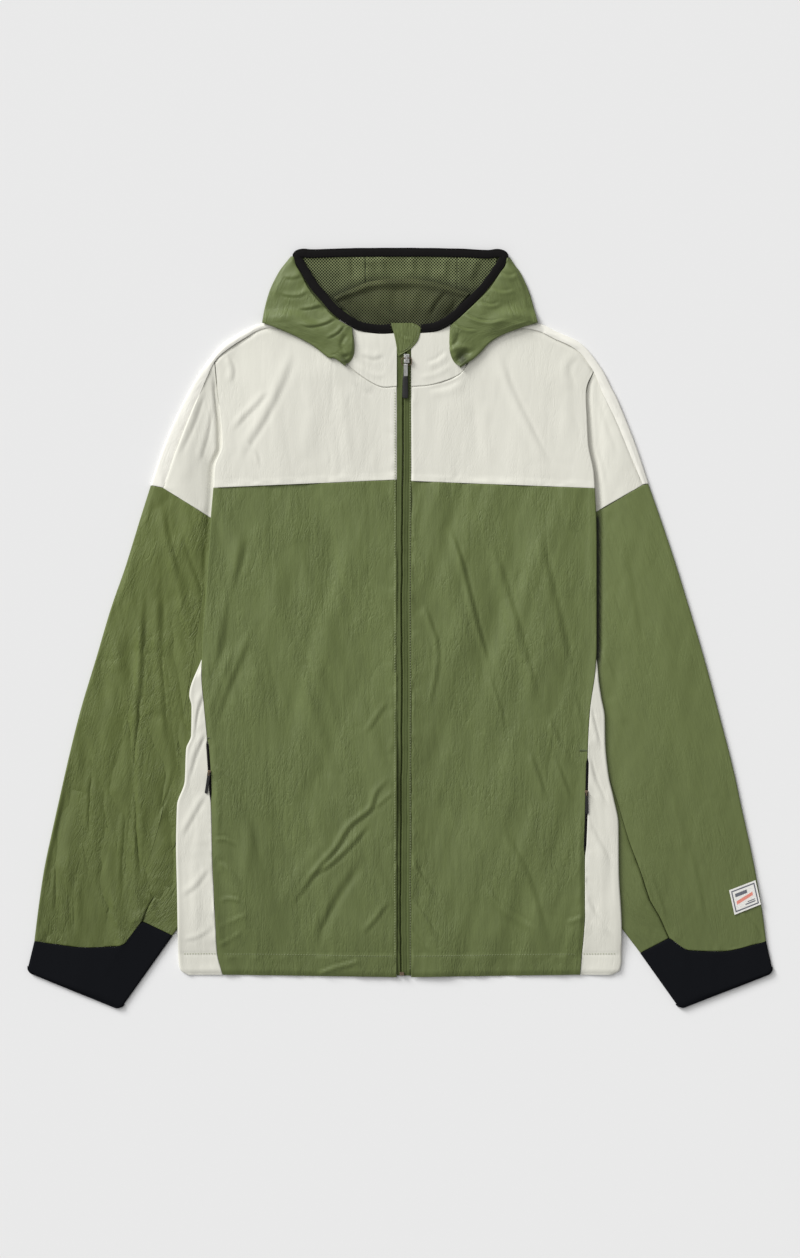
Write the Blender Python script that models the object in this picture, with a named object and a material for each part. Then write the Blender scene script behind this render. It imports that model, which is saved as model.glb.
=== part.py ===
"""A hooded windbreaker, laid flat with its front up, as closed solids of cut and sewn cloth.

Lengths in this file are millimetres and become metres when a mesh is written. X runs from the
wearer's right sleeve to the left one, Y from the hem to the hood, and Z up from the surface that
the garment lies on. The origin is the middle of that surface. Every piece of cloth is a wall
between two grids of points: panels are grids stretched between their seams, and pieces that go
round an edge of the garment are grids carried round a rounded fold.
"""

import math
from typing import NamedTuple

import bmesh
import bpy
import numpy as np

METRE = 0.001
CLOTH = 1.1  # wall thickness of every cloth piece
SEAM = 0.3  # open gap between neighbouring pieces
HALF_SEAM = 0.15
CLEAR = 0.4  # air between a piece and what it lies on
FOLD_HEIGHT = 3.8  # a flattened tube: two walls and the air between them
FOLD_CELLS = 3  # flats round a fold
RAMP = 14.0  # how far the body takes to climb onto a sleeve
RAMP_MARGIN = 8.0  # how far it stays up past the sleeve's inner fold
ROLL = 2.7  # height of a front's rolled edge where it lies free on the sleeve
ON_FOLD = 0.01  # keeps a run's first point clear of the fold's last one
HEM_Y = -380.0
BACK_YOKE_Y = 157.0  # seam between the back and the back yoke
BACK_YOKE_HALF = 170.0  # its half length
SHOULDER_START = 77.7  # where the shoulder strips begin beside the neck
NECK_HALF = 40.0


class Finish(NamedTuple):
    """A piece's colour and how it takes the light."""

    name: str
    colour: tuple
    rough: float
    metal: float


GREEN = Finish("green_nylon", (0.125, 0.155, 0.065), 0.62, 0.0)
OFF_WHITE = Finish("off_white_nylon", (0.70, 0.69, 0.61), 0.60, 0.0)
LIGHT = Finish("light_strip", (0.80, 0.78, 0.72), 0.60, 0.0)
BLACK_KNIT = Finish("black_stretch", (0.009, 0.010, 0.013), 0.75, 0.0)
BLACK_TRIM = Finish("black_binding", (0.012, 0.011, 0.011), 0.7, 0.0)
MESH = Finish("green_mesh", (0.095, 0.110, 0.060), 0.8, 0.0)
TAPE = Finish("zip_tape", (0.115, 0.140, 0.062), 0.7, 0.0)
SILVER = Finish("silver_metal", (0.62, 0.62, 0.60), 0.32, 1.0)
BRONZE = Finish("bronze_metal", (0.30, 0.23, 0.16), 0.38, 1.0)
GRIP = Finish("black_moulding", (0.012, 0.012, 0.013), 0.45, 0.0)
LABEL = Finish("label", (0.80, 0.79, 0.76), 0.7, 0.0)


# --- The garment's own measurements -------------------------------------------------------------


class BodyRow(NamedTuple):
    """One level of the body: half widths from the centre line, on the wearer's right and left."""

    y: float
    front_right: float  # side edge of the front
    front_left: float
    fold_right: float  # outer fold of the side panel
    fold_left: float
    back_right: float  # seam between back and side panel, or the back armhole above the armpit
    back_left: float


BODY = (
    BodyRow(120.0, 208.0, 215.6, 0.0, 0.0, 167.5, 167.5),
    BodyRow(88.0, 210.0, 216.0, 0.0, 0.0, 164.7, 164.7),
    BodyRow(76.0, 211.0, 216.0, 180.0, 180.0, 164.7, 164.7),
    BodyRow(29.0, 214.0, 216.0, 200.0, 200.0, 168.0, 168.0),
    BodyRow(-20.0, 217.5, 216.0, 211.0, 209.0, 173.0, 173.0),
    BodyRow(-50.0, 218.0, 214.0, 223.0, 219.0, 178.0, 178.0),
    BodyRow(-85.0, 215.0, 209.0, 229.5, 223.5, 184.0, 184.0),
    BodyRow(-117.0, 212.0, 206.8, 229.5, 225.5, 189.0, 188.0),
    BodyRow(-160.0, 209.0, 205.5, 236.5, 229.0, 194.0, 192.0),
    BodyRow(-205.0, 207.0, 204.5, 245.0, 238.0, 199.0, 195.0),
    BodyRow(-255.0, 206.0, 203.0, 246.0, 240.5, 202.0, 198.0),
    BodyRow(-285.0, 204.5, 203.0, 245.0, 241.5, 202.5, 199.0),
    BodyRow(-300.0, 204.0, 203.0, 245.0, 242.0, 203.0, 199.5),
    BodyRow(-317.0, 203.0, 203.0, 244.5, 243.0, 203.0, 200.0),
    BodyRow(-333.0, 202.2, 202.0, 244.0, 243.5, 202.5, 200.0),
    BodyRow(-355.0, 201.0, 200.0, 243.5, 243.5, 202.0, 200.0),
    BodyRow(HEM_Y, 195.0, 198.0, 239.0, 239.0, 200.0, 198.0),
)
SIDE_PANEL_TOP = 76.0
FLUSH_BELOW = -49.0  # from here down the front meets the side panel edge to edge
POCKET_TOP = -120.0
POCKET_BOTTOM = -255.0
POCKET_MOUTH = 1.3  # how far each lip of a pocket stands back from the seam


class TuckRow(NamedTuple):
    """Where the sleeve's hidden inner fold lies under the body, as a distance from the centre."""

    y: float
    right: float
    left: float


TUCK = (
    TuckRow(88.0, 165.0, 165.0),
    TuckRow(-23.0, 165.0, 166.0),
    TuckRow(-149.0, 176.0, 178.0),
    TuckRow(-243.0, 196.0, 199.0),
    TuckRow(-298.0, 222.0, 223.0),
    TuckRow(-330.0, 244.5, 245.0),
    TuckRow(HEM_Y, 275.0, 284.0),
)


class SleeveRow(NamedTuple):
    """One station down a sleeve: its outer fold, its inner fold and where the top seam lies."""

    outer_x: float
    outer_y: float
    inner_x: float
    inner_y: float
    top_seam: float  # share of the way from the outer fold to the inner one


SLEEVE_RIGHT = (
    SleeveRow(274.0, 158.0, 165.0, 88.0, 0.88),
    SleeveRow(286.0, 120.0, 165.0, 40.0, 0.87),
    SleeveRow(302.0, 68.0, 166.0, -10.0, 0.86),
    SleeveRow(318.0, 22.0, 168.0, -60.0, 0.84),
    SleeveRow(334.0, -32.0, 172.0, -110.0, 0.82),
    SleeveRow(350.0, -85.0, 178.0, -160.0, 0.79),
    SleeveRow(362.0, -132.0, 187.0, -205.0, 0.76),
    SleeveRow(373.0, -180.0, 197.0, -246.0, 0.735),
    SleeveRow(383.0, -225.0, 208.0, -272.0, 0.72),
    SleeveRow(391.0, -263.0, 222.0, -298.0, 0.728),
    SleeveRow(397.0, -303.0, 237.0, -320.0, 0.744),
    SleeveRow(402.0, -343.0, 250.0, -337.0, 0.78),
)
SLEEVE_LEFT = (
    SleeveRow(273.0, 160.0, 165.0, 88.0, 0.88),
    SleeveRow(287.0, 120.0, 165.0, 40.0, 0.86),
    SleeveRow(303.0, 72.0, 166.0, -10.0, 0.84),
    SleeveRow(319.0, 20.0, 168.0, -60.0, 0.81),
    SleeveRow(335.0, -34.0, 172.0, -110.0, 0.77),
    SleeveRow(350.0, -90.0, 178.0, -160.0, 0.74),
    SleeveRow(366.0, -152.0, 188.0, -205.0, 0.715),
    SleeveRow(376.0, -198.0, 200.0, -246.0, 0.708),
    SleeveRow(386.0, -243.0, 212.0, -276.0, 0.70),
    SleeveRow(394.0, -285.0, 226.0, -303.0, 0.71),
    SleeveRow(399.0, -315.0, 243.0, -328.0, 0.724),
    SleeveRow(402.6, -343.0, 264.0, -356.0, 0.77),
)
SLEEVE_MIDDLE = 0.371  # shares of the way across a sleeve
BACK_SEAM = 0.609  # where its two pieces meet behind


class SeamPoint(NamedTuple):
    """A point of a seam across a sleeve."""

    x: float
    y: float


YOKE_SEAM_RIGHT = (
    SeamPoint(274.0, 158.0),
    SeamPoint(259.5, 155.0),
    SeamPoint(207.6, 122.0),
    SeamPoint(165.0, 88.0),
)
YOKE_SEAM_LEFT = (
    SeamPoint(273.0, 160.0),
    SeamPoint(266.5, 158.6),
    SeamPoint(207.2, 124.0),
    SeamPoint(165.0, 88.0),
)
CUFF_SEAM_RIGHT = (
    SeamPoint(402.0, -343.0),
    SeamPoint(381.8, -346.0),
    SeamPoint(345.5, -350.0),
    SeamPoint(309.4, -348.5),
    SeamPoint(283.5, -321.0),
    SeamPoint(250.0, -337.0),
)
CUFF_SEAM_LEFT = (
    SeamPoint(402.6, -343.0),
    SeamPoint(394.3, -345.5),
    SeamPoint(351.3, -354.5),
    SeamPoint(318.2, -353.2),
    SeamPoint(296.0, -339.5),
    SeamPoint(264.0, -356.0),
)


class CuffEnd(NamedTuple):
    """The open end of a cuff."""

    outer_x: float
    outer_y: float
    inner_x: float
    inner_y: float


CUFF_END_RIGHT = CuffEnd(410.2, -377.0, 308.0, -418.8)
CUFF_END_LEFT = CuffEnd(410.2, -378.0, 308.0, -418.2)


class ShoulderRow(NamedTuple):
    """One station along the shoulder strip, from the neck to the sleeve's green."""

    outer_x: float  # on the outer fold
    outer_y: float
    front_x: float  # seam with the front yokes
    front_y: float
    back_x: float  # seam with the back yokes
    back_y: float


SHOULDER_RIGHT = (
    ShoulderRow(79.0, 339.5, 79.0, 334.5, 79.0, 324.0),
    ShoulderRow(112.0, 338.5, 111.0, 333.3, 112.0, 322.7),
    ShoulderRow(151.0, 336.0, 148.5, 330.5, 147.0, 320.2),
    ShoulderRow(171.0, 328.0, 168.0, 321.3, 164.0, 313.3),
    ShoulderRow(194.0, 314.0, 189.0, 307.8, 184.5, 300.8),
    ShoulderRow(209.0, 297.0, 203.5, 294.0, 194.0, 288.5),
    ShoulderRow(224.0, 275.0, 214.5, 271.5, 209.5, 268.0),
    ShoulderRow(244.0, 237.0, 231.5, 231.5, 229.0, 231.0),
    ShoulderRow(261.0, 197.0, 247.0, 192.0, 246.0, 191.5),
    ShoulderRow(274.0, 158.0, 260.0, 155.1, 259.5, 155.0),
)
SHOULDER_LEFT = (
    ShoulderRow(79.0, 339.5, 79.0, 334.5, 79.0, 324.0),
    ShoulderRow(112.0, 338.5, 111.0, 333.3, 112.0, 322.7),
    ShoulderRow(151.0, 336.0, 148.5, 328.5, 147.0, 320.2),
    ShoulderRow(171.0, 327.5, 168.0, 320.0, 164.0, 313.3),
    ShoulderRow(200.0, 313.0, 195.0, 306.0, 190.0, 299.5),
    ShoulderRow(221.0, 287.0, 212.5, 283.0, 206.0, 278.0),
    ShoulderRow(232.0, 266.0, 221.5, 261.5, 216.5, 259.0),
    ShoulderRow(240.5, 249.0, 229.8, 244.5, 225.5, 242.5),
    ShoulderRow(258.0, 205.0, 248.5, 201.8, 243.5, 199.5),
    ShoulderRow(273.0, 160.0, 266.5, 158.7, 266.5, 158.7),
)
ARMHOLE_AT = 5  # the shoulder row at which the armhole seams meet the strip


class YokeColumn(NamedTuple):
    """A line up a front yoke, from the seam below it to the strip or the neck."""

    seam_x: float
    top_x: float
    top_y: float


ZIP_RIGHT = -3.3
ZIP_LEFT = 12.0
YOKE_NECK_RIGHT = (
    YokeColumn(82.0, 80.0, 334.0),
    YokeColumn(64.0, 72.0, 311.0),
    YokeColumn(44.0, 52.0, 285.0),
    YokeColumn(24.0, 24.0, 267.0),
    YokeColumn(3.6, 3.6, 266.0),
)
YOKE_NECK_LEFT = (
    YokeColumn(90.0, 84.0, 334.0),
    YokeColumn(72.0, 80.0, 305.0),
    YokeColumn(52.0, 66.0, 280.0),
    YokeColumn(32.0, 37.0, 268.7),
    YokeColumn(12.3, 12.3, 266.0),
)
YOKE_SIDE_RIGHT = (
    SeamPoint(205.0, 155.0),
    SeamPoint(203.3, 180.0),
    SeamPoint(196.0, 199.0),
    SeamPoint(196.0, 217.0),
    SeamPoint(199.0, 252.0),
    SeamPoint(203.2, 293.6),
)
YOKE_SIDE_LEFT = (
    SeamPoint(214.0, 155.0),
    SeamPoint(212.5, 175.0),
    SeamPoint(207.5, 199.0),
    SeamPoint(206.0, 221.0),
    SeamPoint(204.5, 262.0),
    SeamPoint(212.2, 282.6),
)
YOKE_SEAM_AT_RIGHT = (155.0, 164.0)  # Y of the yoke's bottom seam, at the side and at the zip
YOKE_SEAM_AT_LEFT = (154.6, 162.5)
ARMHOLE_FREE_BELOW = 222.0  # under this level the front's edge is a free rolled fold
SLEEVE_HIDDEN_RIGHT = (
    SeamPoint(168.5, 92.0),
    SeamPoint(176.0, 130.0),
    SeamPoint(184.0, 175.0),
    SeamPoint(190.0, 210.0),
    SeamPoint(199.9, 252.0),
    SeamPoint(204.1, 293.0),
)
SLEEVE_HIDDEN_LEFT = (
    SeamPoint(168.5, 92.0),
    SeamPoint(176.0, 130.0),
    SeamPoint(185.0, 175.0),
    SeamPoint(193.0, 210.0),
    SeamPoint(205.3, 262.0),
    SeamPoint(213.0, 282.0),
)


class HoodRow(NamedTuple):
    """One station round a hood side: its outer fold and its edge at the binding."""

    outer_x: float
    outer_y: float
    edge_x: float
    edge_y: float
    edge_z: float
    floor_y: float  # where its floor layer meets the centre panel


HOOD_RIGHT = (
    HoodRow(122.0, 406.5, 118.6, 406.0, 4.4, 414.0),
    HoodRow(127.0, 401.0, 114.5, 399.8, 5.0, 404.0),
    HoodRow(133.5, 392.0, 109.5, 391.0, 5.8, 391.0),
    HoodRow(142.5, 374.0, 99.3, 372.0, 7.4, 373.0),
    HoodRow(148.5, 354.0, 84.5, 354.5, 9.2, 356.0),
    HoodRow(151.5, 336.5, 73.4, 343.0, 10.6, 341.5),
    HoodRow(131.0, 328.5, 66.0, 338.0, 11.2, 0.0),
    HoodRow(113.0, 320.5, 60.5, 334.8, 11.4, 0.0),
    HoodRow(95.0, 310.5, 57.0, 332.8, 11.6, 0.0),
    HoodRow(79.0, 298.0, 54.5, 331.5, 11.6, 0.0),
    HoodRow(61.0, 289.0, 52.5, 330.4, 11.6, 0.0),
)
HOOD_LEFT = (
    HoodRow(122.0, 405.5, 118.9, 405.0, 4.4, 413.0),
    HoodRow(127.0, 399.0, 115.6, 399.0, 5.0, 402.0),
    HoodRow(132.5, 391.5, 110.0, 391.0, 5.8, 391.0),
    HoodRow(141.5, 372.0, 97.6, 372.5, 7.4, 373.0),
    HoodRow(147.5, 352.0, 82.1, 357.0, 9.2, 356.0),
    HoodRow(151.5, 336.5, 73.6, 348.9, 10.6, 341.5),
    HoodRow(134.0, 331.0, 67.0, 342.8, 11.2, 0.0),
    HoodRow(114.0, 323.5, 62.0, 338.5, 11.4, 0.0),
    HoodRow(99.0, 314.5, 59.0, 336.0, 11.6, 0.0),
    HoodRow(84.0, 299.0, 57.0, 334.2, 11.6, 0.0),
    HoodRow(66.0, 286.5, 55.0, 332.8, 11.6, 0.0),
)
HOOD_FLOOR_ROWS = 6  # rows that also lie on the floor; the others only roll under at the fold
HOOD_SEAM_RIGHT = -38.0
HOOD_SEAM_LEFT = 63.0
HOOD_TOP_Y = 415.0
SHOULDER_Y = 339.5
HOOD_CLIMB = (353.0, 340.0)  # Y over which the hood climbs onto the shoulder


class BindingPoint(NamedTuple):
    """A point on the middle line of the hood's binding."""

    x: float
    y: float
    z: float


BINDING = (
    BindingPoint(-10.4, 329.9, 8.4),
    BindingPoint(-23.0, 329.2, 8.5),
    BindingPoint(-42.0, 331.9, 9.4),
    BindingPoint(-55.0, 338.2, 10.6),
    BindingPoint(-71.5, 350.5, 9.6),
    BindingPoint(-83.5, 364.0, 8.0),
    BindingPoint(-94.0, 376.5, 6.9),
    BindingPoint(-104.5, 393.5, 5.4),
    BindingPoint(-112.2, 406.5, 4.4),
    BindingPoint(-107.5, 411.9, 4.2),
    BindingPoint(-96.0, 412.5, 4.1),
    BindingPoint(-64.0, 413.5, 4.1),
    BindingPoint(-30.0, 413.9, 4.1),
    BindingPoint(3.0, 414.0, 4.1),
    BindingPoint(37.0, 413.8, 4.1),
    BindingPoint(71.0, 413.0, 4.1),
    BindingPoint(96.0, 411.8, 4.1),
    BindingPoint(108.3, 410.8, 4.2),
    BindingPoint(113.6, 405.5, 4.4),
    BindingPoint(105.5, 393.5, 5.4),
    BindingPoint(91.0, 374.0, 6.9),
    BindingPoint(73.5, 356.5, 9.0),
    BindingPoint(57.0, 341.5, 10.6),
    BindingPoint(40.5, 332.3, 9.4),
    BindingPoint(23.6, 329.4, 8.5),
)
BINDING_WIDTH = 9.6
BINDING_THICK = 2.4


class LiningRow(NamedTuple):
    """One level of the hood lining: half widths to the right and the left."""

    y: float
    right: float
    left: float


LINING = (
    LiningRow(335.0, 40.0, 64.5),
    LiningRow(345.0, 41.0, 65.0),
    LiningRow(356.0, 76.0, 76.0),
    LiningRow(372.0, 94.0, 91.0),
    LiningRow(391.0, 106.0, 106.0),
    LiningRow(410.0, 106.0, 106.0),
)
LINING_LOW = 1.4


class RidgePoint(NamedTuple):
    """A point along the rolled top of the neck lining, and where its wall ends behind the zip."""

    x: float
    y: float
    high: float
    end_x: float
    end_y: float


RIDGE = (
    RidgePoint(-73.0, 364.0, 5.6, -44.0, 334.0),
    RidgePoint(-64.0, 369.5, 6.2, -41.0, 328.0),
    RidgePoint(-46.0, 377.0, 6.9, -33.0, 323.0),
    RidgePoint(-28.0, 381.5, 6.9, -21.0, 322.0),
    RidgePoint(-1.0, 384.0, 6.9, 0.0, 322.0),
    RidgePoint(26.0, 383.0, 6.9, 18.0, 322.0),
    RidgePoint(46.0, 379.0, 6.9, 32.0, 323.0),
    RidgePoint(64.0, 373.5, 6.2, 42.0, 328.0),
    RidgePoint(77.0, 369.5, 5.6, 45.0, 334.0),
)


class ZipRow(NamedTuple):
    """A level of the front zip and where its two tapes meet."""

    y: float
    slit: float


ZIP = (
    ZipRow(-381.0, 1.8),
    ZipRow(-330.0, 1.2),
    ZipRow(-270.0, 0.8),
    ZipRow(-200.0, 1.6),
    ZipRow(-130.0, 1.5),
    ZipRow(-60.0, 2.0),
    ZipRow(10.0, 1.9),
    ZipRow(80.0, 2.6),
    ZipRow(150.0, 2.9),
    ZipRow(210.0, 3.2),
    ZipRow(240.0, 3.4),
    ZipRow(265.0, 4.0),
    ZipRow(280.0, 5.2),
    ZipRow(292.0, 6.6),
    ZipRow(318.0, 6.6),
)
TAPE_DROP = 0.3  # the tapes lie this far under the fronts

COLLAR_RIGHT = (
    # seam at the neck, then the edge at the binding
    (SeamPoint(3.6, 266.4), SeamPoint(10.4, 324.6)),
    (SeamPoint(24.0, 267.4), SeamPoint(23.0, 323.9)),
    (SeamPoint(52.0, 285.4), SeamPoint(44.6, 326.9)),
    (SeamPoint(66.0, 303.0), SeamPoint(54.0, 331.4)),
)
COLLAR_LEFT = (
    (SeamPoint(12.3, 266.4), SeamPoint(23.6, 324.1)),
    (SeamPoint(37.0, 269.1), SeamPoint(32.0, 325.3)),
    (SeamPoint(66.0, 280.4), SeamPoint(43.6, 327.5)),
    (SeamPoint(75.0, 297.0), SeamPoint(56.0, 333.6)),
)

GARAGE = (
    # left and right edge of the flap at each level
    (299.8, -2.4, -1.0),
    (304.0, -3.1, 6.2),
    (308.5, -3.6, 12.8),
    (316.5, -5.0, 19.5),
    (326.0, -7.2, 22.2),
    (331.5, -8.8, 21.6),
    (335.8, -9.6, 14.0),
)
GARAGE_LEVEL = 327.0  # from here up the flap no longer climbs
LABEL_CORNERS = ((363.0, -287.0), (392.0, -276.0), (398.0, -302.5), (369.0, -314.0))


# --- Heights of the layers ------------------------------------------------------------------------


def ease(t):
    """Smooth step from 0 to 1 while t goes from 0 to 1."""
    t = np.clip(t, 0.0, 1.0)
    return t * t * (3.0 - 2.0 * t)


def listed(table, name):
    """One named column of a table, as an array."""
    return np.array([getattr(row, name) for row in table])


def read(table, name, y):
    """A table's column at any level, straight between its rows."""
    levels = listed(table, "y")
    order = np.argsort(levels)
    return np.interp(y, levels[order], listed(table, name)[order])


def by_side(x, y, table, right, left):
    """The value of the column for the side of the garment that x is on."""
    return np.where(x < 0.0, read(table, right, y), read(table, left, y))


def tuck_rise(x, y):
    """Height of the body's underside: nothing, or one flattened sleeve where it lies on one."""
    edge = by_side(x, y, TUCK, "right", "left") - RAMP_MARGIN
    up = ease((np.abs(x) - edge + RAMP) / RAMP)
    return (FOLD_HEIGHT + SEAM) * up * ease((130.0 - y) / 42.0)


def shoulder_distance(x, y):
    """How far inside the shoulder line a point is."""
    found = np.full(np.shape(x), 1e9)
    for table, side in ((SHOULDER_RIGHT, -1.0), (SHOULDER_LEFT, 1.0)):
        line = np.stack([side * listed(table, "front_x"), listed(table, "front_y")], axis=-1)
        for start, end in zip(line[:-1], line[1:]):
            run = end - start
            share = np.clip(((x - start[0]) * run[0] + (y - start[1]) * run[1]) / (run @ run), 0, 1)
            gap = np.hypot(x - start[0] - share * run[0], y - start[1] - share * run[1])
            found = np.minimum(found, gap)
    return found


def front_top(x, y):
    """Top of the body's front: thin at the hem and the shoulders, high over tucked sleeves."""
    x, y = np.broadcast_arrays(np.asarray(x, float), np.asarray(y, float))
    middle = ease((y - HEM_Y) / 50.0) * ease(shoulder_distance(x, y) / 60.0)
    beside = ease((np.abs(x) - 70.0) / 95.0) * ease((y + 372.0) / 72.0) * ease((294.0 - y) / 140.0)
    neck = ease((y - 262.0) / 65.0) * (1.0 - ease((np.abs(x) - 60.0) / 30.0))
    return FOLD_HEIGHT + 2.0 * middle + 2.3 * beside + 3.2 * neck


def outer_edge(x, y):
    """Distance from the centre line to a sleeve's outer fold."""
    found = []
    for table in (SLEEVE_RIGHT, SLEEVE_LEFT):
        levels, reach = listed(table, "outer_y"), listed(table, "outer_x")
        found.append(np.interp(y, levels[::-1], reach[::-1]))
    return np.where(x < 0.0, found[0], found[1])


def body_edge(x, y):
    """Distance from the centre line to the body's outermost edge, front or side panel."""
    front = by_side(x, y, BODY, "front_right", "front_left")
    return np.maximum(front, by_side(x, y, BODY, "fold_right", "fold_left"))


def sleeve_top(x, y):
    """Top of a sleeve: a soft loft between its fold and the body, and a dip under the front."""
    reach = np.abs(x)
    loft = ease((outer_edge(x, y) - reach) / 35.0) * ease((reach - body_edge(x, y)) / 30.0)
    loft = 1.2 * loft * ease((y + 350.0) / 60.0)
    dip = ease((body_edge(x, y) + 12.0 - reach) / 12.0) * ease((294.0 - y) / 32.0)
    return FOLD_HEIGHT + loft - dip * ease((y - 60.0) / 60.0)


def hood_floor(x, y):
    """Underside of the hood's back: the floor, and a climb to the shoulder beside the neck."""
    start, end = HOOD_CLIMB
    over = front_top(x, SHOULDER_Y) + CLEAR
    return over * ease((start - y) / (start - end)) * ease((np.abs(x) - 66.0) / 24.0)


# --- Cloth walls ----------------------------------------------------------------------------------


def clear_scene():
    """Empty the scene."""
    for item in list(bpy.data.objects):
        bpy.data.objects.remove(item, do_unlink=True)


def dressed(finish):
    """The finish's material, made once."""
    material = bpy.data.materials.get(finish.name)
    if material is None:
        material = bpy.data.materials.new(finish.name)
        material.use_nodes = True
        shader = material.node_tree.nodes["Principled BSDF"]
        shader.inputs["Base Color"].default_value = (*finish.colour, 1.0)
        shader.inputs["Roughness"].default_value = finish.rough
        shader.inputs["Metallic"].default_value = finish.metal
    return material


def add_mesh(name, points, faces, finish, smooth=True):
    """A closed mesh object, given in millimetres, with its faces turned outwards."""
    mesh = bpy.data.meshes.new(name)
    form = bmesh.new()
    corners = [form.verts.new(np.asarray(p, float) * METRE) for p in points]
    for face in faces:
        form.faces.new([corners[i] for i in face])
    loose = [v for v in form.verts if not v.link_faces]
    bmesh.ops.delete(form, geom=loose, context="VERTS")
    bmesh.ops.triangulate(form, faces=form.faces[:])
    bmesh.ops.recalc_face_normals(form, faces=form.faces[:])
    if form.calc_volume(signed=True) < 0.0:
        bmesh.ops.reverse_faces(form, faces=form.faces[:])
    form.to_mesh(mesh)
    form.free()
    if smooth:
        mesh.shade_smooth()
        mesh.set_sharp_from_angle(angle=math.radians(40.0))
    mesh.materials.append(dressed(finish))
    piece = bpy.data.objects.new(name, mesh)
    bpy.context.collection.objects.link(piece)
    return piece


def cells(rows, columns, keep, ring):
    """Corner numbers of a grid's cells, with keep a mask of the cells that exist."""
    number = np.arange(rows * columns).reshape(rows, columns)
    if ring:
        number = np.concatenate([number, number[:, :1]], axis=1)
    corner = np.stack([number[:-1, :-1], number[1:, :-1], number[1:, 1:], number[:-1, 1:]], axis=-1)
    return corner[keep] if keep is not None else corner.reshape(-1, 4)


def wall(name, outer, inner, finish, keep=None, ring=False):
    """The solid between an outer and an inner grid of points, closed along its free edges."""
    rows, columns = outer.shape[:2]
    quads = cells(rows, columns, keep, ring)
    edges = np.concatenate([quads[:, [i, (i + 1) % 4]] for i in range(4)])
    known = set(map(tuple, edges.tolist()))
    under = rows * columns
    faces = [tuple(q) for q in quads.tolist()]
    faces += [tuple(reversed([i + under for i in q])) for q in quads.tolist()]
    faces += [(b, a, a + under, b + under) for a, b in known if (b, a) not in known]
    points = np.concatenate([outer.reshape(-1, 3), inner.reshape(-1, 3)])
    return add_mesh(name, points, sorted(faces), finish)


def raised(plan, height):
    """Points over a plan grid (rows, columns, 2) at a height or a function of x and y."""
    level = height(plan[..., 0], plan[..., 1]) if callable(height) else height
    level = np.broadcast_to(level, plan.shape[:2])
    return np.concatenate([plan, level[..., None]], axis=-1)


def panel(name, plan, top, finish, thick=CLOTH):
    """A single layer of cloth over a plan grid, with its top at the given height."""
    over = raised(plan, top)
    return wall(name, over, over - (0.0, 0.0, thick), finish)


def resample(points, count):
    """Points spread evenly along a line of straight runs."""
    points = np.asarray(points, float)
    along = np.concatenate([[0.0], np.cumsum(np.linalg.norm(np.diff(points, axis=0), axis=1))])
    at = np.linspace(0.0, along[-1], count)
    return np.stack([np.interp(at, along, points[:, k]) for k in range(points.shape[1])], axis=-1)


def patch(bottom, top, first, last):
    """A grid stretched between four edges: two of equal count across, and two of equal count up."""
    bottom, top, first, last = (np.asarray(e, float) for e in (bottom, top, first, last))
    up = np.linspace(0.0, 1.0, len(first))[:, None, None]
    total = np.concatenate([[0.0], np.cumsum(np.linalg.norm(np.diff(bottom, axis=0), axis=1))])
    across = (total / total[-1])[None, :, None]
    straight = (1 - up) * bottom[None] + up * top[None]
    ends = (1 - across) * first[:, None] + across * last[:, None]
    corners = (1 - up) * ((1 - across) * bottom[0] + across * bottom[-1])
    corners = corners + up * ((1 - across) * top[0] + across * top[-1])
    return straight + ends - corners


def lines(starts, ends, shares):
    """Points along straight lines from starts to ends, one line to a row."""
    shares = np.asarray(shares, float)
    shares = shares if shares.ndim == 2 else np.broadcast_to(shares, (len(starts), len(shares)))
    return starts[:, None] + shares[..., None] * (ends - starts)[:, None]


def folded(name, rim, inward, low, high, under_run, over_run, finish, keep=None):
    """Cloth carried round a fold: a run underneath, the rounded fold and a run on top.

    rim and inward are the fold's outermost points and the directions into the garment, low and
    high the levels of its two outer surfaces, and each run is a grid of points of those surfaces.
    """
    half = (high - low) / 2.0
    turn = np.linspace(-math.pi / 2.0, math.pi / 2.0, FOLD_CELLS + 1)
    centre = np.concatenate([rim + inward * half[:, None], ((high + low) / 2.0)[:, None]], axis=-1)
    outward = np.concatenate([-inward, np.zeros((len(rim), 1))], axis=-1)

    def arc(radius):
        """Points round the fold at a distance from its centre."""
        reach = radius[:, None, None]
        side = outward[:, None] * np.cos(turn)[None, :, None]
        rise = np.array([0.0, 0.0, 1.0]) * np.sin(turn)[None, :, None]
        return centre[:, None] + reach * (side + rise)

    outer = np.concatenate([under_run, arc(half), over_run], axis=1)
    lift = np.array([0.0, 0.0, CLOTH])
    inner = np.concatenate([under_run + lift, arc(half - CLOTH), over_run - lift], axis=1)
    return wall(name, outer, inner, finish, keep)


def unit(vectors):
    """The vectors at length one."""
    return vectors / np.linalg.norm(vectors, axis=-1, keepdims=True)


def mirrored(points, side):
    """Points given as distances from the centre line, put on one side of it."""
    return np.asarray(points, float) * (side, 1.0)


# --- Body -----------------------------------------------------------------------------------------

SIDES = (("right", -1.0), ("left", 1.0))


def mouth(y):
    """How far a pocket's lips stand back from the seam at a level."""
    ends = ease((POCKET_TOP - y) / 4.0) * ease((y - POCKET_BOTTOM) / 4.0)
    return POCKET_MOUTH * ends


def body_rows():
    """The levels of the body's table, from the top down, with the pocket's ends added."""
    extra = [POCKET_TOP, POCKET_TOP - 5.0, POCKET_BOTTOM + 5.0, POCKET_BOTTOM]
    levels = sorted({*listed(BODY, "y"), *extra}, reverse=True)
    return np.array(levels)


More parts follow.
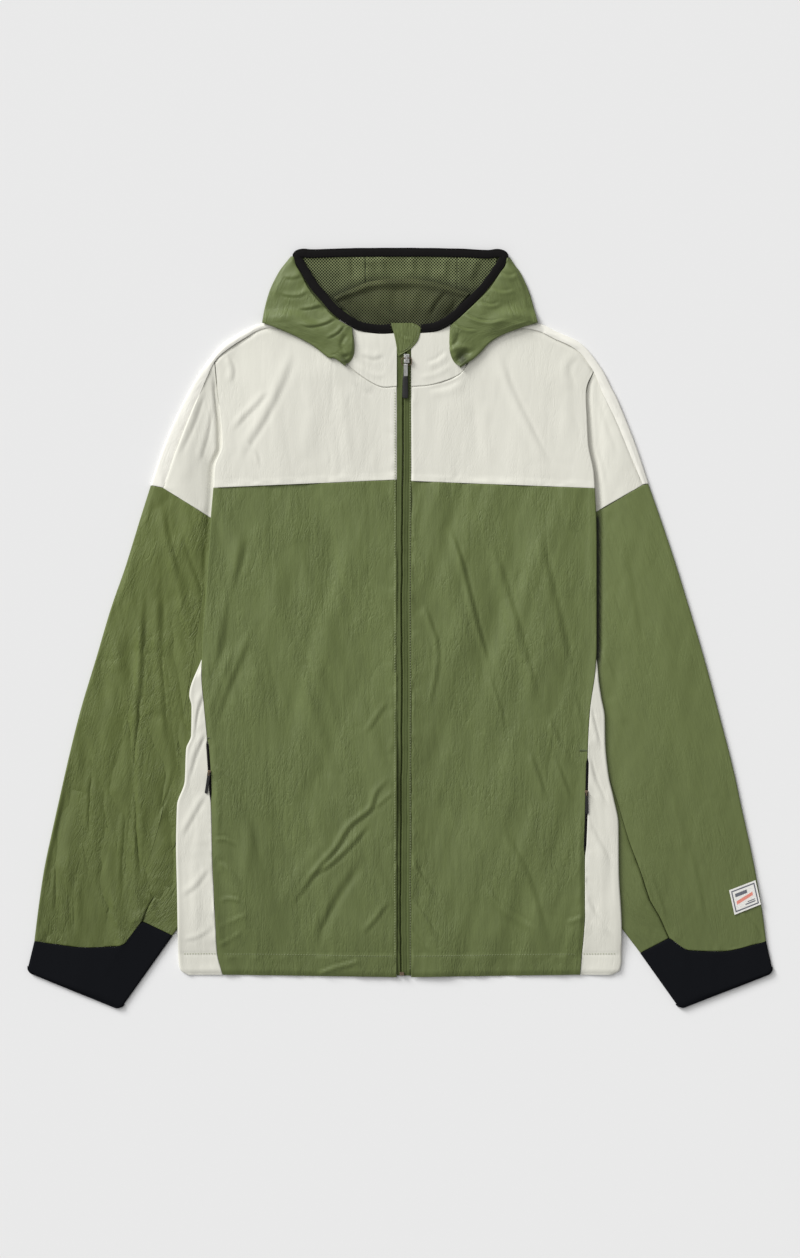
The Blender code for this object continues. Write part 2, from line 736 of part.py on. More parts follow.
def make_front(word, side):
    """The green front: from the yoke seam to the hem, with a rolled edge above the side panel."""
    near_zip = ZIP_RIGHT - SEAM if side < 0 else ZIP_LEFT + SEAM
    levels = body_rows()
    levels = levels[levels < 130.0]
    edge = read(BODY, "front_" + word, levels)
    flush = levels < FLUSH_BELOW
    rim = edge - np.where(flush, HALF_SEAM + mouth(levels), 0.0)
    seam_side, seam_zip = YOKE_SEAM_AT_RIGHT if side < 0 else YOKE_SEAM_AT_LEFT
    top_edge = (YOKE_SIDE_RIGHT if side < 0 else YOKE_SIDE_LEFT)[0].x
    outside = np.concatenate([[[top_edge, seam_side - HALF_SEAM]], np.stack([rim, levels], axis=-1)])
    inside = np.stack([np.full(len(levels), near_zip * side), levels], axis=-1)
    inside = np.concatenate([[[near_zip * side, seam_zip - HALF_SEAM]], inside])
    flush = np.concatenate([[False], flush])
    outside = mirrored(outside, side)
    inside = mirrored(inside, side)
    inward = np.tile([-side, 0.0], (len(outside), 1))
    high = front_top(outside[:, 0], outside[:, 1])
    half = np.where(flush, 0.0, ROLL / 2.0)
    shares = np.linspace(0.0, 1.0, 7)
    plan = lines(outside + inward * (half + ON_FOLD)[:, None], inside, shares)
    over = raised(plan, front_top)
    roll = np.zeros((len(outside), 0, 3))
    keep = np.ones((len(outside) - 1, FOLD_CELLS + len(shares)), bool)
    keep[:, : FOLD_CELLS + 1] = ~(flush[1:] | flush[:-1])[:, None]
    over[:, 0, 2] = high
    return folded("front_" + word, outside, inward, high - ROLL, high, roll, over, GREEN, keep)


def make_front_yoke(word, side):
    """The off-white yoke: a patch between the seam below, the armhole, the strip and the neck."""
    strip = SHOULDER_RIGHT if side < 0 else SHOULDER_LEFT
    neck = YOKE_NECK_RIGHT if side < 0 else YOKE_NECK_LEFT
    armhole = YOKE_SIDE_RIGHT if side < 0 else YOKE_SIDE_LEFT
    seam_side, seam_zip = YOKE_SEAM_AT_RIGHT if side < 0 else YOKE_SEAM_AT_LEFT
    top = [(armhole[-1].x, armhole[-1].y)]
    top += [(r.front_x, r.front_y - SEAM) for r in reversed(strip[1:ARMHOLE_AT])]
    top += [(c.top_x, c.top_y - SEAM) for c in neck]
    reach = np.linspace(armhole[0].x, neck[0].seam_x, len(top) - len(neck) + 1)
    seam_x = np.concatenate([reach[:-1], listed(neck, "seam_x")])
    slope = (armhole[0].x - seam_x) / (armhole[0].x - seam_x[-1])
    seam_y = seam_side + (seam_zip - seam_side) * slope + HALF_SEAM
    bottom = np.stack([seam_x, seam_y], axis=-1)
    first = np.array(armhole)
    first[0] = bottom[0]
    last = lines(bottom[-1:], np.array(top[-1:]), np.linspace(0.0, 1.0, len(first)))[0]
    plan = mirrored(patch(bottom, top, first, last), side)
    free = np.array([p.y < ARMHOLE_FREE_BELOW for p in armhole])
    outside = plan[:, 0]
    inward = np.tile([-side, 0.0], (len(outside), 1))
    high = front_top(outside[:, 0], outside[:, 1])
    shift = np.where(free, ROLL / 2.0 + ON_FOLD, 0.0)
    plan = plan.copy()
    plan[:, 0] += inward * shift[:, None]
    over = raised(plan, front_top)
    over[:, 0, 2] = high
    keep = np.ones((len(outside) - 1, FOLD_CELLS + over.shape[1]), bool)
    keep[:, : FOLD_CELLS + 1] = (free[1:] & free[:-1])[:, None]
    roll = np.zeros((len(outside), 0, 3))
    name = "front_yoke_" + word
    return folded(name, outside, inward, high - ROLL, high, roll, over, OFF_WHITE, keep)


def back_level(y):
    """Left and right edges of the back at a level."""
    return -read(BODY, "back_right", y), read(BODY, "back_left", y)


def make_back():
    """The green back, which climbs onto the sleeves along both sides."""
    levels = np.concatenate([[BACK_YOKE_Y - HALF_SEAM], body_rows()])
    right, left = back_level(levels)
    right[0], left[0] = -BACK_YOKE_HALF, BACK_YOKE_HALF
    columns = []
    for side, edge, name in ((-1.0, -right, "right"), (1.0, left, "left")):
        foot = np.minimum(read(TUCK, name, levels) - RAMP_MARGIN - RAMP, edge - RAMP - 6.0)
        climb = [edge, foot + RAMP, foot + 0.66 * RAMP, foot + 0.33 * RAMP, foot]
        columns.append(side * np.stack(climb, axis=-1))
    middle = np.linspace(columns[0][:, -1], columns[1][:, -1], 6, axis=-1)[:, 1:-1]
    x = np.concatenate([columns[0], middle, columns[1][:, ::-1]], axis=1)
    plan = np.stack([x, np.broadcast_to(levels[:, None], x.shape)], axis=-1)
    return panel("back", plan, lambda px, py: tuck_rise(px, py) + CLOTH, GREEN)


def armhole_tip(table):
    """Where the back armhole seam meets the shoulder strip."""
    above, below = table[ARMHOLE_AT - 1], table[ARMHOLE_AT]
    start, end = (np.array([row.back_x, row.back_y - SEAM]) for row in (above, below))
    return start + 0.45 * (end - start)


def make_back_yoke():
    """The off-white back yoke, with a neck notch cut between the two shoulder strips."""
    top, bottom = [], []
    for side, table in ((-1.0, SHOULDER_RIGHT), (1.0, SHOULDER_LEFT)):
        rows = table[:ARMHOLE_AT][::-1]
        tip = armhole_tip(table)
        edge = [(side * (tip[0] - SEAM), tip[1] - SEAM)]
        edge += [(side * r.back_x, r.back_y - SEAM) for r in rows]
        edge += [(side * SHOULDER_START, SHOULDER_Y), (side * NECK_HALF, SHOULDER_Y)]
        base = side * np.linspace(BACK_YOKE_HALF, NECK_HALF, len(edge))
        base[-3:-1] = side * np.array([SHOULDER_START + 2.3, SHOULDER_START - 0.7])
        top.append(edge)
        bottom.append(base)
    top = np.array(top[0] + top[1][::-1])
    x = np.concatenate([bottom[0], bottom[1][::-1]])
    bottom = np.stack([x, np.full(len(x), BACK_YOKE_Y + HALF_SEAM)], axis=-1)
    plan = lines(bottom, top, np.linspace(0.0, 1.0, 5))
    return panel("back_yoke", plan, CLOTH, OFF_WHITE)


def make_side_panel(word, side):
    """The off-white side panel, carried round the body's side fold from front to back."""
    levels = body_rows()
    levels = levels[levels <= SIDE_PANEL_TOP]
    fold = read(BODY, "fold_" + word, levels)
    seam = read(BODY, "front_" + word, levels) + HALF_SEAM + mouth(levels)
    behind = read(BODY, "back_" + word, levels) + SEAM
    rim = mirrored(np.stack([fold, levels], axis=-1), side)
    inward = np.tile([-side, 0.0], (len(levels), 1))
    low = tuck_rise(rim[:, 0], rim[:, 1])
    wrapped = levels < FLUSH_BELOW
    high = np.where(wrapped, front_top(rim[:, 0], rim[:, 1]), low + ROLL)
    half = (high - low) / 2.0
    start = rim + inward * half[:, None]
    head = read(TUCK, word, levels) - RAMP_MARGIN
    latest = fold - half - 4.0
    foot = np.clip(head - RAMP, behind + 3.0, np.maximum(latest - 3.0, behind + 3.0))
    head = np.clip(head, foot + 3.0, np.maximum(latest, foot + 3.0))
    reach = np.stack([behind, foot, head], axis=-1) * side
    under = np.stack([reach, np.broadcast_to(levels[:, None], reach.shape)], axis=-1)
    under = raised(under, tuck_rise)
    reach = np.minimum(seam, fold - half - 0.5)
    over = lines(start, mirrored(np.stack([reach, levels], axis=-1), side), (0.5, 1.0))
    over = raised(over, front_top)
    keep = np.ones((len(levels) - 1, under.shape[1] + FOLD_CELLS + over.shape[1]), bool)
    keep[~(wrapped[1:] & wrapped[:-1]), under.shape[1] :] = False
    return folded("side_panel_" + word, rim, inward, low, high, under, over, OFF_WHITE, keep)


# --- Shoulders and sleeves ------------------------------------------------------------------------


def make_shoulder_strip(word, side):
    """The light strip along the shoulder and the upper sleeve, round their outer fold."""
    table = SHOULDER_RIGHT if side < 0 else SHOULDER_LEFT
    rim = mirrored(np.stack([listed(table, "outer_x"), listed(table, "outer_y")], axis=-1), side)
    front = mirrored(np.stack([listed(table, "front_x"), listed(table, "front_y")], axis=-1), side)
    back = mirrored(np.stack([listed(table, "back_x"), listed(table, "back_y")], axis=-1), side)
    for line in (rim, front, back):
        line[-1, 1] += SEAM
    inward = unit(front - rim)
    low = np.zeros(len(rim))
    high = np.full(len(rim), FOLD_HEIGHT)
    start = rim + inward * FOLD_HEIGHT / 2.0
    under = raised(lines(back, start, (0.0, 0.6)), 0.0)
    over = raised(lines(start, front, (0.5, 1.0)), FOLD_HEIGHT)
    return folded("shoulder_strip_" + word, rim, inward, low, high, under, over, LIGHT)


def make_sleeve_yoke(word, side):
    """The off-white front of the upper sleeve, whose inner edge runs on under the body's front."""
    strip = (SHOULDER_RIGHT if side < 0 else SHOULDER_LEFT)[ARMHOLE_AT:]
    hidden = SLEEVE_HIDDEN_RIGHT if side < 0 else SLEEVE_HIDDEN_LEFT
    seam = YOKE_SEAM_RIGHT if side < 0 else YOKE_SEAM_LEFT
    first = [(r.front_x - 1.1 * SEAM, r.front_y - 0.5 * SEAM) for r in reversed(strip)]
    first[0] = (first[0][0], strip[-1].front_y + SEAM)
    last = resample(hidden, len(first))
    last[0] = hidden[0]
    inner = seam[-1]
    middle = seam[2]
    share = (middle.x - last[0][0]) / (middle.x - inner.x)
    end_y = middle.y + share * (inner.y - middle.y) + 1.5 * SEAM
    last[0][1] = end_y
    bend = np.array([middle.x, middle.y + SEAM])
    halfway = np.array(first[0]) + 0.55 * (bend - first[0])
    bottom = [first[0], halfway, bend, last[0]]
    top = lines(np.array([first[-1]]), np.array([last[-1]]), (0.0, 0.3, 0.7, 1.0))[0]
    plan = mirrored(patch(bottom, top, first, last), side)
    return panel("sleeve_yoke_" + word, plan, sleeve_top, OFF_WHITE)


def make_sleeve_back_yoke(word, side):
    """The off-white back of the upper sleeve, flat on the floor."""
    strip = (SHOULDER_RIGHT if side < 0 else SHOULDER_LEFT)[ARMHOLE_AT:]
    seam = YOKE_SEAM_RIGHT if side < 0 else YOKE_SEAM_LEFT
    first = [(r.back_x - SEAM, r.back_y - 0.5 * SEAM) for r in reversed(strip)]
    first[0] = (first[0][0], strip[-1].back_y + SEAM)
    tip = armhole_tip(SHOULDER_RIGHT if side < 0 else SHOULDER_LEFT)
    corner = (seam[-1].x + 2.0 * SEAM, seam[-1].y + 1.5 * SEAM)
    beside = (BACK_YOKE_HALF + 0.4, BACK_YOKE_Y)
    armhole = [corner, beside, (tip[0] + SEAM, tip[1] - 2.0 * SEAM)]
    last = resample(armhole, len(first))
    middle = seam[2]
    bottom = [first[0], (middle.x, middle.y + SEAM), tuple(last[0])]
    top = lines(np.array([first[-1]]), np.array([last[-1]]), (0.0, 0.5, 1.0))[0]
    plan = mirrored(patch(bottom, top, first, last), side)
    return panel("sleeve_back_yoke_" + word, plan, CLOTH, OFF_WHITE)


def sleeve_point(table, seam, cuff, share):
    """Points of every station at a share of the way across, bent to the seams at the two ends."""
    outer = np.stack([listed(table, "outer_x"), listed(table, "outer_y")], axis=-1)
    inner = np.stack([listed(table, "inner_x"), listed(table, "inner_y")], axis=-1)
    points = outer + share[:, None] * (inner - outer)
    for line, stations in ((seam, (0, 1, 2)), (cuff, (-1, -2))):
        line = np.array(line)
        order = np.argsort(line[:, 0])
        bent = np.interp(points[stations[0], 0], line[order, 0], line[order, 1])
        offset = bent - points[stations[0], 1]
        for step, station in enumerate(stations):
            points[station, 1] += offset * (1.0 - step / len(stations))
    return points


def seam_shares(seam):
    """The shares of the way across at which a seam's points lie."""
    x = listed(seam, "x")
    return (x[0] - x) / (x[0] - x[-1])


def edge_share(table):
    """The share across each station at which the body's edge lies over the sleeve."""
    side = -1.0 if table is SLEEVE_RIGHT else 1.0
    outer = np.stack([listed(table, "outer_x"), listed(table, "outer_y")], axis=-1)
    inner = np.stack([listed(table, "inner_x"), listed(table, "inner_y")], axis=-1)
    share = np.full(len(table), BACK_SEAM)
    for _ in range(12):
        level = outer[:, 1] + share * (inner[:, 1] - outer[:, 1])
        reach = body_edge(np.full(len(table), side), level)
        share = (outer[:, 0] - reach) / (outer[:, 0] - inner[:, 0])
    share[[0, -2, -1]] = BACK_SEAM
    return share


def sleeve_grid(table, seam, cuff, shares, side):
    """A plan grid down a sleeve with a column for each share across, clear of the seams' ends."""
    columns = []
    for share in shares:
        share = np.broadcast_to(np.asarray(share, float), (len(table),))
        columns.append(sleeve_point(table, seam, cuff, share))
    plan = np.stack(columns, axis=1)
    plan[0, :, 1] -= SEAM
    plan[-1, :, 1] += HALF_SEAM
    return plan * (side, 1.0)


def make_sleeve(word, side):
    """The green sleeve, from the seam behind, round the outer fold, to the top seam."""
    table = SLEEVE_RIGHT if side < 0 else SLEEVE_LEFT
    seam = YOKE_SEAM_RIGHT if side < 0 else YOKE_SEAM_LEFT
    cuff = CUFF_SEAM_RIGHT if side < 0 else CUFF_SEAM_LEFT
    top_seam = listed(table, "top_seam")
    top_seam[-1] = seam_shares(cuff)[4]
    width = listed(table, "outer_x") - listed(table, "inner_x")
    strip = np.linspace(seam_shares(seam)[1], seam_shares(cuff)[1], len(table))
    behind = [BACK_SEAM - HALF_SEAM / width, SLEEVE_MIDDLE, strip]
    under_body = np.minimum(edge_share(table), top_seam - 0.06)
    ahead = [strip, SLEEVE_MIDDLE, under_body, top_seam - HALF_SEAM / width]
    rim = sleeve_grid(table, seam, cuff, [0.0], side)[:, 0]
    toward = sleeve_grid(table, seam, cuff, [0.1], side)[:, 0]
    under = raised(sleeve_grid(table, seam, cuff, behind, side), 0.0)
    over = raised(sleeve_grid(table, seam, cuff, ahead, side), sleeve_top)
    low = np.zeros(len(table))
    high = sleeve_top(rim[:, 0], rim[:, 1])
    return folded("sleeve_" + word, rim, unit(toward - rim), low, high, under, over, GREEN)


def make_under_sleeve(word, side):
    """The green under sleeve, from the top seam, round the inner fold, to the seam behind."""
    table = SLEEVE_RIGHT if side < 0 else SLEEVE_LEFT
    seam = YOKE_SEAM_RIGHT if side < 0 else YOKE_SEAM_LEFT
    cuff = CUFF_SEAM_RIGHT if side < 0 else CUFF_SEAM_LEFT
    kink = seam_shares(cuff)[4]
    top_seam = listed(table, "top_seam")
    top_seam[-1] = kink
    width = listed(table, "outer_x") - listed(table, "inner_x")
    behind = [BACK_SEAM + HALF_SEAM / width, kink]
    near = top_seam + HALF_SEAM / width
    ahead = [np.clip(edge_share(table), near + 0.04, 0.96), near]
    rim = sleeve_grid(table, seam, cuff, [1.0], side)[:, 0]
    toward = sleeve_grid(table, seam, cuff, [0.9], side)[:, 0]
    under = raised(sleeve_grid(table, seam, cuff, behind, side), 0.0)
    over = raised(sleeve_grid(table, seam, cuff, ahead, side), sleeve_top)
    low = np.zeros(len(table))
    high = sleeve_top(rim[:, 0], rim[:, 1])
    return folded("under_sleeve_" + word, rim, unit(toward - rim), low, high, under, over, GREEN)


def make_cuff(word, side):
    """The black cuff: a flattened tube from the sleeve's curved seam to its open end."""
    table = CUFF_SEAM_RIGHT if side < 0 else CUFF_SEAM_LEFT
    end = CUFF_END_RIGHT if side < 0 else CUFF_END_LEFT
    seam = np.array(table) - (0.0, SEAM)
    shares = (seam[0, 0] - seam[:, 0]) / (seam[0, 0] - seam[-1, 0])
    opening = np.array(end[:2]) + shares[:, None] * (np.array(end[2:]) - np.array(end[:2]))
    rows = lines(seam, opening, (0.0, 0.35, 0.7, 1.0)).transpose(1, 0, 2)
    rows = mirrored(rows, side)
    out = unit(rows[:, 0] - rows[:, -1])
    high = np.linspace(FOLD_HEIGHT, FOLD_HEIGHT - 0.2, len(rows))
    radius = high / 2.0
    turn = np.linspace(-math.pi / 2.0, math.pi / 2.0, FOLD_CELLS + 1)

    def loop(inset):
        """Round the cuff: the outer fold, the top, the inner fold and the underside."""
        parts = []
        for rim, away in ((rows[:, 0], out), (rows[:, -1], -out)):
            centre = rim - away * radius[:, None]
            flat = centre[:, None] + away[:, None] * (
                (radius - inset)[:, None, None] * np.cos(turn)[None, :, None]
            )
            rise = radius[:, None] + (radius - inset)[:, None] * np.sin(turn)[None]
            parts.append(np.concatenate([flat, rise[..., None]], axis=-1))
        inside = rows[:, 1:-1]
        top = raised(inside, (high - inset)[:, None])
        foot = raised(inside, inset)
        return np.concatenate([parts[0], top, parts[1][:, ::-1], foot[:, ::-1]], axis=1)

    return wall("cuff_" + word, loop(0.0), loop(CLOTH), BLACK_KNIT, ring=True)


# --- Neck and hood --------------------------------------------------------------------------------


def make_collar(word, side):
    """The off-white collar front, between the neck seam, the zip and the binding."""
    table = COLLAR_RIGHT if side < 0 else COLLAR_LEFT
    seam = np.array([row[0] for row in table])
    edge = np.array([row[1] for row in table])
    plan = mirrored(lines(seam, edge, np.linspace(0.0, 1.0, 5)), side)
    return panel("collar_" + word, plan, front_top, OFF_WHITE)


def make_hood_side(word, side):
    """A green hood side: from the binding, round the outer fold, and back along the floor."""
    table = HOOD_RIGHT if side < 0 else HOOD_LEFT
    rim = mirrored(np.stack([listed(table, "outer_x"), listed(table, "outer_y")], axis=-1), side)
    edge = mirrored(np.stack([listed(table, "edge_x"), listed(table, "edge_y")], axis=-1), side)
    inward = unit(edge - rim)
    low = hood_floor(rim[:, 0], rim[:, 1])
    wing = rim[HOOD_FLOOR_ROWS:]
    low[HOOD_FLOOR_ROWS:] = front_top(wing[:, 0], wing[:, 1]) + 2.0 * CLEAR
    high = low + FOLD_HEIGHT
    start = rim + inward * FOLD_HEIGHT / 2.0
    shares = np.array([0.35, 0.7, 1.0])
    over = lines(start, edge, shares)
    rise = high[:, None] + (listed(table, "edge_z") - high)[:, None] * ease(shares ** 0.8)
    over = np.concatenate([over, rise[..., None]], axis=-1)
    centre_x = HOOD_SEAM_RIGHT - HALF_SEAM if side < 0 else HOOD_SEAM_LEFT + HALF_SEAM
    floor_y = listed(table, "floor_y")
    ends = np.stack([np.full(len(table), centre_x), floor_y], axis=-1)
    under = raised(lines(ends, start, (0.0, 0.35, 0.7)), hood_floor)
    keep = np.ones((len(table) - 1, under.shape[1] + FOLD_CELLS + len(shares)), bool)
    keep[HOOD_FLOOR_ROWS - 1 :, : under.shape[1]] = False
    return folded("hood_side_" + word, rim, inward, low, high, under, over, GREEN, keep)


def make_hood_centre():
    """The green centre panel of the hood, flat on the floor behind the opening."""
    sides = []
    for table, x in ((HOOD_RIGHT, HOOD_SEAM_RIGHT + HALF_SEAM), (HOOD_LEFT, HOOD_SEAM_LEFT - HALF_SEAM)):
        levels = np.append(listed(table[:HOOD_FLOOR_ROWS], "floor_y"), SHOULDER_Y + SEAM)
        sides.append(np.stack([np.full(len(levels), x), levels], axis=-1))
    plan = lines(sides[0], sides[1], np.linspace(0.0, 1.0, 5))
    plan[0, 1:-1, 1] = HOOD_TOP_Y
    return panel("hood_centre", plan, lambda x, y: hood_floor(x, y) + CLOTH, GREEN)


def make_lining(word, start, end):
    """One panel of the hood's mesh lining, from its start to its end at every level."""
    levels = listed(LINING, "y")
    first = np.stack([np.broadcast_to(start, levels.shape), levels], axis=-1)
    last = np.stack([np.broadcast_to(end, levels.shape), levels], axis=-1)
    plan = lines(first, last, np.linspace(0.0, 1.0, 3))
    top = raised(plan, lambda x, y: hood_floor(x, y) + LINING_LOW + CLOTH)[..., 2]
    return panel("hood_lining_" + word, plan, top, MESH)


def make_linings():
    """The three lining panels, from the wearer's right to the left."""
    make_lining("right", -listed(LINING, "right"), HOOD_SEAM_RIGHT - HALF_SEAM)
    make_lining("centre", HOOD_SEAM_RIGHT + HALF_SEAM, HOOD_SEAM_LEFT - HALF_SEAM)
    make_lining("left", HOOD_SEAM_LEFT + HALF_SEAM, listed(LINING, "left"))


def make_neck_lining():
    """The mesh inside the back of the neck, which stands up in a roll behind the zip."""
    rim = np.stack([listed(RIDGE, "x"), listed(RIDGE, "y")], axis=-1)
    ends = np.stack([listed(RIDGE, "end_x"), listed(RIDGE, "end_y")], axis=-1)
    high = listed(RIDGE, "high")
    low = np.full(len(rim), LINING_LOW + CLOTH + CLEAR)
    inward = unit(ends - rim)
    start = rim + inward * ((high - low) / 2.0)[:, None]
    shares = np.array([0.35, 0.7, 1.0])
    over = lines(start, ends, shares)
    rise = high[:, None] + np.array([0.7, 0.3, -0.5])[None]
    over = np.concatenate([over, rise[..., None]], axis=-1)
    none = np.zeros((len(rim), 0, 3))
    return folded("neck_lining", rim, inward, low, high, none, over, MESH)


def smooth_path(points, step):
    """Points about a step apart on a Catmull-Rom curve through the given ones."""
    points = np.asarray(points, float)
    ends = np.concatenate([[2 * points[0] - points[1]], points, [2 * points[-1] - points[-2]]])
    found = []
    for i in range(len(points) - 1):
        a, b, c, d = ends[i : i + 4]
        count = max(1, round(float(np.linalg.norm(c - b)) / step))
        for t in np.arange(count) / count:
            bend = 2 * b + (c - a) * t + (2 * a - 5 * b + 4 * c - d) * t * t
            found.append(0.5 * (bend + (3 * b - a - 3 * c + d) * t**3))
    found.append(points[-1])
    return np.array(found)


def make_binding():
    """The black binding: a flat rounded band carried all round the face opening."""
    path = smooth_path(BINDING, 14.0)
    along = unit(np.gradient(path, axis=0))
    across = unit(np.cross(along, (0.0, 0.0, 1.0)))
    width, thick = BINDING_WIDTH / 2.0, BINDING_THICK / 2.0
    section = ((-1, 0), (-0.72, 1), (0.72, 1), (1, 0), (0.72, -1), (-0.72, -1))
    ring = [path + across * (u * width) + np.array([0.0, 0.0, v * thick]) for u, v in section]
    ring = np.stack(ring, axis=1)
    count, size = ring.shape[:2]
    quads = cells(count, size, None, True)
    faces = [tuple(q) for q in quads.tolist()]
    faces.append(tuple(range(size)))
    faces.append(tuple(range((count - 1) * size, count * size)))
    return add_mesh("hood_binding", ring.reshape(-1, 3), faces, BLACK_TRIM)


# --- Front zip ------------------------------------------------------------------------------------


def tape_top(x, y):
    """Top of the zip tapes, just under the fronts that they are sewn to."""
    return front_top(x, y) - TAPE_DROP


def make_zip_tape(word, side):
    """Half of the zip: a tape from the front's edge to the slit."""
    levels, slit = listed(ZIP, "y"), listed(ZIP, "slit")
    edge = ZIP_RIGHT if side < 0 else ZIP_LEFT
    outer = np.stack([np.full(len(levels), edge), levels], axis=-1)
    inner = np.stack([slit + side * HALF_SEAM, levels], axis=-1)
    return panel("zip_tape_" + word, lines(outer, inner, (0.0, 1.0)), tape_top, TAPE)


def make_garage():
    """The green flap that covers the top of the zip."""
    table = np.array(GARAGE)
    right = np.stack([table[:, 1], table[:, 0]], axis=-1)
    left = np.stack([table[:, 2], table[:, 0]], axis=-1)
    plan = lines(right, left, np.linspace(0.0, 1.0, 4))
    top = front_top(plan[..., 0], np.minimum(plan[..., 1], GARAGE_LEVEL)) + CLEAR + CLOTH
    return panel("zip_garage", plan, top, GREEN)


def block(name, low, high, finish, bevel=0.3):
    """A small box between two corners, with its edges rounded."""
    low, high = np.array(low), np.array(high)
    corners = [np.where([i & 1, i & 2, i & 4], high, low) for i in range(8)]
    faces = ((0, 1, 3, 2), (4, 5, 7, 6), (0, 1, 5, 4), (2, 3, 7, 6), (0, 2, 6, 4), (1, 3, 7, 5))
    piece = add_mesh(name, corners, faces, finish, smooth=False)
    rounding = piece.modifiers.new("edges", "BEVEL")
    rounding.width = bevel * METRE
    rounding.segments = 2
    return piece


class PullSize(NamedTuple):
    """Sizes of a zip slider and of the bar that its pull turns on."""

    width: float
    length: float
    height: float
    bridge_width: float
    bridge_reach: float  # from the bar to the outside of each foot of the bridge
    bridge_wall: float
    bar: float  # the bar's radius
    air: float  # room round the bar


MAIN_PULL = PullSize(5.9, 10.0, 2.4, 1.6, 3.2, 0.8, 0.55, 0.35)
POCKET_PULL = PullSize(3.4, 7.0, 1.4, 0.9, 1.9, 0.6, 0.4, 0.3)


def bar_height(size):
    """Height of the pull's axis over the slider's top."""
    return size.bar + size.air


def make_slider(name, place, size, ahead, finish):
    """A zip slider with a bridge over it; ahead is how far it reaches past the pull's axis.

    place is the pull's axis in the middle of the slider. The bridge is an arch whose profile is
    drawn from the side, joined to the body.
    """
    x, y, z = place
    floor = z - bar_height(size)
    half = size.width / 2.0
    low = (x - half, y + ahead - size.length, floor - size.height)
    body = block(name, low, (x + half, y + ahead, floor), finish, bevel=0.5)
    reach, top = size.bridge_reach, bar_height(size) + size.bar + size.air + size.bridge_wall
    wall_, sunk = size.bridge_wall, 0.3
    profile = (
        (-reach, -sunk),
        (-reach, top * 0.7),
        (-reach * 0.6, top),
        (reach * 0.6, top),
        (reach, top * 0.7),
        (reach, -sunk),
        (reach - wall_, -sunk),
        (reach - wall_, top * 0.7 - wall_ * 0.5),
        (reach * 0.6 - wall_ * 0.3, top - wall_),
        (-reach * 0.6 + wall_ * 0.3, top - wall_),
        (-reach + wall_, top * 0.7 - wall_ * 0.5),
        (-reach + wall_, -sunk),
    )
    thick = size.bridge_width / 2.0
    points = [(x + s * thick, y + u, floor + v) for s in (-1, 1) for u, v in profile]
    count = len(profile)
    faces = [(i, (i + 1) % count, (i + 1) % count + count, i + count) for i in range(count)]
    faces += [tuple(range(count)), tuple(range(count, 2 * count))]
    bridge = add_mesh(name + "_bridge_guide", points, faces, finish, smooth=False)
    bridge.hide_render = True
    bridge.display_type = "WIRE"
    join = body.modifiers.new("bridge", "BOOLEAN")
    join.operation = "UNION"
    join.object = bridge
    return body


def turned(piece, place, tilt, heading=0.0):
    """Put a pull on its axis: tilted down about X, and turned about Z."""
    piece.location = np.array(place) * METRE
    piece.rotation_euler = (tilt, 0.0, heading)
    return piece


RING_SIZE = (10.6, 7.6)  # across and along, middle line to middle line
RING_CENTRE = 7.3
RING_AXIS_Y = 297.2
GRIP_SIZE = (6.8, 24.0, 2.4)
LINK_SIZE = (4.3, 12.2, 0.5)  # across, from the ring's bar to the grip, and the plate
LINK_AIR = 0.35
LINK_CENTRE = 6.2
PULL_DROP = 2.0  # how far the ring's foot hangs under the bar


def rounded_loop(across, along, corner, steps=3):
    """The middle line of the ring: a rectangle with round corners, from its bar towards -Y."""
    half = across / 2.0
    centres = ((half - corner, -corner), (half - corner, corner - along))
    centres += ((corner - half, corner - along), (corner - half, -corner))
    starts = (90.0, 0.0, -90.0, -180.0)
    found = []
    for (cx, cy), begin in zip(centres, starts):
        for step in range(steps + 1):
            angle = math.radians(begin - 90.0 * step / steps)
            found.append((cx + corner * math.cos(angle), cy + corner * math.sin(angle), 0.0))
    return np.array(found)


def make_ring(place, tilt):
    """The main pull's ring: a round bar bent into a loop through the slider's bridge."""
    across, along = RING_SIZE
    path = rounded_loop(across, along, 1.8)
    ahead = unit(np.roll(path, -1, axis=0) - np.roll(path, 1, axis=0))
    side = np.cross(ahead, (0.0, 0.0, 1.0))
    angles = np.linspace(0.0, 2.0 * math.pi, 6, endpoint=False)
    radius = MAIN_PULL.bar
    rings = [
        path + radius * (side * math.cos(a) + np.array([0.0, 0.0, math.sin(a)])) for a in angles
    ]
    grid = np.stack(rings, axis=1)
    count, size = grid.shape[:2]
    quads = cells(count + 1, size, None, True) % (count * size)
    piece = add_mesh("zip_pull_ring", grid.reshape(-1, 3), quads.tolist(), BRONZE)
    return turned(piece, place, tilt)


def make_link(place, tilt):
    """The folded plate that hangs the grip on the ring, like a hairpin seen from the side."""
    across, reach, plate = LINK_SIZE
    inner = MAIN_PULL.bar + LINK_AIR
    outer = inner + plate
    bend = [math.radians(90.0 - 180.0 * i / 5) for i in range(6)]
    profile = [(-reach, outer)] + [(outer * math.cos(a), outer * math.sin(a)) for a in bend]
    profile += [(-reach, -outer), (-reach, -inner)]
    profile += [(inner * math.cos(a), inner * math.sin(a)) for a in reversed(bend)]
    profile += [(-reach, inner)]
    half = across / 2.0
    shift = LINK_CENTRE - RING_CENTRE
    points = [(shift + s * half, u, v) for s in (-1, 1) for u, v in profile]
    count = len(profile)
    faces = [(i, (i + 1) % count, (i + 1) % count + count, i + count) for i in range(count)]
    faces += [tuple(range(count)), tuple(range(count, 2 * count))]
    return turned(add_mesh("zip_pull_link", points, faces, SILVER), place, tilt)


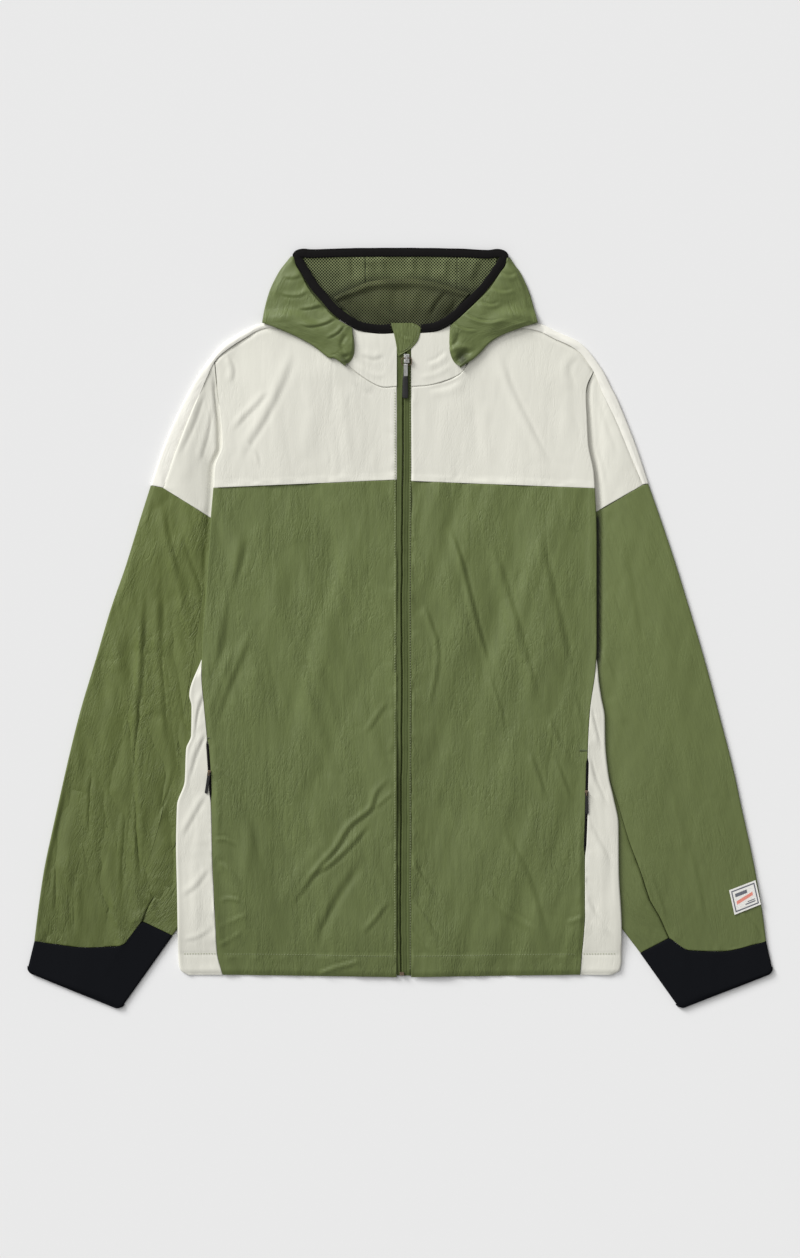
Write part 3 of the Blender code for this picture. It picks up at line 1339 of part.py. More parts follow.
def make_grip(place, tilt):
    """The moulded grip: rounded slices along its length, a little wider at its foot."""
    width, length, thick = GRIP_SIZE
    start = -LINK_SIZE[1] - SEAM
    shares = np.array([0.0, 0.04, 0.15, 0.5, 0.85, 0.96, 1.0])
    swell = np.array([0.62, 0.80, 0.90, 0.92, 1.0, 0.90, 0.70])
    angles = np.linspace(0.0, 2.0 * math.pi, 12, endpoint=False)
    power = 0.55
    u = np.sign(np.cos(angles)) * np.abs(np.cos(angles)) ** power
    v = np.sign(np.sin(angles)) * np.abs(np.sin(angles)) ** power
    x = LINK_CENTRE - RING_CENTRE - 0.4 + swell[:, None] * u[None] * width / 2.0
    y = np.broadcast_to((start - shares * length)[:, None], x.shape)
    z = (swell[:, None] ** 0.5) * v[None] * thick / 2.0
    grid = np.stack([x, y, z], axis=-1)
    count, size = grid.shape[:2]
    faces = cells(count, size, None, True).tolist()
    faces += [list(range(size)), list(range((count - 1) * size, count * size))]
    return turned(add_mesh("zip_pull_grip", grid.reshape(-1, 3), faces, GRIP), place, tilt)


def make_main_zip():
    """The front zip: tapes, bottom stop, flap, slider and the pull that hangs from it."""
    make_zip_tape("right", -1.0)
    make_zip_tape("left", 1.0)
    make_garage()
    stop_z = float(tape_top(2.0, -376.0)) + SEAM
    block("zip_stop", (-0.4, -380.6, stop_z), (4.4, -377.0, stop_z + 1.4), BRONZE)
    seat = float(tape_top(RING_CENTRE, 302.0)) + SEAM
    axis = np.array([RING_CENTRE, RING_AXIS_Y, seat + MAIN_PULL.height + bar_height(MAIN_PULL)])
    make_slider("zip_slider", axis, MAIN_PULL, 4.6, SILVER)
    tilt = math.asin(PULL_DROP / RING_SIZE[1])
    make_ring(axis, tilt)
    bar = axis + np.array([0.0, -RING_SIZE[1] * math.cos(tilt), -PULL_DROP])
    foot_y = bar[1] - LINK_SIZE[1] - GRIP_SIZE[1]
    foot_z = float(tape_top(LINK_CENTRE, foot_y)) + CLEAR + GRIP_SIZE[2] / 2.0
    lean = math.atan2(bar[2] - foot_z, bar[1] - foot_y)
    make_link(bar, lean)
    make_grip(bar, lean)
    return axis, bar


# --- Pockets and label ----------------------------------------------------------------------------


class Pocket(NamedTuple):
    """Where a pocket's slider stands on its seam."""

    x: float
    y: float
    heading: float  # degrees that the pull turns outwards


POCKET_AT = {"right": Pocket(-209.6, -158.0, -8.0), "left": Pocket(204.6, -180.0, 1.5)}
POCKET_COIL = 1.0  # thickness
POCKET_SUNK = 0.4  # how far it lies under the lips
POCKET_INSET = 6.0  # from each end of the mouth
PLATE = (3.4, 23.0, 0.8)  # the pull: across, along and thick
EYE = (1.9, 2.4)  # the opening in its top: across and along


def make_pocket_zip(word, side):
    """The black zip in a pocket's mouth, between the front and the side panel."""
    top, foot = POCKET_TOP - POCKET_INSET, POCKET_BOTTOM + POCKET_INSET
    levels = body_rows()
    levels = levels[(levels < top) & (levels > foot)]
    levels = np.concatenate([[top], levels, [foot]])
    middle = side * read(BODY, "front_" + word, levels)
    half = POCKET_MOUTH - HALF_SEAM
    first = np.stack([middle - half, levels], axis=-1)
    last = np.stack([middle + half, levels], axis=-1)
    plan = lines(first, last, (0.0, 1.0))
    top = front_top(plan[..., 0], plan[..., 1]) - POCKET_SUNK
    return panel("pocket_zip_" + word, plan, top, BLACK_TRIM, POCKET_COIL)


def make_pocket_pull(word, place, tilt, heading):
    """A flat pull with an eye at its top that goes round the slider's bridge."""
    width, length, thick = PLATE
    eye_across, eye_along = EYE
    bar = POCKET_PULL.bar
    xs = np.array([-width / 2.0, -eye_across / 2.0, eye_across / 2.0, width / 2.0])
    ys = np.array([bar, -bar, -bar - eye_along, -bar - eye_along - 1.2, 2.0 - length, bar - length])
    narrow = np.array([1.0, 1.0, 1.0, 0.86, 1.0, 0.8])
    x = xs[None] * narrow[:, None]
    plan = np.stack([x, np.broadcast_to(ys[:, None], x.shape)], axis=-1)
    keep = np.ones((len(ys) - 1, len(xs) - 1), bool)
    keep[1, 1] = False
    over = raised(plan, thick / 2.0)
    piece = wall("pocket_pull_" + word, over, over - (0.0, 0.0, thick), GRIP, keep)
    return turned(piece, place, tilt, heading)


def make_pocket(word, side):
    """One pocket: its zip, the slider and the pull."""
    make_pocket_zip(word, side)
    spot = POCKET_AT[word]
    seat = float(front_top(spot.x, spot.y)) + SEAM
    axis = np.array([spot.x, spot.y, seat + POCKET_PULL.height + bar_height(POCKET_PULL)])
    slider = make_slider("pocket_slider_" + word, (0.0, 0.0, 0.0), POCKET_PULL, 3.0, BRONZE)
    heading = math.radians(spot.heading)
    for piece in (slider, bpy.data.objects["pocket_slider_" + word + "_bridge_guide"]):
        turned(piece, axis, 0.0, heading)
    foot_y = spot.y - PLATE[1]
    foot_z = float(front_top(spot.x, foot_y)) + CLEAR + PLATE[2] / 2.0
    drop = axis[2] - foot_z - 0.4
    make_pocket_pull(word, axis, math.asin(drop / PLATE[1]), heading)
    return axis


def make_label():
    """The woven label near the left cuff."""
    a, b, c, d = (np.array(p) for p in LABEL_CORNERS)
    plan = lines(np.array([a, d]), np.array([b, c]), np.linspace(0.0, 1.0, 4))
    return panel("sleeve_label", plan, lambda x, y: sleeve_top(x, y) + SEAM + CLOTH, LABEL)


# --- The whole garment ----------------------------------------------------------------------------


def build():
    """Make every piece and return the axes that the pulls turn on, in millimetres."""
    clear_scene()
    make_back()
    make_back_yoke()
    for word, side in SIDES:
        make_front(word, side)
        make_front_yoke(word, side)
        make_side_panel(word, side)
        make_shoulder_strip(word, side)
        make_sleeve_yoke(word, side)
        make_sleeve_back_yoke(word, side)
        make_sleeve(word, side)
        make_under_sleeve(word, side)
        make_cuff(word, side)
        make_collar(word, side)
        make_hood_side(word, side)
    make_hood_centre()
    make_linings()
    make_neck_lining()
    make_binding()
    make_label()
    axes = dict(zip(("ring", "link"), make_main_zip()))
    for word, side in SIDES:
        axes["pocket_" + word] = make_pocket(word, side)
    return axes


if __name__ == "__main__":
    for name, axis in build().items():
        print(name, [round(float(v), 3) for v in axis])
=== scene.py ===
"""The looks of a hooded windbreaker, laid flat with its front up.

Lengths in the tables and functions are millimetres and become metres when a mesh is written. X runs
from the wearer's right sleeve to the left one, Y from the hem to the hood, and Z up from the surface
that the garment lies on. Every piece of cloth is a thin shell over a grid of points, on the form of
its solid, with its creases placed from the tables of its own class.
"""

import logging
import math
from dataclasses import dataclass
from enum import Enum
from typing import Callable, NamedTuple, Optional, Sequence

import bpy
import numpy as np
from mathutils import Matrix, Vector


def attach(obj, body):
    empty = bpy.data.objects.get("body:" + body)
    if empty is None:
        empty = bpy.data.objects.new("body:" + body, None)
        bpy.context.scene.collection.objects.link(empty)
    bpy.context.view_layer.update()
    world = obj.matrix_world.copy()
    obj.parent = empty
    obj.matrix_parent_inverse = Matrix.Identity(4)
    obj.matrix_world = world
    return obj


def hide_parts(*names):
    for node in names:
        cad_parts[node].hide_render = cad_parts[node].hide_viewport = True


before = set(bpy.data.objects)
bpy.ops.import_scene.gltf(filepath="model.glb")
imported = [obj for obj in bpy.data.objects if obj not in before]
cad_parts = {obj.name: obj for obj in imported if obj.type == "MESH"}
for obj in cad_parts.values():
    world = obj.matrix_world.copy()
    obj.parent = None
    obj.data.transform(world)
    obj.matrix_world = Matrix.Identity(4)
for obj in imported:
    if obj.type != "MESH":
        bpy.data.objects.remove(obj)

Array = np.ndarray
Point = tuple[float, float]
Nodes = bpy.types.NodeTree
Socket = bpy.types.NodeSocket

log = logging.getLogger("windbreaker")

METRE = 0.001
CLOTH = 0.45  # thickness of the nylon
CELL = 2.3  # spacing of the grids that show from above
SEAM = 0.3  # between the edges of two pieces
HALF_SEAM = 0.15
CLEAR = 0.4  # between one layer and the next
FOLD_HEIGHT = 3.8  # of the cloth at an outer fold
FOLD_COLUMNS = 9  # of a grid, round a fold
ROLL = 2.7  # height of the folds along the body's sides
RAMP = 14.0  # the width over which the back climbs onto the sleeves
RAMP_MARGIN = 8.0  # from the end of that climb to the sleeve's inner fold
HEM_Y = -380.0
HEM_SAG = 2.6  # how much lower the hem lies at the zip
HEM_STITCH_Y = -357.0
BACK_YOKE_Y = 157.0  # the seam below the back yoke
BACK_YOKE_HALF = 170.0  # half of that seam's width
SHOULDER_START = 77.7  # from the centre line to the shoulder strips
NECK_HALF = 40.0  # half of the back neck's width
NARROWEST_CUT = 0.010  # in metres; a zip tape shows a little less than this


# --- The garment's own measurements -------------------------------------------------------------


def table_of(kind: type, *values: tuple) -> tuple:
    """A table: each tuple of values becomes a row with that kind's named columns."""
    return tuple(kind(*row) for row in values)


class BodyRow(NamedTuple):
    """One level of the body: half widths from the centre line, on the wearer's right and left."""

    y: float
    front_right: float  # side edge of the front
    front_left: float
    fold_right: float  # outer fold of the side panel
    fold_left: float
    back_right: float  # seam between back and side panel, or the back armhole above the armpit
    back_left: float


BODY = table_of(
    BodyRow,
    (120, 208, 215.6, 0, 0, 167.5, 167.5), (88, 210, 216, 0, 0, 164.7, 164.7),
    (76, 211, 216, 180, 180, 164.7, 164.7), (29, 214, 216, 200, 200, 168, 168),
    (-20, 217.5, 216, 211, 209, 173, 173), (-50, 218, 214, 223, 219, 178, 178),
    (-85, 215, 209, 229.5, 223.5, 184, 184), (-117, 212, 206.8, 229.5, 225.5, 189, 188),
    (-160, 209, 205.5, 236.5, 229, 194, 192), (-205, 207, 204.5, 245, 238, 199, 195),
    (-255, 206, 203, 246, 240.5, 202, 198), (-285, 204.5, 203, 245, 241.5, 202.5, 199),
    (-300, 204, 203, 245, 242, 203, 199.5), (-317, 203, 203, 244.5, 243, 203, 200),
    (-333, 202.2, 202, 244, 243.5, 202.5, 200), (-355, 201, 200, 243.5, 243.5, 202, 200),
    (HEM_Y, 195, 198, 239, 239, 200, 198),
)
SIDE_PANEL_TOP = 76.0
FLUSH_BELOW = -49.0  # from here down the front meets the side panel edge to edge
POCKET_TOP = -120.0
POCKET_BOTTOM = -255.0
POCKET_MOUTH = 1.3  # how far each lip of a pocket stands back from the seam


class TuckRow(NamedTuple):
    """Where the sleeve's hidden inner fold lies under the body, as a distance from the centre."""

    y: float
    right: float
    left: float


TUCK = table_of(
    TuckRow,
    (88, 165, 165), (-23, 165, 166), (-149, 176, 178), (-243, 196, 199), (-298, 222, 223),
    (-330, 244.5, 245), (HEM_Y, 275, 284),
)


class SleeveRow(NamedTuple):
    """One station down a sleeve: its outer fold, its inner fold and where the top seam lies."""

    outer_x: float
    outer_y: float
    inner_x: float
    inner_y: float
    top_seam: float  # share of the way from the outer fold to the inner one


SLEEVE_RIGHT = table_of(
    SleeveRow,
    (274, 158, 165, 88, 0.88), (286, 120, 165, 40, 0.87), (302, 68, 166, -10, 0.86),
    (318, 22, 168, -60, 0.84), (334, -32, 172, -110, 0.82), (350, -85, 178, -160, 0.79),
    (362, -132, 187, -205, 0.76), (373, -180, 197, -246, 0.735), (383, -225, 208, -272, 0.72),
    (391, -263, 222, -298, 0.728), (397, -303, 237, -320, 0.744), (402, -343, 250, -337, 0.78),
)
SLEEVE_LEFT = table_of(
    SleeveRow,
    (273, 160, 165, 88, 0.88), (287, 120, 165, 40, 0.86), (303, 72, 166, -10, 0.84),
    (319, 20, 168, -60, 0.81), (335, -34, 172, -110, 0.77), (350, -90, 178, -160, 0.74),
    (366, -152, 188, -205, 0.715), (376, -198, 200, -246, 0.708), (386, -243, 212, -276, 0.70),
    (394, -285, 226, -303, 0.71), (399, -315, 243, -328, 0.724), (402.6, -343, 264, -356, 0.77),
)
BACK_SEAM = 0.609  # the share of a sleeve's width at which its two pieces meet behind


class SeamPoint(NamedTuple):
    """A point of a seam across a sleeve."""

    x: float
    y: float


YOKE_SEAM_RIGHT = table_of(SeamPoint, (274, 158), (259.5, 155), (207.6, 122), (165, 88))
YOKE_SEAM_LEFT = table_of(SeamPoint, (273, 160), (266.5, 158.6), (207.2, 124), (165, 88))
CUFF_SEAM_RIGHT = table_of(
    SeamPoint,
    (402, -343), (381.8, -346), (345.5, -350), (309.4, -348.5), (283.5, -321), (250, -337),
)
CUFF_SEAM_LEFT = table_of(
    SeamPoint,
    (402.6, -343), (394.3, -345.5), (351.3, -354.5), (318.2, -353.2), (296, -339.5), (264, -356),
)


class CuffEnd(NamedTuple):
    """The open end of a cuff."""

    outer_x: float
    outer_y: float
    inner_x: float
    inner_y: float


CUFF_END_RIGHT = CuffEnd(410.2, -377.0, 308.0, -418.8)
CUFF_END_LEFT = CuffEnd(410.2, -378.0, 308.0, -418.2)


class ShoulderRow(NamedTuple):
    """One station along the shoulder strip, from the neck to the sleeve's green."""

    outer_x: float  # on the outer fold
    outer_y: float
    front_x: float  # seam with the front yokes
    front_y: float
    back_x: float  # seam with the back yokes
    back_y: float


SHOULDER_RIGHT = table_of(
    ShoulderRow,
    (79, 339.5, 79, 334.5, 79, 324), (112, 338.5, 111, 333.3, 112, 322.7),
    (151, 336, 148.5, 330.5, 147, 320.2), (171, 328, 168, 321.3, 164, 313.3),
    (194, 314, 189, 307.8, 184.5, 300.8), (209, 297, 203.5, 294, 194, 288.5),
    (224, 275, 214.5, 271.5, 209.5, 268), (244, 237, 231.5, 231.5, 229, 231),
    (261, 197, 247, 192, 246, 191.5), (274, 158, 260, 155.1, 259.5, 155),
)
SHOULDER_LEFT = table_of(
    ShoulderRow,
    (79, 339.5, 79, 334.5, 79, 324), (112, 338.5, 111, 333.3, 112, 322.7),
    (151, 336, 148.5, 328.5, 147, 320.2), (171, 327.5, 168, 320, 164, 313.3),
    (200, 313, 195, 306, 190, 299.5), (221, 287, 212.5, 283, 206, 278),
    (232, 266, 221.5, 261.5, 216.5, 259), (240.5, 249, 229.8, 244.5, 225.5, 242.5),
    (258, 205, 248.5, 201.8, 243.5, 199.5), (273, 160, 266.5, 158.7, 266.5, 158.7),
)
ARMHOLE_AT = 5  # the shoulder row at which the armhole seams meet the strip


class YokeColumn(NamedTuple):
    """A line up a front yoke, from the seam below it to the strip or the neck."""

    seam_x: float
    top_x: float
    top_y: float


ZIP_RIGHT = -3.3
ZIP_LEFT = 12.0
YOKE_NECK_RIGHT = table_of(
    YokeColumn,
    (82, 80, 334), (64, 72, 311), (44, 52, 285), (24, 24, 267), (3.6, 3.6, 266),
)
YOKE_NECK_LEFT = table_of(
    YokeColumn,
    (90, 84, 334), (72, 80, 305), (52, 66, 280), (32, 37, 268.7), (12.3, 12.3, 266),
)
YOKE_SIDE_RIGHT = table_of(
    SeamPoint,
    (205, 155), (203.3, 180), (196, 199), (196, 217), (199, 252), (203.2, 293.6),
)
YOKE_SIDE_LEFT = table_of(
    SeamPoint,
    (214, 155), (212.5, 175), (207.5, 199), (206, 221), (204.5, 262), (212.2, 282.6),
)
ARMHOLE_FREE_BELOW = 222.0  # under this level the front's edge is a free rolled fold
SLEEVE_HIDDEN_RIGHT = table_of(
    SeamPoint,
    (168.5, 92), (176, 130), (184, 175), (190, 210), (199.9, 252), (204.1, 293),
)
SLEEVE_HIDDEN_LEFT = table_of(
    SeamPoint,
    (168.5, 92), (176, 130), (185, 175), (193, 210), (205.3, 262), (213, 282),
)


class HoodRow(NamedTuple):
    """One station round a hood side: its outer fold and its edge at the binding."""

    outer_x: float
    outer_y: float
    edge_x: float
    edge_y: float
    edge_z: float
    floor_y: float  # where its floor layer meets the centre panel


HOOD_RIGHT = table_of(
    HoodRow,
    (119.8, 409.8, 116.6, 408.6, 4.4, 414), (127, 401, 114.5, 399.8, 5, 404),
    (133.5, 392, 109.5, 391, 5.8, 391), (142.5, 374, 99.3, 372, 7.4, 373),
    (148.5, 354, 84.5, 354.5, 9.2, 356), (151.5, 336.5, 73.4, 343, 10.6, 341.5),
    (131, 328.5, 66, 338, 11.2, 0), (113, 320.5, 60.5, 334.8, 11.4, 0), (95, 310.5, 57, 332.8, 11.6, 0),
    (79, 298, 54.5, 331.5, 11.6, 0), (71.5, 296.6, 53.6, 330.9, 11.6, 0),
    (60, 288.5, 52.5, 330.4, 11.6, 0),
)
HOOD_LEFT = table_of(
    HoodRow,
    (120.6, 408.6, 117.4, 407.6, 4.4, 413), (127, 399, 115.6, 399, 5, 402),
    (132.5, 391.5, 110, 391, 5.8, 391), (141.5, 372, 97.6, 372.5, 7.4, 373),
    (147.5, 352, 82.1, 357, 9.2, 356), (151.5, 336.5, 73.6, 348.9, 10.6, 341.5),
    (134, 331, 67, 342.8, 11.2, 0), (114, 323.5, 62, 338.5, 11.4, 0), (99, 314.5, 59, 336, 11.6, 0),
    (84, 299, 57, 334.2, 11.6, 0), (66, 286.5, 55, 332.8, 11.6, 0),
)
HOOD_FLOOR_ROWS = 6  # rows that also lie on the floor; the others only roll under at the fold
HOOD_SEAM_RIGHT = -38.0
HOOD_SEAM_LEFT = 63.0
HOOD_TOP_Y = 415.0
SHOULDER_Y = 339.5
HOOD_CLIMB = (353.0, 340.0)  # Y over which the hood climbs onto the shoulder


class BindingPoint(NamedTuple):
    """A point on the middle line of the hood's binding."""

    x: float
    y: float
    z: float


BINDING = table_of(
    BindingPoint,
    (-10.4, 329.9, 8.4), (-23, 329.2, 8.5), (-42, 331.9, 9.4), (-55, 338.2, 10.6), (-71.5, 350.5, 9.6),
    (-83.5, 364, 8), (-94, 376.5, 6.9), (-104.5, 393.5, 5.4), (-112.2, 406.5, 4.4), (-107.5, 411.9, 4.2),
    (-96, 412.5, 4.1), (-64, 413.5, 4.1), (-30, 413.9, 4.1), (3, 414, 4.1), (37, 413.8, 4.1),
    (71, 413, 4.1), (96, 411.8, 4.1), (108.3, 410.8, 4.2), (113.6, 405.5, 4.4), (105.5, 393.5, 5.4),
    (91, 374, 6.9), (73.5, 356.5, 9), (57, 341.5, 10.6), (40.5, 332.3, 9.4), (23.6, 329.4, 8.5),
)
BINDING_WIDTH = 9.6
BINDING_THICK = 2.4


class LiningRow(NamedTuple):
    """One level of the hood lining: half widths to the right and the left."""

    y: float
    right: float
    left: float


LINING = table_of(
    LiningRow,
    (335, 40, 64.5), (345, 41, 65), (356, 76, 76), (372, 94, 91), (391, 106, 106), (410, 106, 106),
)
LINING_LEVEL = 2.5  # of the mesh, over the underside of the hood's back


class RidgePoint(NamedTuple):
    """A point along the rolled top of the neck lining, and where its wall ends behind the zip."""

    x: float
    y: float
    high: float
    end_x: float
    end_y: float


RIDGE = table_of(
    RidgePoint,
    (-73, 364, 5.6, -44, 334), (-64, 369.5, 6.2, -41, 328), (-46, 377, 6.9, -33, 323),
    (-28, 381.5, 6.9, -21, 322), (-1, 384, 6.9, 0, 322), (26, 383, 6.9, 18, 322), (46, 379, 6.9, 32, 323),
    (64, 373.5, 6.2, 42, 328), (77, 369.5, 5.6, 45, 334),
)


class ZipRow(NamedTuple):
    """A level of the front zip and where its two tapes meet."""

    y: float
    slit: float


ZIP = table_of(
    ZipRow,
    (-381, 1.8), (-330, 1.2), (-270, 0.8), (-200, 1.6), (-130, 1.5), (-60, 2), (10, 1.9), (80, 2.6),
    (150, 2.9), (210, 3.2), (240, 3.4), (265, 4), (280, 5.2), (292, 6.6), (318, 6.6),
)
TAPE_DROP = 0.3  # the tapes lie this far under the fronts

COLLAR_RIGHT = (
    # seam at the neck, then the edge at the binding
    (SeamPoint(3.6, 266.4), SeamPoint(10.4, 324.6)),
    (SeamPoint(24.0, 267.4), SeamPoint(23.0, 323.9)),
    (SeamPoint(52.0, 285.4), SeamPoint(44.6, 326.9)),
    (SeamPoint(66.0, 303.0), SeamPoint(54.0, 331.4)),
)
COLLAR_LEFT = (
    (SeamPoint(12.3, 266.4), SeamPoint(23.6, 324.1)),
    (SeamPoint(37.0, 269.1), SeamPoint(32.0, 325.3)),
    (SeamPoint(66.0, 280.4), SeamPoint(43.6, 327.5)),
    (SeamPoint(75.0, 297.0), SeamPoint(56.0, 333.6)),
)

GARAGE = (
    # left and right edge of the flap at each level
    (299.8, -2.4, -1.0),
    (304.0, -3.1, 6.2),
    (308.5, -3.6, 12.8),
    (316.5, -5.0, 19.5),
    (326.0, -7.2, 22.2),
    (331.5, -8.8, 21.6),
    (335.8, -9.6, 14.0),
)
GARAGE_LEVEL = 327.0  # from here up the flap no longer climbs
LABEL_CORNERS = ((361.5, -287.0), (390.5, -276.0), (396.5, -302.5), (367.5, -314.0))


# --- Heights ------------------------------------------------------------------------------------


def ease(t: Array) -> Array:
    """Smooth step from 0 to 1 while t goes from 0 to 1."""
    t = np.clip(t, 0.0, 1.0)
    return t * t * (3.0 - 2.0 * t)


def listed(table: Sequence, name: str) -> Array:
    """One named column of a table, as an array."""
    return np.array([getattr(row, name) for row in table], float)


def read(table: Sequence, name: str, y: Array) -> Array:
    """A table's column at any level, on a smooth curve through its rows."""
    levels = listed(table, "y")
    order = np.argsort(levels)
    return curve(y, levels[order], listed(table, name)[order])


def by_side(x: Array, y: Array, table: Sequence, right: str, left: str) -> Array:
    """The value of the column for the side of the garment that x is on."""
    return np.where(x < 0.0, read(table, right, y), read(table, left, y))


def tuck_rise(x: Array, y: Array) -> Array:
    """Height of the body's underside: nothing, or one flattened sleeve where it lies on one."""
    edge = by_side(x, y, TUCK, "right", "left") - RAMP_MARGIN
    up = ease((np.abs(x) - edge + RAMP) / RAMP)
    return (FOLD_HEIGHT + SEAM) * up * ease((130.0 - y) / 42.0)


def shoulder_distance(x: Array, y: Array) -> Array:
    """How far inside the shoulder line a point is."""
    found = np.full(np.shape(x), 1e9)
    for table, side in ((SHOULDER_RIGHT, -1.0), (SHOULDER_LEFT, 1.0)):
        line = columns_of(table, "front_x", "front_y") * (side, 1.0)
        for start, end in zip(line[:-1], line[1:]):
            run = end - start
            share = np.clip(((x - start[0]) * run[0] + (y - start[1]) * run[1]) / (run @ run), 0, 1)
            gap = np.hypot(x - start[0] - share * run[0], y - start[1] - share * run[1])
            found = np.minimum(found, gap)
    return found


def front_top(x: Array, y: Array) -> Array:
    """Top of the body's front: thin at the hem and the shoulders, high over tucked sleeves."""
    x, y = np.broadcast_arrays(np.asarray(x, float), np.asarray(y, float))
    middle = ease((y - HEM_Y) / 50.0) * ease(shoulder_distance(x, y) / 60.0)
    beside = ease((np.abs(x) - 70.0) / 95.0) * ease((y + 372.0) / 72.0) * ease((294.0 - y) / 140.0)
    neck = ease((y - 262.0) / 65.0) * (1.0 - ease((np.abs(x) - 60.0) / 30.0))
    return FOLD_HEIGHT + 2.0 * middle + 2.3 * beside + 3.2 * neck


def outer_edge(x: Array, y: Array) -> Array:
    """Distance from the centre line to a sleeve's outer fold."""
    found = []
    for table in (SLEEVE_RIGHT, SLEEVE_LEFT):
        levels, reach = listed(table, "outer_y")[::-1], listed(table, "outer_x")[::-1]
        found.append(curve(y, levels, reach))
    return np.where(x < 0.0, found[0], found[1])


def body_edge(x: Array, y: Array) -> Array:
    """Distance from the centre line to the body's outermost edge, front or side panel."""
    front = by_side(x, y, BODY, "front_right", "front_left")
    return np.maximum(front, by_side(x, y, BODY, "fold_right", "fold_left"))


def sleeve_top(x: Array, y: Array) -> Array:
    """Top of a sleeve: a soft loft between its fold and the body, and a dip under the front."""
    reach = np.abs(x)
    loft = ease((outer_edge(x, y) - reach) / 35.0) * ease((reach - body_edge(x, y)) / 30.0)
    loft = 1.2 * loft * ease((y + 350.0) / 60.0)
    dip = ease((body_edge(x, y) + 12.0 - reach) / 12.0) * ease((294.0 - y) / 32.0)
    return FOLD_HEIGHT + loft - dip * ease((y - 60.0) / 60.0)


def hood_floor(x: Array, y: Array) -> Array:
    """Underside of the hood's back: the floor, and a climb to the shoulder beside the neck."""
    start, end = HOOD_CLIMB
    over = front_top(x, np.full(np.shape(x), SHOULDER_Y)) + CLEAR
    return over * ease((start - y) / (start - end)) * ease((np.abs(x) - 66.0) / 24.0)


# --- Surfaces -------------------------------------------------------------------------------------


def curve(at: Array, stations: Array, values: Array) -> Array:
    """A smooth curve through values at rising stations, which never overshoots them.

    Each stretch is a cubic whose end slopes are the harmonic means of the slopes beside them.

    Args:
        at: where the curve is read.
        stations: rising positions of the given values.
        values: the values there.
    """
    at = np.clip(at, stations[0], stations[-1])
    gap = np.diff(stations)
    slope = np.diff(values) / gap
    product = slope[1:] * slope[:-1]
    total = np.where(product > 0.0, slope[1:] + slope[:-1], 1.0)
    middle = np.where(product > 0.0, 2.0 * product / total, 0.0)
    ends = np.concatenate([slope[:1], middle, slope[-1:]])
    i = np.clip(np.searchsorted(stations, at, side="right") - 1, 0, len(gap) - 1)
    t = (at - stations[i]) / gap[i]
    rise = values[i] * (1 + 2 * t) * (1 - t) ** 2 + values[i + 1] * t * t * (3 - 2 * t)
    lean = ends[i] * t * (1 - t) ** 2 - ends[i + 1] * t * t * (1 - t)
    return rise + lean * gap[i]


def through(points: Array, at: Array) -> Array:
    """Points of the Catmull-Rom curve through the given ones, read at fractional numbers."""
    points = np.asarray(points, float)
    ends = np.concatenate([[2 * points[0] - points[1]], points, [2 * points[-1] - points[-2]]])
    i = np.clip(np.floor(at).astype(int), 0, len(points) - 2)
    t = (at - i).reshape((-1,) + (1,) * (points.ndim - 1))
    a, b, c, d = (ends[i + k] for k in range(4))
    bend = 2 * b + (c - a) * t + (2 * a - 5 * b + 4 * c - d) * t**2
    return 0.5 * (bend + (3 * b - a - 3 * c + d) * t**3)


def lengths(points: Array) -> Array:
    """Distance run along a line of points, from its first one."""
    steps = np.linalg.norm(np.diff(points, axis=0), axis=1)
    return np.concatenate([[0.0], np.cumsum(steps)])


def run_along(points: Array, at: Array) -> Array:
    """Points of a bent line, at distances run along it."""
    along = lengths(points)
    return np.stack([np.interp(at, along, points[:, k]) for k in range(points.shape[1])], axis=-1)


def resample(points: Array, count: int) -> Array:
    """Points spread evenly along a line."""
    points = np.asarray(points, float)
    return run_along(points, np.linspace(0.0, lengths(points)[-1], count))


def smooth_at(points: Sequence[Point], shares: Array) -> Array:
    """Points at shares of the length of the Catmull-Rom curve through the given ones."""
    points = np.asarray(points, float)
    dense = through(points, np.linspace(0.0, len(points) - 1, 12 * len(points)))
    return run_along(dense, shares * lengths(dense)[-1])


def smooth_line(points: Sequence[Point], count: int) -> Array:
    """Evenly spread points on the Catmull-Rom curve through the given ones."""
    return smooth_at(points, np.linspace(0.0, 1.0, count))


def edged(length: float, cell: float, first: bool = True, last: bool = True) -> Array:
    """Shares from 0 to 1 with the given spacing, and closer ones beside a seamed end."""
    count = max(4, round(length / cell))
    inner = list(np.linspace(0.0, 1.0, count + 1))
    near = [0.5 / length, 1.2 / length]
    start = [0.0] + (near if first else [])
    end = ([1.0 - n for n in reversed(near)] if last else []) + [1.0]
    low, high = start[-1] + 0.6 / length, end[0] - 0.6 / length
    return np.array(start + [s for s in inner if low < s < high] + end)


def patch(bottom: Array, top: Array, first: Array, last: Array) -> Array:
    """A grid stretched between four edges: two of equal count across, and two of equal count up.

    It is the straight blend of bottom and top, plus that of the side edges, less that of the
    four corners.
    """
    bottom, top, first, last = (np.asarray(e, float) for e in (bottom, top, first, last))
    up = np.linspace(0.0, 1.0, len(first))[:, None, None]
    along = lengths(bottom)
    across = (along / along[-1])[None, :, None]
    straight = (1 - up) * bottom[None] + up * top[None]
    ends = (1 - across) * first[:, None] + across * last[:, None]
    corners = (1 - up) * ((1 - across) * bottom[0] + across * bottom[-1])
    corners = corners + up * ((1 - across) * top[0] + across * top[-1])
    return straight + ends - corners


def lines(starts: Array, ends: Array, shares: Array) -> Array:
    """Points along straight lines from starts to ends, one line to a row."""
    shares = np.broadcast_to(shares, (len(starts), np.shape(shares)[-1]))
    return starts[:, None] + shares[..., None] * (ends - starts)[:, None]


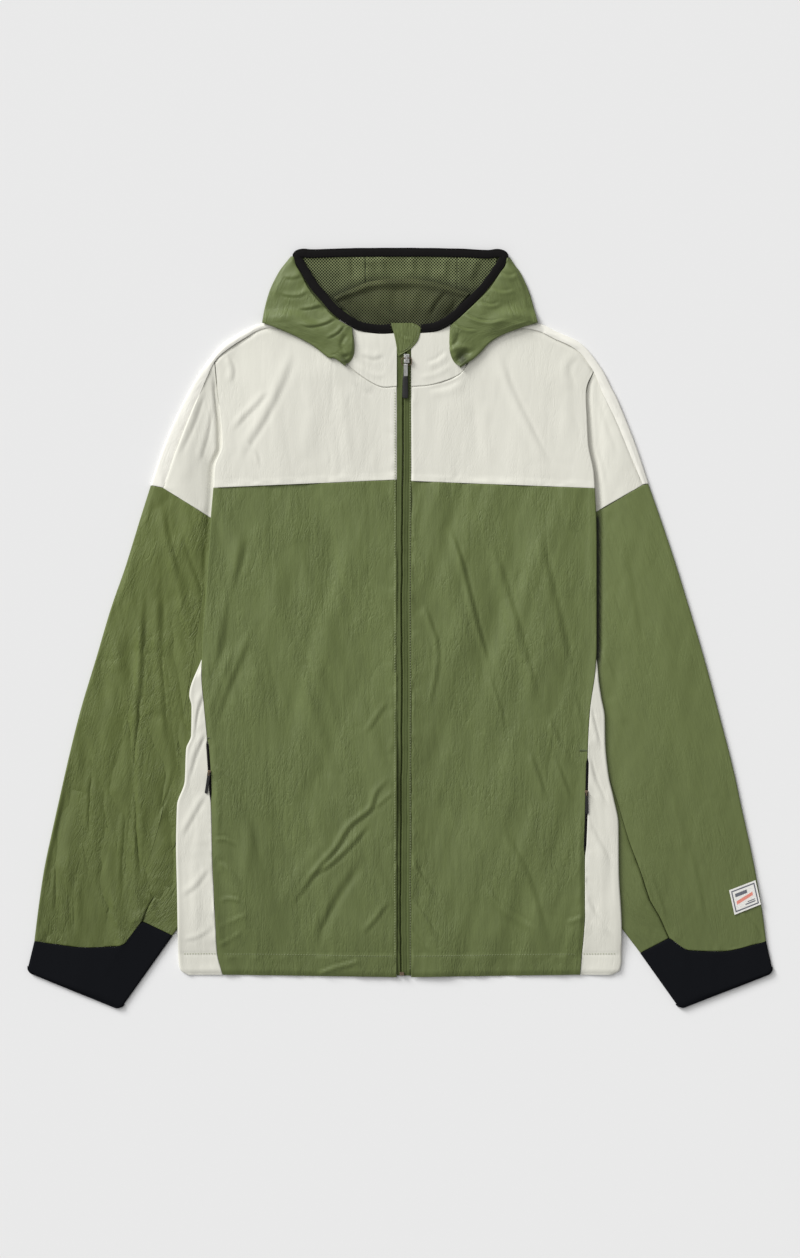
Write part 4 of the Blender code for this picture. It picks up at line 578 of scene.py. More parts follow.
def lifted(plan: Array, height: Array) -> Array:
    """Points over a plan grid at the given heights."""
    height = np.broadcast_to(height, plan.shape[:2])
    return np.concatenate([plan[..., :2], height[..., None]], axis=-1)


def unit(vectors: Array) -> Array:
    """The vectors at length one."""
    return vectors / np.maximum(np.linalg.norm(vectors, axis=-1, keepdims=True), 1e-9)


def mirrored(points: Array, side: "Side") -> Array:
    """Points given as distances from the centre line, put on one side of it."""
    return np.asarray(points, float) * (side.sign, 1.0)


def columns_of(table: Sequence, *names: str) -> Array:
    """Named columns of a table as an array with a row for each of its rows."""
    return np.stack([listed(table, name) for name in names], axis=-1)


def folded(rim: Array, inward: Array, low: Array, high: Array, under: Optional[Array], over: Array) -> Array:
    """Grid of cloth carried round a fold: a run underneath, the rounded fold and a run on top.

    Each point of the fold is its centre, plus the fold's radius times the outward direction and
    straight up, turned from the bottom to the top.

    Args:
        rim: outermost points of the fold in plan.
        inward: directions into the garment there.
        low: level of the fold's underside.
        high: level of its top.
        under: grid of the run underneath, or None where the cloth ends at the fold.
        over: grid of the run on top.
    """
    half = (high - low) / 2.0
    turn = np.linspace(-math.pi / 2.0, math.pi / 2.0, FOLD_COLUMNS)
    centre = np.concatenate([rim + inward * half[:, None], ((high + low) / 2.0)[:, None]], axis=-1)
    outward = np.concatenate([-inward, np.zeros((len(rim), 1))], axis=-1)
    side = outward[:, None] * np.cos(turn)[None, :, None]
    rise = np.array([0.0, 0.0, 1.0]) * np.sin(turn)[None, :, None]
    arc = centre[:, None] + half[:, None, None] * (side + rise)
    return np.concatenate([arc, over] if under is None else [under, arc, over], axis=1)


def toward_middle(side: "Side", count: int) -> Array:
    """The direction from one side to the centre line, once for each point of an edge."""
    return np.tile([-side.sign, 0.0], (count, 1))


def facing(grid: Array, ring: bool) -> Array:
    """Unit normals of a grid, from the cross product of its slopes down and across."""
    if ring:
        wide = np.concatenate([grid[:, -1:], grid, grid[:, :1]], axis=1)
        across = (wide[:, 2:] - wide[:, :-2]) / 2.0
    else:
        across = np.gradient(grid, axis=1)
    return unit(np.cross(across, np.gradient(grid, axis=0)))


def noise(x: Array, y: Array, seed: int) -> Array:
    """Smooth noise from -1 to 1 with features about one unit across.

    It blends seeded random values at whole numbers with a smooth step along both axes.
    """
    values = np.random.default_rng(seed).uniform(-1.0, 1.0, (128, 128))
    i, j = np.floor(x).astype(int), np.floor(y).astype(int)
    u, v = ease(x - i), ease(y - j)
    low = values[i % 128, j % 128] * (1 - u) + values[(i + 1) % 128, j % 128] * u
    high = values[i % 128, (j + 1) % 128] * (1 - u) + values[(i + 1) % 128, (j + 1) % 128] * u
    return low * (1 - v) + high * v


class Fold(Enum):
    """The profile of a crease across its line."""

    SOFT = "a rounded ridge, or a trough where its height is below nothing"
    SHARP = "a ridge on the right of the line and a narrow valley along it"


class Crease(NamedTuple):
    """A crease as listed: its half width, its height and the points that it runs through."""

    width: float
    height: float
    fold: Fold
    path: tuple


def soft(width: float, height: float, *path: Point) -> Crease:
    """A rounded crease through the given points."""
    return Crease(width, height, Fold.SOFT, path)


def sharp(width: float, height: float, *path: Point) -> Crease:
    """A crease with a narrow valley beside its ridge."""
    return Crease(width, height, Fold.SHARP, path)


def bell(gap: Array, width: float) -> Array:
    """One where the gap is nothing, and less on both sides of it: e to the minus its square."""
    return np.exp(-((gap / width) ** 2))


def nearest(x: Array, y: Array, path: Array) -> tuple[Array, Array, Array]:
    """Distance to a path, signed so that the left of it is above nothing, and the share along it."""
    along = lengths(path)
    best = np.full(x.shape, 1e9)
    signed = np.zeros(x.shape)
    share = np.zeros(x.shape)
    for k, (start, end) in enumerate(zip(path[:-1], path[1:])):
        run = end - start
        size = max(float(np.hypot(*run)), 1e-6)
        t = np.clip(((x - start[0]) * run[0] + (y - start[1]) * run[1]) / size**2, 0.0, 1.0)
        gap_x, gap_y = x - start[0] - t * run[0], y - start[1] - t * run[1]
        gap = np.hypot(gap_x, gap_y)
        closer = gap < best
        best = np.where(closer, gap, best)
        hand = np.where(run[0] * gap_y - run[1] * gap_x >= 0.0, 1.0, -1.0)
        signed = np.where(closer, gap * hand, signed)
        share = np.where(closer, (along[k] + t * size) / along[-1], share)
    return signed, share, best


def crease_height(x: Array, y: Array, crease: Crease) -> Array:
    """Height that a crease adds: a bell across its line that tapers to nothing at both ends."""
    path = smooth_line(crease.path, 5 * len(crease.path))
    reach = 5.0 * crease.width
    low, high = path.min(axis=0) - reach, path.max(axis=0) + reach
    near = (x > low[0]) & (x < high[0]) & (y > low[1]) & (y < high[1])
    found = np.zeros(x.shape)
    if not near.any():
        return found
    signed, share, gap = nearest(x[near], y[near], path)
    taper = ease(share / 0.22) * ease((1.0 - share) / 0.30)
    across = signed / crease.width
    if crease.fold is Fold.SOFT:
        profile = bell(gap, crease.width)
    else:
        profile = bell(across + 0.95, 1.0) - 0.75 * bell(across - 0.2, 0.5)
    found[near] = crease.height * taper * profile
    return found


class Pucker(NamedTuple):
    """Small gathers along a sewn line: their spacing, reach and height, and the line."""

    spacing: float
    reach: float
    height: float
    seed: int
    path: tuple


def pucker_height(x: Array, y: Array, pucker: Pucker) -> Array:
    """Height of gathers: noise along the sewn line that fades away from it, and none on it."""
    path = smooth_line(pucker.path, 6 * len(pucker.path))
    signed, share, gap = nearest(x, y, path)
    along = share * lengths(path)[-1] / pucker.spacing
    drift = 0.9 * noise(along * 0.4, gap / 9.0, pucker.seed + 7)
    wave = noise(along + drift, gap / 22.0 + np.sign(signed) * 3.0 + 5.0, pucker.seed)
    wave = wave * (0.55 + 0.45 * noise(along * 0.22, np.zeros_like(gap) + 3.5, pucker.seed + 3))
    return pucker.height * wave * np.exp(-((gap / pucker.reach) ** 1.4))


@dataclass(frozen=True)
class Relief:
    """The way a panel lies: creases, gathers at its seams, soft bands and a fine crumple."""

    creases: tuple = ()
    puckers: tuple = ()
    bold: float = 1.2  # how much all of it is raised
    grain: float = 0.0  # degrees that the grain leans, clockwise from straight up
    bands: float = 0.0  # height of the long soft bands
    band_lean: float = 0.0
    crumple: float = 0.13
    seed: int = 1

    def at(self, x: Array, y: Array) -> Array:
        """Height over the smooth form: the sum of all that is listed above."""
        x, y = np.asarray(x, float), np.asarray(y, float)
        lean = math.radians(self.grain)
        across = x * math.cos(lean) - y * math.sin(lean)
        along = x * math.sin(lean) + y * math.cos(lean)
        warp = 2.6 * noise(across / 23.0, along / 31.0, self.seed + 11)
        total = self.crumple * noise((across + warp) / 5.5, along / 26.0, self.seed)
        total = total + 1.5 * self.crumple * noise((across + warp) / 13.0, along / 48.0, self.seed + 1)
        edge = np.abs(noise((across + 2 * warp) / 17.0, along / 70.0, self.seed + 2))
        total = total - 1.6 * self.crumple * bell(edge, 0.10)
        if self.bands:
            turn = math.radians(self.band_lean)
            beside = x * math.cos(turn) - y * math.sin(turn)
            down = x * math.sin(turn) + y * math.cos(turn)
            total = total + self.bands * noise(beside / 24.0, down / 130.0, self.seed + 4)
            total = total + 0.5 * self.bands * noise(beside / 11.0, down / 90.0, self.seed + 5)
            total = total + 1.9 * self.bands * noise(beside / 50.0, down / 190.0, self.seed + 6)
        for crease in self.creases:
            total = total + crease_height(x, y, crease)
        for pucker in self.puckers:
            total = total + 1.2 * pucker_height(x, y, pucker)
        return self.bold * total


def turned_down(grid: Array, rows: bool, columns: bool, depth: float = 0.26) -> Array:
    """The grid with its chosen pairs of seamed edges turned down a little."""
    grid = grid.copy()
    for k, share in ((0, 1.0), (1, 0.35), (-1, 1.0), (-2, 0.35)):
        if rows:
            grid[k, :, 2] -= depth * share
        if columns:
            grid[:, k, 2] -= depth * share
    return grid


def tucked(grid: Array, row: Optional[int] = None, column: Optional[int] = None) -> Array:
    """The grid with one edge, row or column 0 or -1, lowered to lie under its neighbour."""
    grid = grid.copy()
    for depth in (1.0, 0.85, 0.45):
        if row is not None:
            grid[row, :, 2] -= depth
            row += 1 if row >= 0 else -1
        if column is not None:
            grid[:, column, 2] -= depth
            column += 1 if column >= 0 else -1
    return grid


def weave_map(grid: Array, rim: int = 0) -> Array:
    """Lengths of cloth across and along a grid, in metres, counted from one of its columns."""
    across = np.linalg.norm(np.diff(grid, axis=1), axis=-1)
    across = np.concatenate([np.zeros((len(grid), 1)), np.cumsum(across, axis=1)], axis=1)
    across = across - across[:, rim : rim + 1]
    along = lengths(grid[:, rim])[:, None] + np.zeros_like(across)
    return np.stack([across, along], axis=-1) * METRE


def plan_map(grid: Array) -> Array:
    """The plan of a grid in metres, for a panel whose grain runs straight up."""
    return grid[..., :2] * METRE


def shell(rows: int, columns: int, ring: bool, keep: Optional[Array]) -> tuple[Array, Array]:
    """Quads of a shell: the cells of a grid, the same cells inside it, and its closed edges.

    Args:
        rows: how many rows of points the grid has.
        columns: how many columns.
        ring: whether the columns close on each other.
        keep: which cells exist.

    Returns:
        The points at every quad's corners, and the places there on the cloth's map.
    """
    wide = columns if ring else columns - 1
    r, c = np.meshgrid(np.arange(rows - 1), np.arange(wide), indexing="ij")
    down = np.stack([r, r + 1, r + 1, r], axis=-1)
    over = np.stack([c, c, c + 1, c + 1], axis=-1)
    if keep is not None:
        down, over = down[keep], over[keep]
    down, over = down.reshape(-1, 4), over.reshape(-1, 4)
    corner = down * columns + over % columns
    place = down * (columns + 1) + over
    edges = np.concatenate([corner[:, [i, (i + 1) % 4]] for i in range(4)])
    edge_place = np.concatenate([place[:, [i, (i + 1) % 4]] for i in range(4)])
    size = rows * columns
    free = ~np.isin(edges[:, 0] * size + edges[:, 1], edges[:, 1] * size + edges[:, 0])
    a, b = edges[free].T
    a_place, b_place = edge_place[free].T
    faces = np.concatenate([corner, corner[:, ::-1] + size, np.stack([b, a, a + size, b + size], axis=-1)])
    rims = np.stack([b_place, a_place, a_place, b_place], axis=-1)
    spots = np.concatenate([place, place[:, ::-1], rims])
    return faces, spots


def facing_area(grid: Array) -> Array:
    """Area of every cell of a grid: half the length of the cross product of its diagonals."""
    one = grid[1:, 1:] - grid[:-1, :-1]
    other = grid[1:, :-1] - grid[:-1, 1:]
    return 0.5 * np.linalg.norm(np.cross(one, other), axis=-1)


def cut_of(base: Array, keep: Optional[Array]) -> tuple:
    """Width, length and area in metres of the flat cloth from which a grid's cells are made."""
    cell = facing_area(base) * (1.0 if keep is None else keep)
    held = cell > 0.0
    steps_across = np.linalg.norm(np.diff(base, axis=1), axis=-1)[:-1] * held
    steps_along = np.linalg.norm(np.diff(base, axis=0), axis=-1)[:, :-1] * held
    across = max(steps_across.sum(axis=1).max() * METRE, NARROWEST_CUT)
    along = np.percentile(steps_along.sum(axis=0), 90) * METRE
    return across, along, min(cell.sum() * METRE**2, across * along)


def sewn(
    name: str,
    grid: Array,
    finish: "Finish",
    *,
    uv: Optional[Array] = None,
    ring: bool = False,
    keep: Optional[Array] = None,
    up: bool = True,
    thick: float = CLOTH,
    flat: Optional[Array] = None,
    tone: Array = 1.0,
) -> bpy.types.Object:
    """The shell's inner points are the outer ones moved back along their normals by its thickness,
    and its free edges are closed.

    Args:
        name: the node that it stands for.
        grid: points of its outer surface.
        finish: what it is made of.
        uv: lengths of cloth across and along it in metres.
        ring: whether its columns close on each other.
        keep: which cells of the grid exist.
        up: whether its last column faces up, or down on the floor.
        thick: its thickness.
        flat: the same grid without creases, from which its cut is measured.
        tone: how light the cloth is at every point: lighter where it lies double, with painted shade and
            painted highlight in gaps, hollows and along folds on some pieces.
    """
    rows, columns = grid.shape[:2]
    normal = facing(grid, ring)
    outward = (normal * (grid - grid.mean(axis=1, keepdims=True))).sum() if ring else normal[:, -1, 2].sum()
    sign = 1.0 if (outward >= 0.0) == (ring or up) else -1.0
    inner = grid - sign * normal * thick
    faces, spots = shell(rows, columns, ring, keep)
    if sign > 0.0:  # a face whose corners run down and then across looks against the normal
        faces, spots = faces[:, ::-1], spots[:, ::-1]
    points = np.concatenate([grid.reshape(-1, 3), inner.reshape(-1, 3)]) * METRE
    cloth_map = weave_map(grid) if uv is None else uv
    closing = 2 * cloth_map[:, -1:] - cloth_map[:, -2:-1]
    cloth_map = np.concatenate([cloth_map, closing], axis=1).reshape(-1, 2)
    shade = np.tile(np.broadcast_to(tone, grid.shape[:2]).reshape(-1), 2)
    piece = add_piece(name, points, faces, cloth_map[spots.reshape(-1)], finish, shade)
    across, along, area = cut_of(grid if flat is None else flat, keep)
    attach(piece, "root")
    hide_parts(name)
    size = (name, across / METRE, along / METRE, area / METRE**2 / 100.0, len(faces))
    log.info("%s: cut %.0f x %.0f mm, %.0f square cm, %d faces", *size)
    return piece


def add_piece(
    name: str,
    points: Array,
    faces: Array,
    corner_uv: Optional[Array],
    finish: "Finish",
    tone: Optional[Array] = None,
) -> bpy.types.Object:
    """A smooth mesh object from points in metres, quads and the cloth lengths at their corners."""
    used, renamed = np.unique(faces, return_inverse=True)
    points, faces = points[used], renamed.reshape(faces.shape)
    mesh = bpy.data.meshes.new(name + "_form")
    mesh.from_pydata(points.tolist(), [], faces.tolist())
    if corner_uv is not None:
        layer = mesh.uv_layers.new(name="cloth")
        layer.data.foreach_set("uv", np.asarray(corner_uv, np.float32).reshape(-1))
    if tone is not None:
        shade = mesh.attributes.new("tone", "FLOAT", "POINT")
        shade.data.foreach_set("value", np.asarray(tone[used], np.float32))
    mesh.shade_smooth()
    mesh.set_sharp_from_angle(angle=math.radians(75.0))
    mesh.materials.append(finish.material())
    mesh.update()
    piece = bpy.data.objects.new(name + "_cloth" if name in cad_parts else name, mesh)
    bpy.context.scene.collection.objects.link(piece)
    return piece


# --- Finishes -------------------------------------------------------------------------------------


@dataclass
class Graph:
    """Short ways to place and join the nodes of one shader tree."""

    tree: Nodes

    def add(self, kind: str, **settings: object) -> bpy.types.Node:
        """A new node with the given properties."""
        node = self.tree.nodes.new(kind)
        for name, value in settings.items():
            setattr(node, name, value)
        return node

    def put(self, socket: Socket, value: object) -> None:
        """Give a socket a number, a colour or the output of another node."""
        if isinstance(value, bpy.types.NodeSocket):
            self.tree.links.new(value, socket)
        elif value is not None:
            socket.default_value = value

    def math(self, operation: str, *values: object, clamp: bool = False) -> Socket:
        """The result of a Math node."""
        node = self.add("ShaderNodeMath", operation=operation, use_clamp=clamp)
        for socket, value in zip(node.inputs, values):
            self.put(socket, value)
        return node.outputs[0]

    def step(self, value: object, low: float, high: float) -> Socket:
        """Nothing below low, one above high, and smooth between them."""
        node = self.add("ShaderNodeMapRange", interpolation_type="SMOOTHSTEP")
        self.put(node.inputs["Value"], value)
        node.inputs["From Min"].default_value = low
        node.inputs["From Max"].default_value = high
        return node.outputs[0]

    def noise(self, place: object, size: tuple, detail: float = 2.0, bend: float = 0.0) -> Socket:
        """Noise whose features have the given sizes in metres along the three axes."""
        scaled = self.add("ShaderNodeVectorMath", operation="MULTIPLY")
        self.put(scaled.inputs[0], place)
        scaled.inputs[1].default_value = tuple(1.0 / s for s in size)
        node = self.add("ShaderNodeTexNoise")
        node.inputs["Scale"].default_value = 1.0
        node.inputs["Detail"].default_value = detail
        node.inputs["Roughness"].default_value = 0.55
        node.inputs["Distortion"].default_value = bend
        self.put(node.inputs["Vector"], scaled.outputs[0])
        return node.outputs["Fac"]

    def turned(self, place: object, angle: float) -> Socket:
        """A place turned about Z by an angle in radians."""
        node = self.add("ShaderNodeVectorRotate", rotation_type="Z_AXIS")
        self.put(node.inputs["Vector"], place)
        node.inputs["Angle"].default_value = angle
        return node.outputs[0]

    def split(self, place: object) -> tuple:
        """The parts of a vector."""
        node = self.add("ShaderNodeSeparateXYZ")
        self.put(node.inputs[0], place)
        return tuple(node.outputs)

    def mix(self, share: object, first: object, second: object) -> Socket:
        """A colour between two others."""
        node = self.add("ShaderNodeMix", data_type="RGBA")
        self.put(node.inputs[0], share)
        self.put(node.inputs[6], first)
        self.put(node.inputs[7], second)
        return node.outputs[2]

    def times(self, colour: object, amount: object) -> Socket:
        """A colour made lighter or darker by a number."""
        node = self.add("ShaderNodeVectorMath", operation="SCALE")
        self.put(node.inputs[0], colour)
        self.put(node.inputs["Scale"], amount)
        return node.outputs[0]

    def group(self, tree: Nodes, **values: object) -> bpy.types.Node:
        """A placed node group with its inputs set."""
        node = self.add("ShaderNodeGroup", node_tree=tree)
        for name, value in values.items():
            self.put(node.inputs[name.replace("_", " ")], value)
        return node

    def bump(self, height: object, distance: float, strength: float = 1.0) -> Socket:
        """The normal of a surface raised by a height from 0 to 1 over a distance in metres."""
        node = self.add("ShaderNodeBump")
        node.inputs["Strength"].default_value = strength
        node.inputs["Distance"].default_value = distance
        self.put(node.inputs["Height"], height)
        return node.outputs[0]


def effect(name: str, inputs: dict, outputs: Sequence[str]) -> tuple[Nodes, Graph, dict, dict]:
    """A new shader node group with a vector called Cloth, the given numbers, and its outputs.

    Args:
        name: what the group is called.
        inputs: its numbers and their usual values.
        outputs: the names of the numbers that it gives.

    Returns:
        The tree, a graph to fill it with, its input sockets and its output sockets.
    """
    tree = bpy.data.node_groups.new(name, "ShaderNodeTree")
    tree.interface.new_socket("Cloth", in_out="INPUT", socket_type="NodeSocketVector")
    for key, value in inputs.items():
        tree.interface.new_socket(key, in_out="INPUT", socket_type="NodeSocketFloat").default_value = value
    for key in outputs:
        tree.interface.new_socket(key, in_out="OUTPUT", socket_type="NodeSocketFloat")
    graph = Graph(tree)
    start = graph.add("NodeGroupInput")
    end = graph.add("NodeGroupOutput")
    return tree, graph, {s.name: s for s in start.outputs}, {s.name: s for s in end.inputs}


def crumpled_cloth() -> Nodes:
    """Thin nylon's fine crumple: long streaks along the grain, small dents and hair-fine creases.

    Height is a sum of noises stretched along the cloth's length, less thin lines where others,
    turned three ways, pass their middle. Shade follows the streaks as painted shade, lighter on
    their raised parts and darker in their low ones, and a slow change of tone.
    """
    found = bpy.data.node_groups.get("crumpled cloth")
    if found is not None:
        return found
    tree, g, given, out = effect("crumpled cloth", {"Streaks": 1.0, "Creases": 1.0}, ("Height", "Shade"))
    cloth = given["Cloth"]
    streak = g.noise(cloth, (0.0036, 0.024, 1.0), 3.0, 0.5)
    dent = g.noise(cloth, (0.0017, 0.0050, 1.0), 2.0, 0.3)
    slow = g.noise(cloth, (0.034, 0.085, 1.0), 2.0, 0.4)
    where = g.step(g.noise(cloth, (0.045, 0.070, 1.0), 1.0, 0.3), 0.36, 0.66)
    fine = g.math("MULTIPLY_ADD", dent, 0.40, g.math("MULTIPLY", streak, 0.80))
    fine = g.math("MULTIPLY", fine, g.math("MULTIPLY_ADD", where, 0.85, 0.40))
    height = g.math("MULTIPLY", fine, given["Streaks"])
    for turn, size, weight in (
        (0.0, (0.010, 0.060, 1.0), 0.24),
        (0.40, (0.007, 0.044, 1.0), 0.15),
        (-0.35, (0.006, 0.040, 1.0), 0.13),
    ):
        line = g.noise(g.turned(cloth, turn), size, 2.0, 0.9)
        valley = g.step(g.math("ABSOLUTE", g.math("SUBTRACT", line, 0.5)), 0.0, 0.045)
        share = g.math("MULTIPLY_ADD", where, 0.8 * weight, 0.2 * weight)
        depth = g.math("MULTIPLY", given["Creases"], share)
        height = g.math("MULTIPLY_ADD", valley, depth, height)
    g.put(out["Height"], height)
    # painted shade along the streaks, plus the cloth's own slow change of tone
    shade = g.math("MULTIPLY_ADD", g.math("SUBTRACT", slow, 0.5), 0.55, g.math("SUBTRACT", streak, 0.5))
    g.put(out["Shade"], g.math("ADD", shade, 0.5, clamp=True))
    return tree


def plain_weave() -> Nodes:
    """A plain weave: the product of two waves, one thread apart each way."""
    found = bpy.data.node_groups.get("plain weave")
    if found is not None:
        return found
    tree, g, given, out = effect("plain weave", {"Across": 0.0009, "Along": 0.0009}, ("Height", "Shade"))
    u, v, _ = g.split(given["Cloth"])
    one = g.math("SINE", g.math("MULTIPLY", g.math("DIVIDE", u, given["Across"]), math.tau))
    two = g.math("SINE", g.math("MULTIPLY", g.math("DIVIDE", v, given["Along"]), math.tau))
    height = g.math("MULTIPLY_ADD", g.math("MULTIPLY", one, two), 0.5, 0.5)
    g.put(out["Height"], height)
    g.put(out["Shade"], g.noise(given["Cloth"], (0.006, 0.012, 1.0), 2.0))
    return tree


def open_mesh() -> Nodes:
    """Warp-knitted mesh: holes on a lattice that runs along both diagonals of the cloth.

    A hole's mask is the distance to the middle of its lattice cell, taken through a smooth step.
    """
    found = bpy.data.node_groups.get("open mesh")
    if found is not None:
        return found
    tree, g, given, out = effect("open mesh", {"Pitch": 0.0033}, ("Height", "Hole"))
    u, v, _ = g.split(given["Cloth"])
    cells_ = []
    for sign in (1.0, -1.0):
        turned = g.math("DIVIDE", g.math("MULTIPLY_ADD", v, sign, u), given["Pitch"])
        cells_.append(g.math("ABSOLUTE", g.math("SUBTRACT", g.math("FRACT", turned), 0.5)))
    gap = g.math("SQRT", g.math("ADD", g.math("POWER", cells_[0], 2.0), g.math("POWER", cells_[1], 2.0)))
    solid = g.step(gap, 0.34, 0.44)
    g.put(out["Height"], solid)
    g.put(out["Hole"], g.math("SUBTRACT", 1.0, solid))
    return tree


@dataclass(frozen=True)
class Finish:
    """A surface: its name, the record's slot, its colour and how rough it is."""

    name: str
    slot: str
    colour: tuple
    rough: float = 0.6

    def material(self) -> bpy.types.Material:
        """The finish's material, made once."""
        found = bpy.data.materials.get(self.name)
        if found is not None:
            return found
        made = bpy.data.materials.new(self.name)
        made.use_nodes = True
        shader = made.node_tree.nodes["Principled BSDF"]
        shader.inputs["Roughness"].default_value = self.rough
        self.dress(Graph(made.node_tree), shader)
        return made

    def dress(self, g: Graph, shader: bpy.types.Node) -> None:
        """Join the finish's own nodes to its shader."""
        raise NotImplementedError

    def cloth(self, g: Graph) -> Socket:
        """Lengths of cloth, from the piece's own map."""
        return g.add("ShaderNodeUVMap", uv_map="cloth").outputs[0]

    def shades(self, spread: float) -> tuple[tuple, tuple]:
        """The colour, darker and lighter by a share."""
        dark = tuple(c * (1.0 - spread) for c in self.colour)
        light = tuple(min(c * (1.0 + spread), 1.0) for c in self.colour)
        return (*dark, 1.0), (*light, 1.0)


@dataclass(frozen=True)
class Nylon(Finish):
    """Crumpled thin nylon with a soft sheen."""

    relief: float = 0.00078
    streaks: float = 1.0
    creases: float = 1.0
    spread: float = 0.17
    sheen: float = 0.05

    def dress(self, g: Graph, shader: bpy.types.Node) -> None:
        """Streaks and creases as a bump, and a colour with painted shade along the streaks and a slow change
        of tone, times the tone attribute with the painted shade and highlight that it carries on some pieces.
        """
        made = g.group(crumpled_cloth(), Cloth=self.cloth(g), Streaks=self.streaks, Creases=self.creases)
        dark, light = self.shades(self.spread)
        # the tone attribute: lightness of the cloth, with painted shade and highlight where a piece sets it
        tone = g.add("ShaderNodeAttribute", attribute_name="tone").outputs["Fac"]
        g.put(shader.inputs["Base Color"], g.times(g.mix(made.outputs["Shade"], dark, light), tone))
        g.put(shader.inputs["Normal"], g.bump(made.outputs["Height"], self.relief))
        shader.inputs["Sheen Weight"].default_value = self.sheen
        shader.inputs["Sheen Roughness"].default_value = 0.4
        shader.inputs["Specular IOR Level"].default_value = 0.35


@dataclass(frozen=True)
class Woven(Finish):
    """A woven or knitted tape: a fine weave with its threads a set distance apart."""

    across: float = 0.0009
    along: float = 0.0009
    relief: float = 0.00012
    spread: float = 0.12
    shine: float = 0.3

    def dress(self, g: Graph, shader: bpy.types.Node) -> None:
        """The weave as a bump, and a colour with painted shade between the threads, lighter on their crowns,
        and a slow change of tone.
        """
        made = g.group(plain_weave(), Cloth=self.cloth(g), Across=self.across, Along=self.along)
        dark, light = self.shades(self.spread)
        shade = g.math("MULTIPLY", made.outputs["Shade"], 0.5)
        # painted shade: the colour follows the weave's height, darker between the threads
        tone = g.math("MULTIPLY_ADD", made.outputs["Height"], 0.5, shade)
        g.put(shader.inputs["Base Color"], g.mix(tone, dark, light))
        g.put(shader.inputs["Normal"], g.bump(made.outputs["Height"], self.relief))
        shader.inputs["Specular IOR Level"].default_value = self.shine


@dataclass(frozen=True)
class Netting(Finish):
    """The open mesh of the hood's lining, with its holes painted near black as the shade behind them."""

    # the holes' colour: painted shade, near black, for the shaded cloth behind the mesh
    hole: tuple = (0.005, 0.007, 0.0025)
    pitch: float = 0.0033

    def dress(self, g: Graph, shader: bpy.types.Node) -> None:
        """Holes painted dark as shade, a slow change of tone, and the tone attribute with its painted shade
        and highlight.
        """
        cloth = self.cloth(g)
        made = g.group(open_mesh(), Cloth=cloth, Pitch=self.pitch)
        dark, light = self.shades(0.16)
        tone = g.mix(g.noise(cloth, (0.012, 0.03, 1.0), 2.0), dark, light)
        shade = g.add("ShaderNodeAttribute", attribute_name="tone").outputs["Fac"]
        # painted shade: the holes take the near-black colour
        knit = g.mix(made.outputs["Hole"], tone, (*self.hole, 1.0))
        g.put(shader.inputs["Base Color"], g.times(knit, shade))
        g.put(shader.inputs["Normal"], g.bump(made.outputs["Height"], 0.00055))
        shader.inputs["Specular IOR Level"].default_value = 0.25


@dataclass(frozen=True)
class Hard(Finish):
    """Cast metal or a moulding: fine wear and a grain on its own coordinates."""

    metal: float = 0.0
    relief: float = 0.00002
    spread: float = 0.12

    def dress(self, g: Graph, shader: bpy.types.Node) -> None:
        """Grain as a bump, with wear in the colour and the roughness."""
        place = g.add("ShaderNodeTexCoord").outputs["Object"]
        grain = g.noise(place, (0.0006, 0.0006, 0.0006), 3.0)
        wear = g.noise(place, (0.003, 0.003, 0.003), 2.0)
        dark, light = self.shades(self.spread)
        g.put(shader.inputs["Base Color"], g.mix(wear, dark, light))
        g.put(shader.inputs["Roughness"], g.math("MULTIPLY_ADD", wear, 0.16, self.rough - 0.08))
        g.put(shader.inputs["Normal"], g.bump(grain, self.relief))
        shader.inputs["Metallic"].default_value = self.metal


@dataclass(frozen=True)
class Thread(Finish):
    """Sewing thread, twisted."""

    def dress(self, g: Graph, shader: bpy.types.Node) -> None:
        """A twist as bands across the stitch, in the bump and in the colour, which is darker in the twist's
        low parts as painted shade.
        """
        place = g.add("ShaderNodeTexCoord").outputs["Object"]
        twist = g.noise(place, (0.0007, 0.0007, 0.0007), 1.0)
        dark, light = self.shades(0.15)
        g.put(shader.inputs["Base Color"], g.mix(twist, dark, light))
        g.put(shader.inputs["Normal"], g.bump(twist, 0.00008))


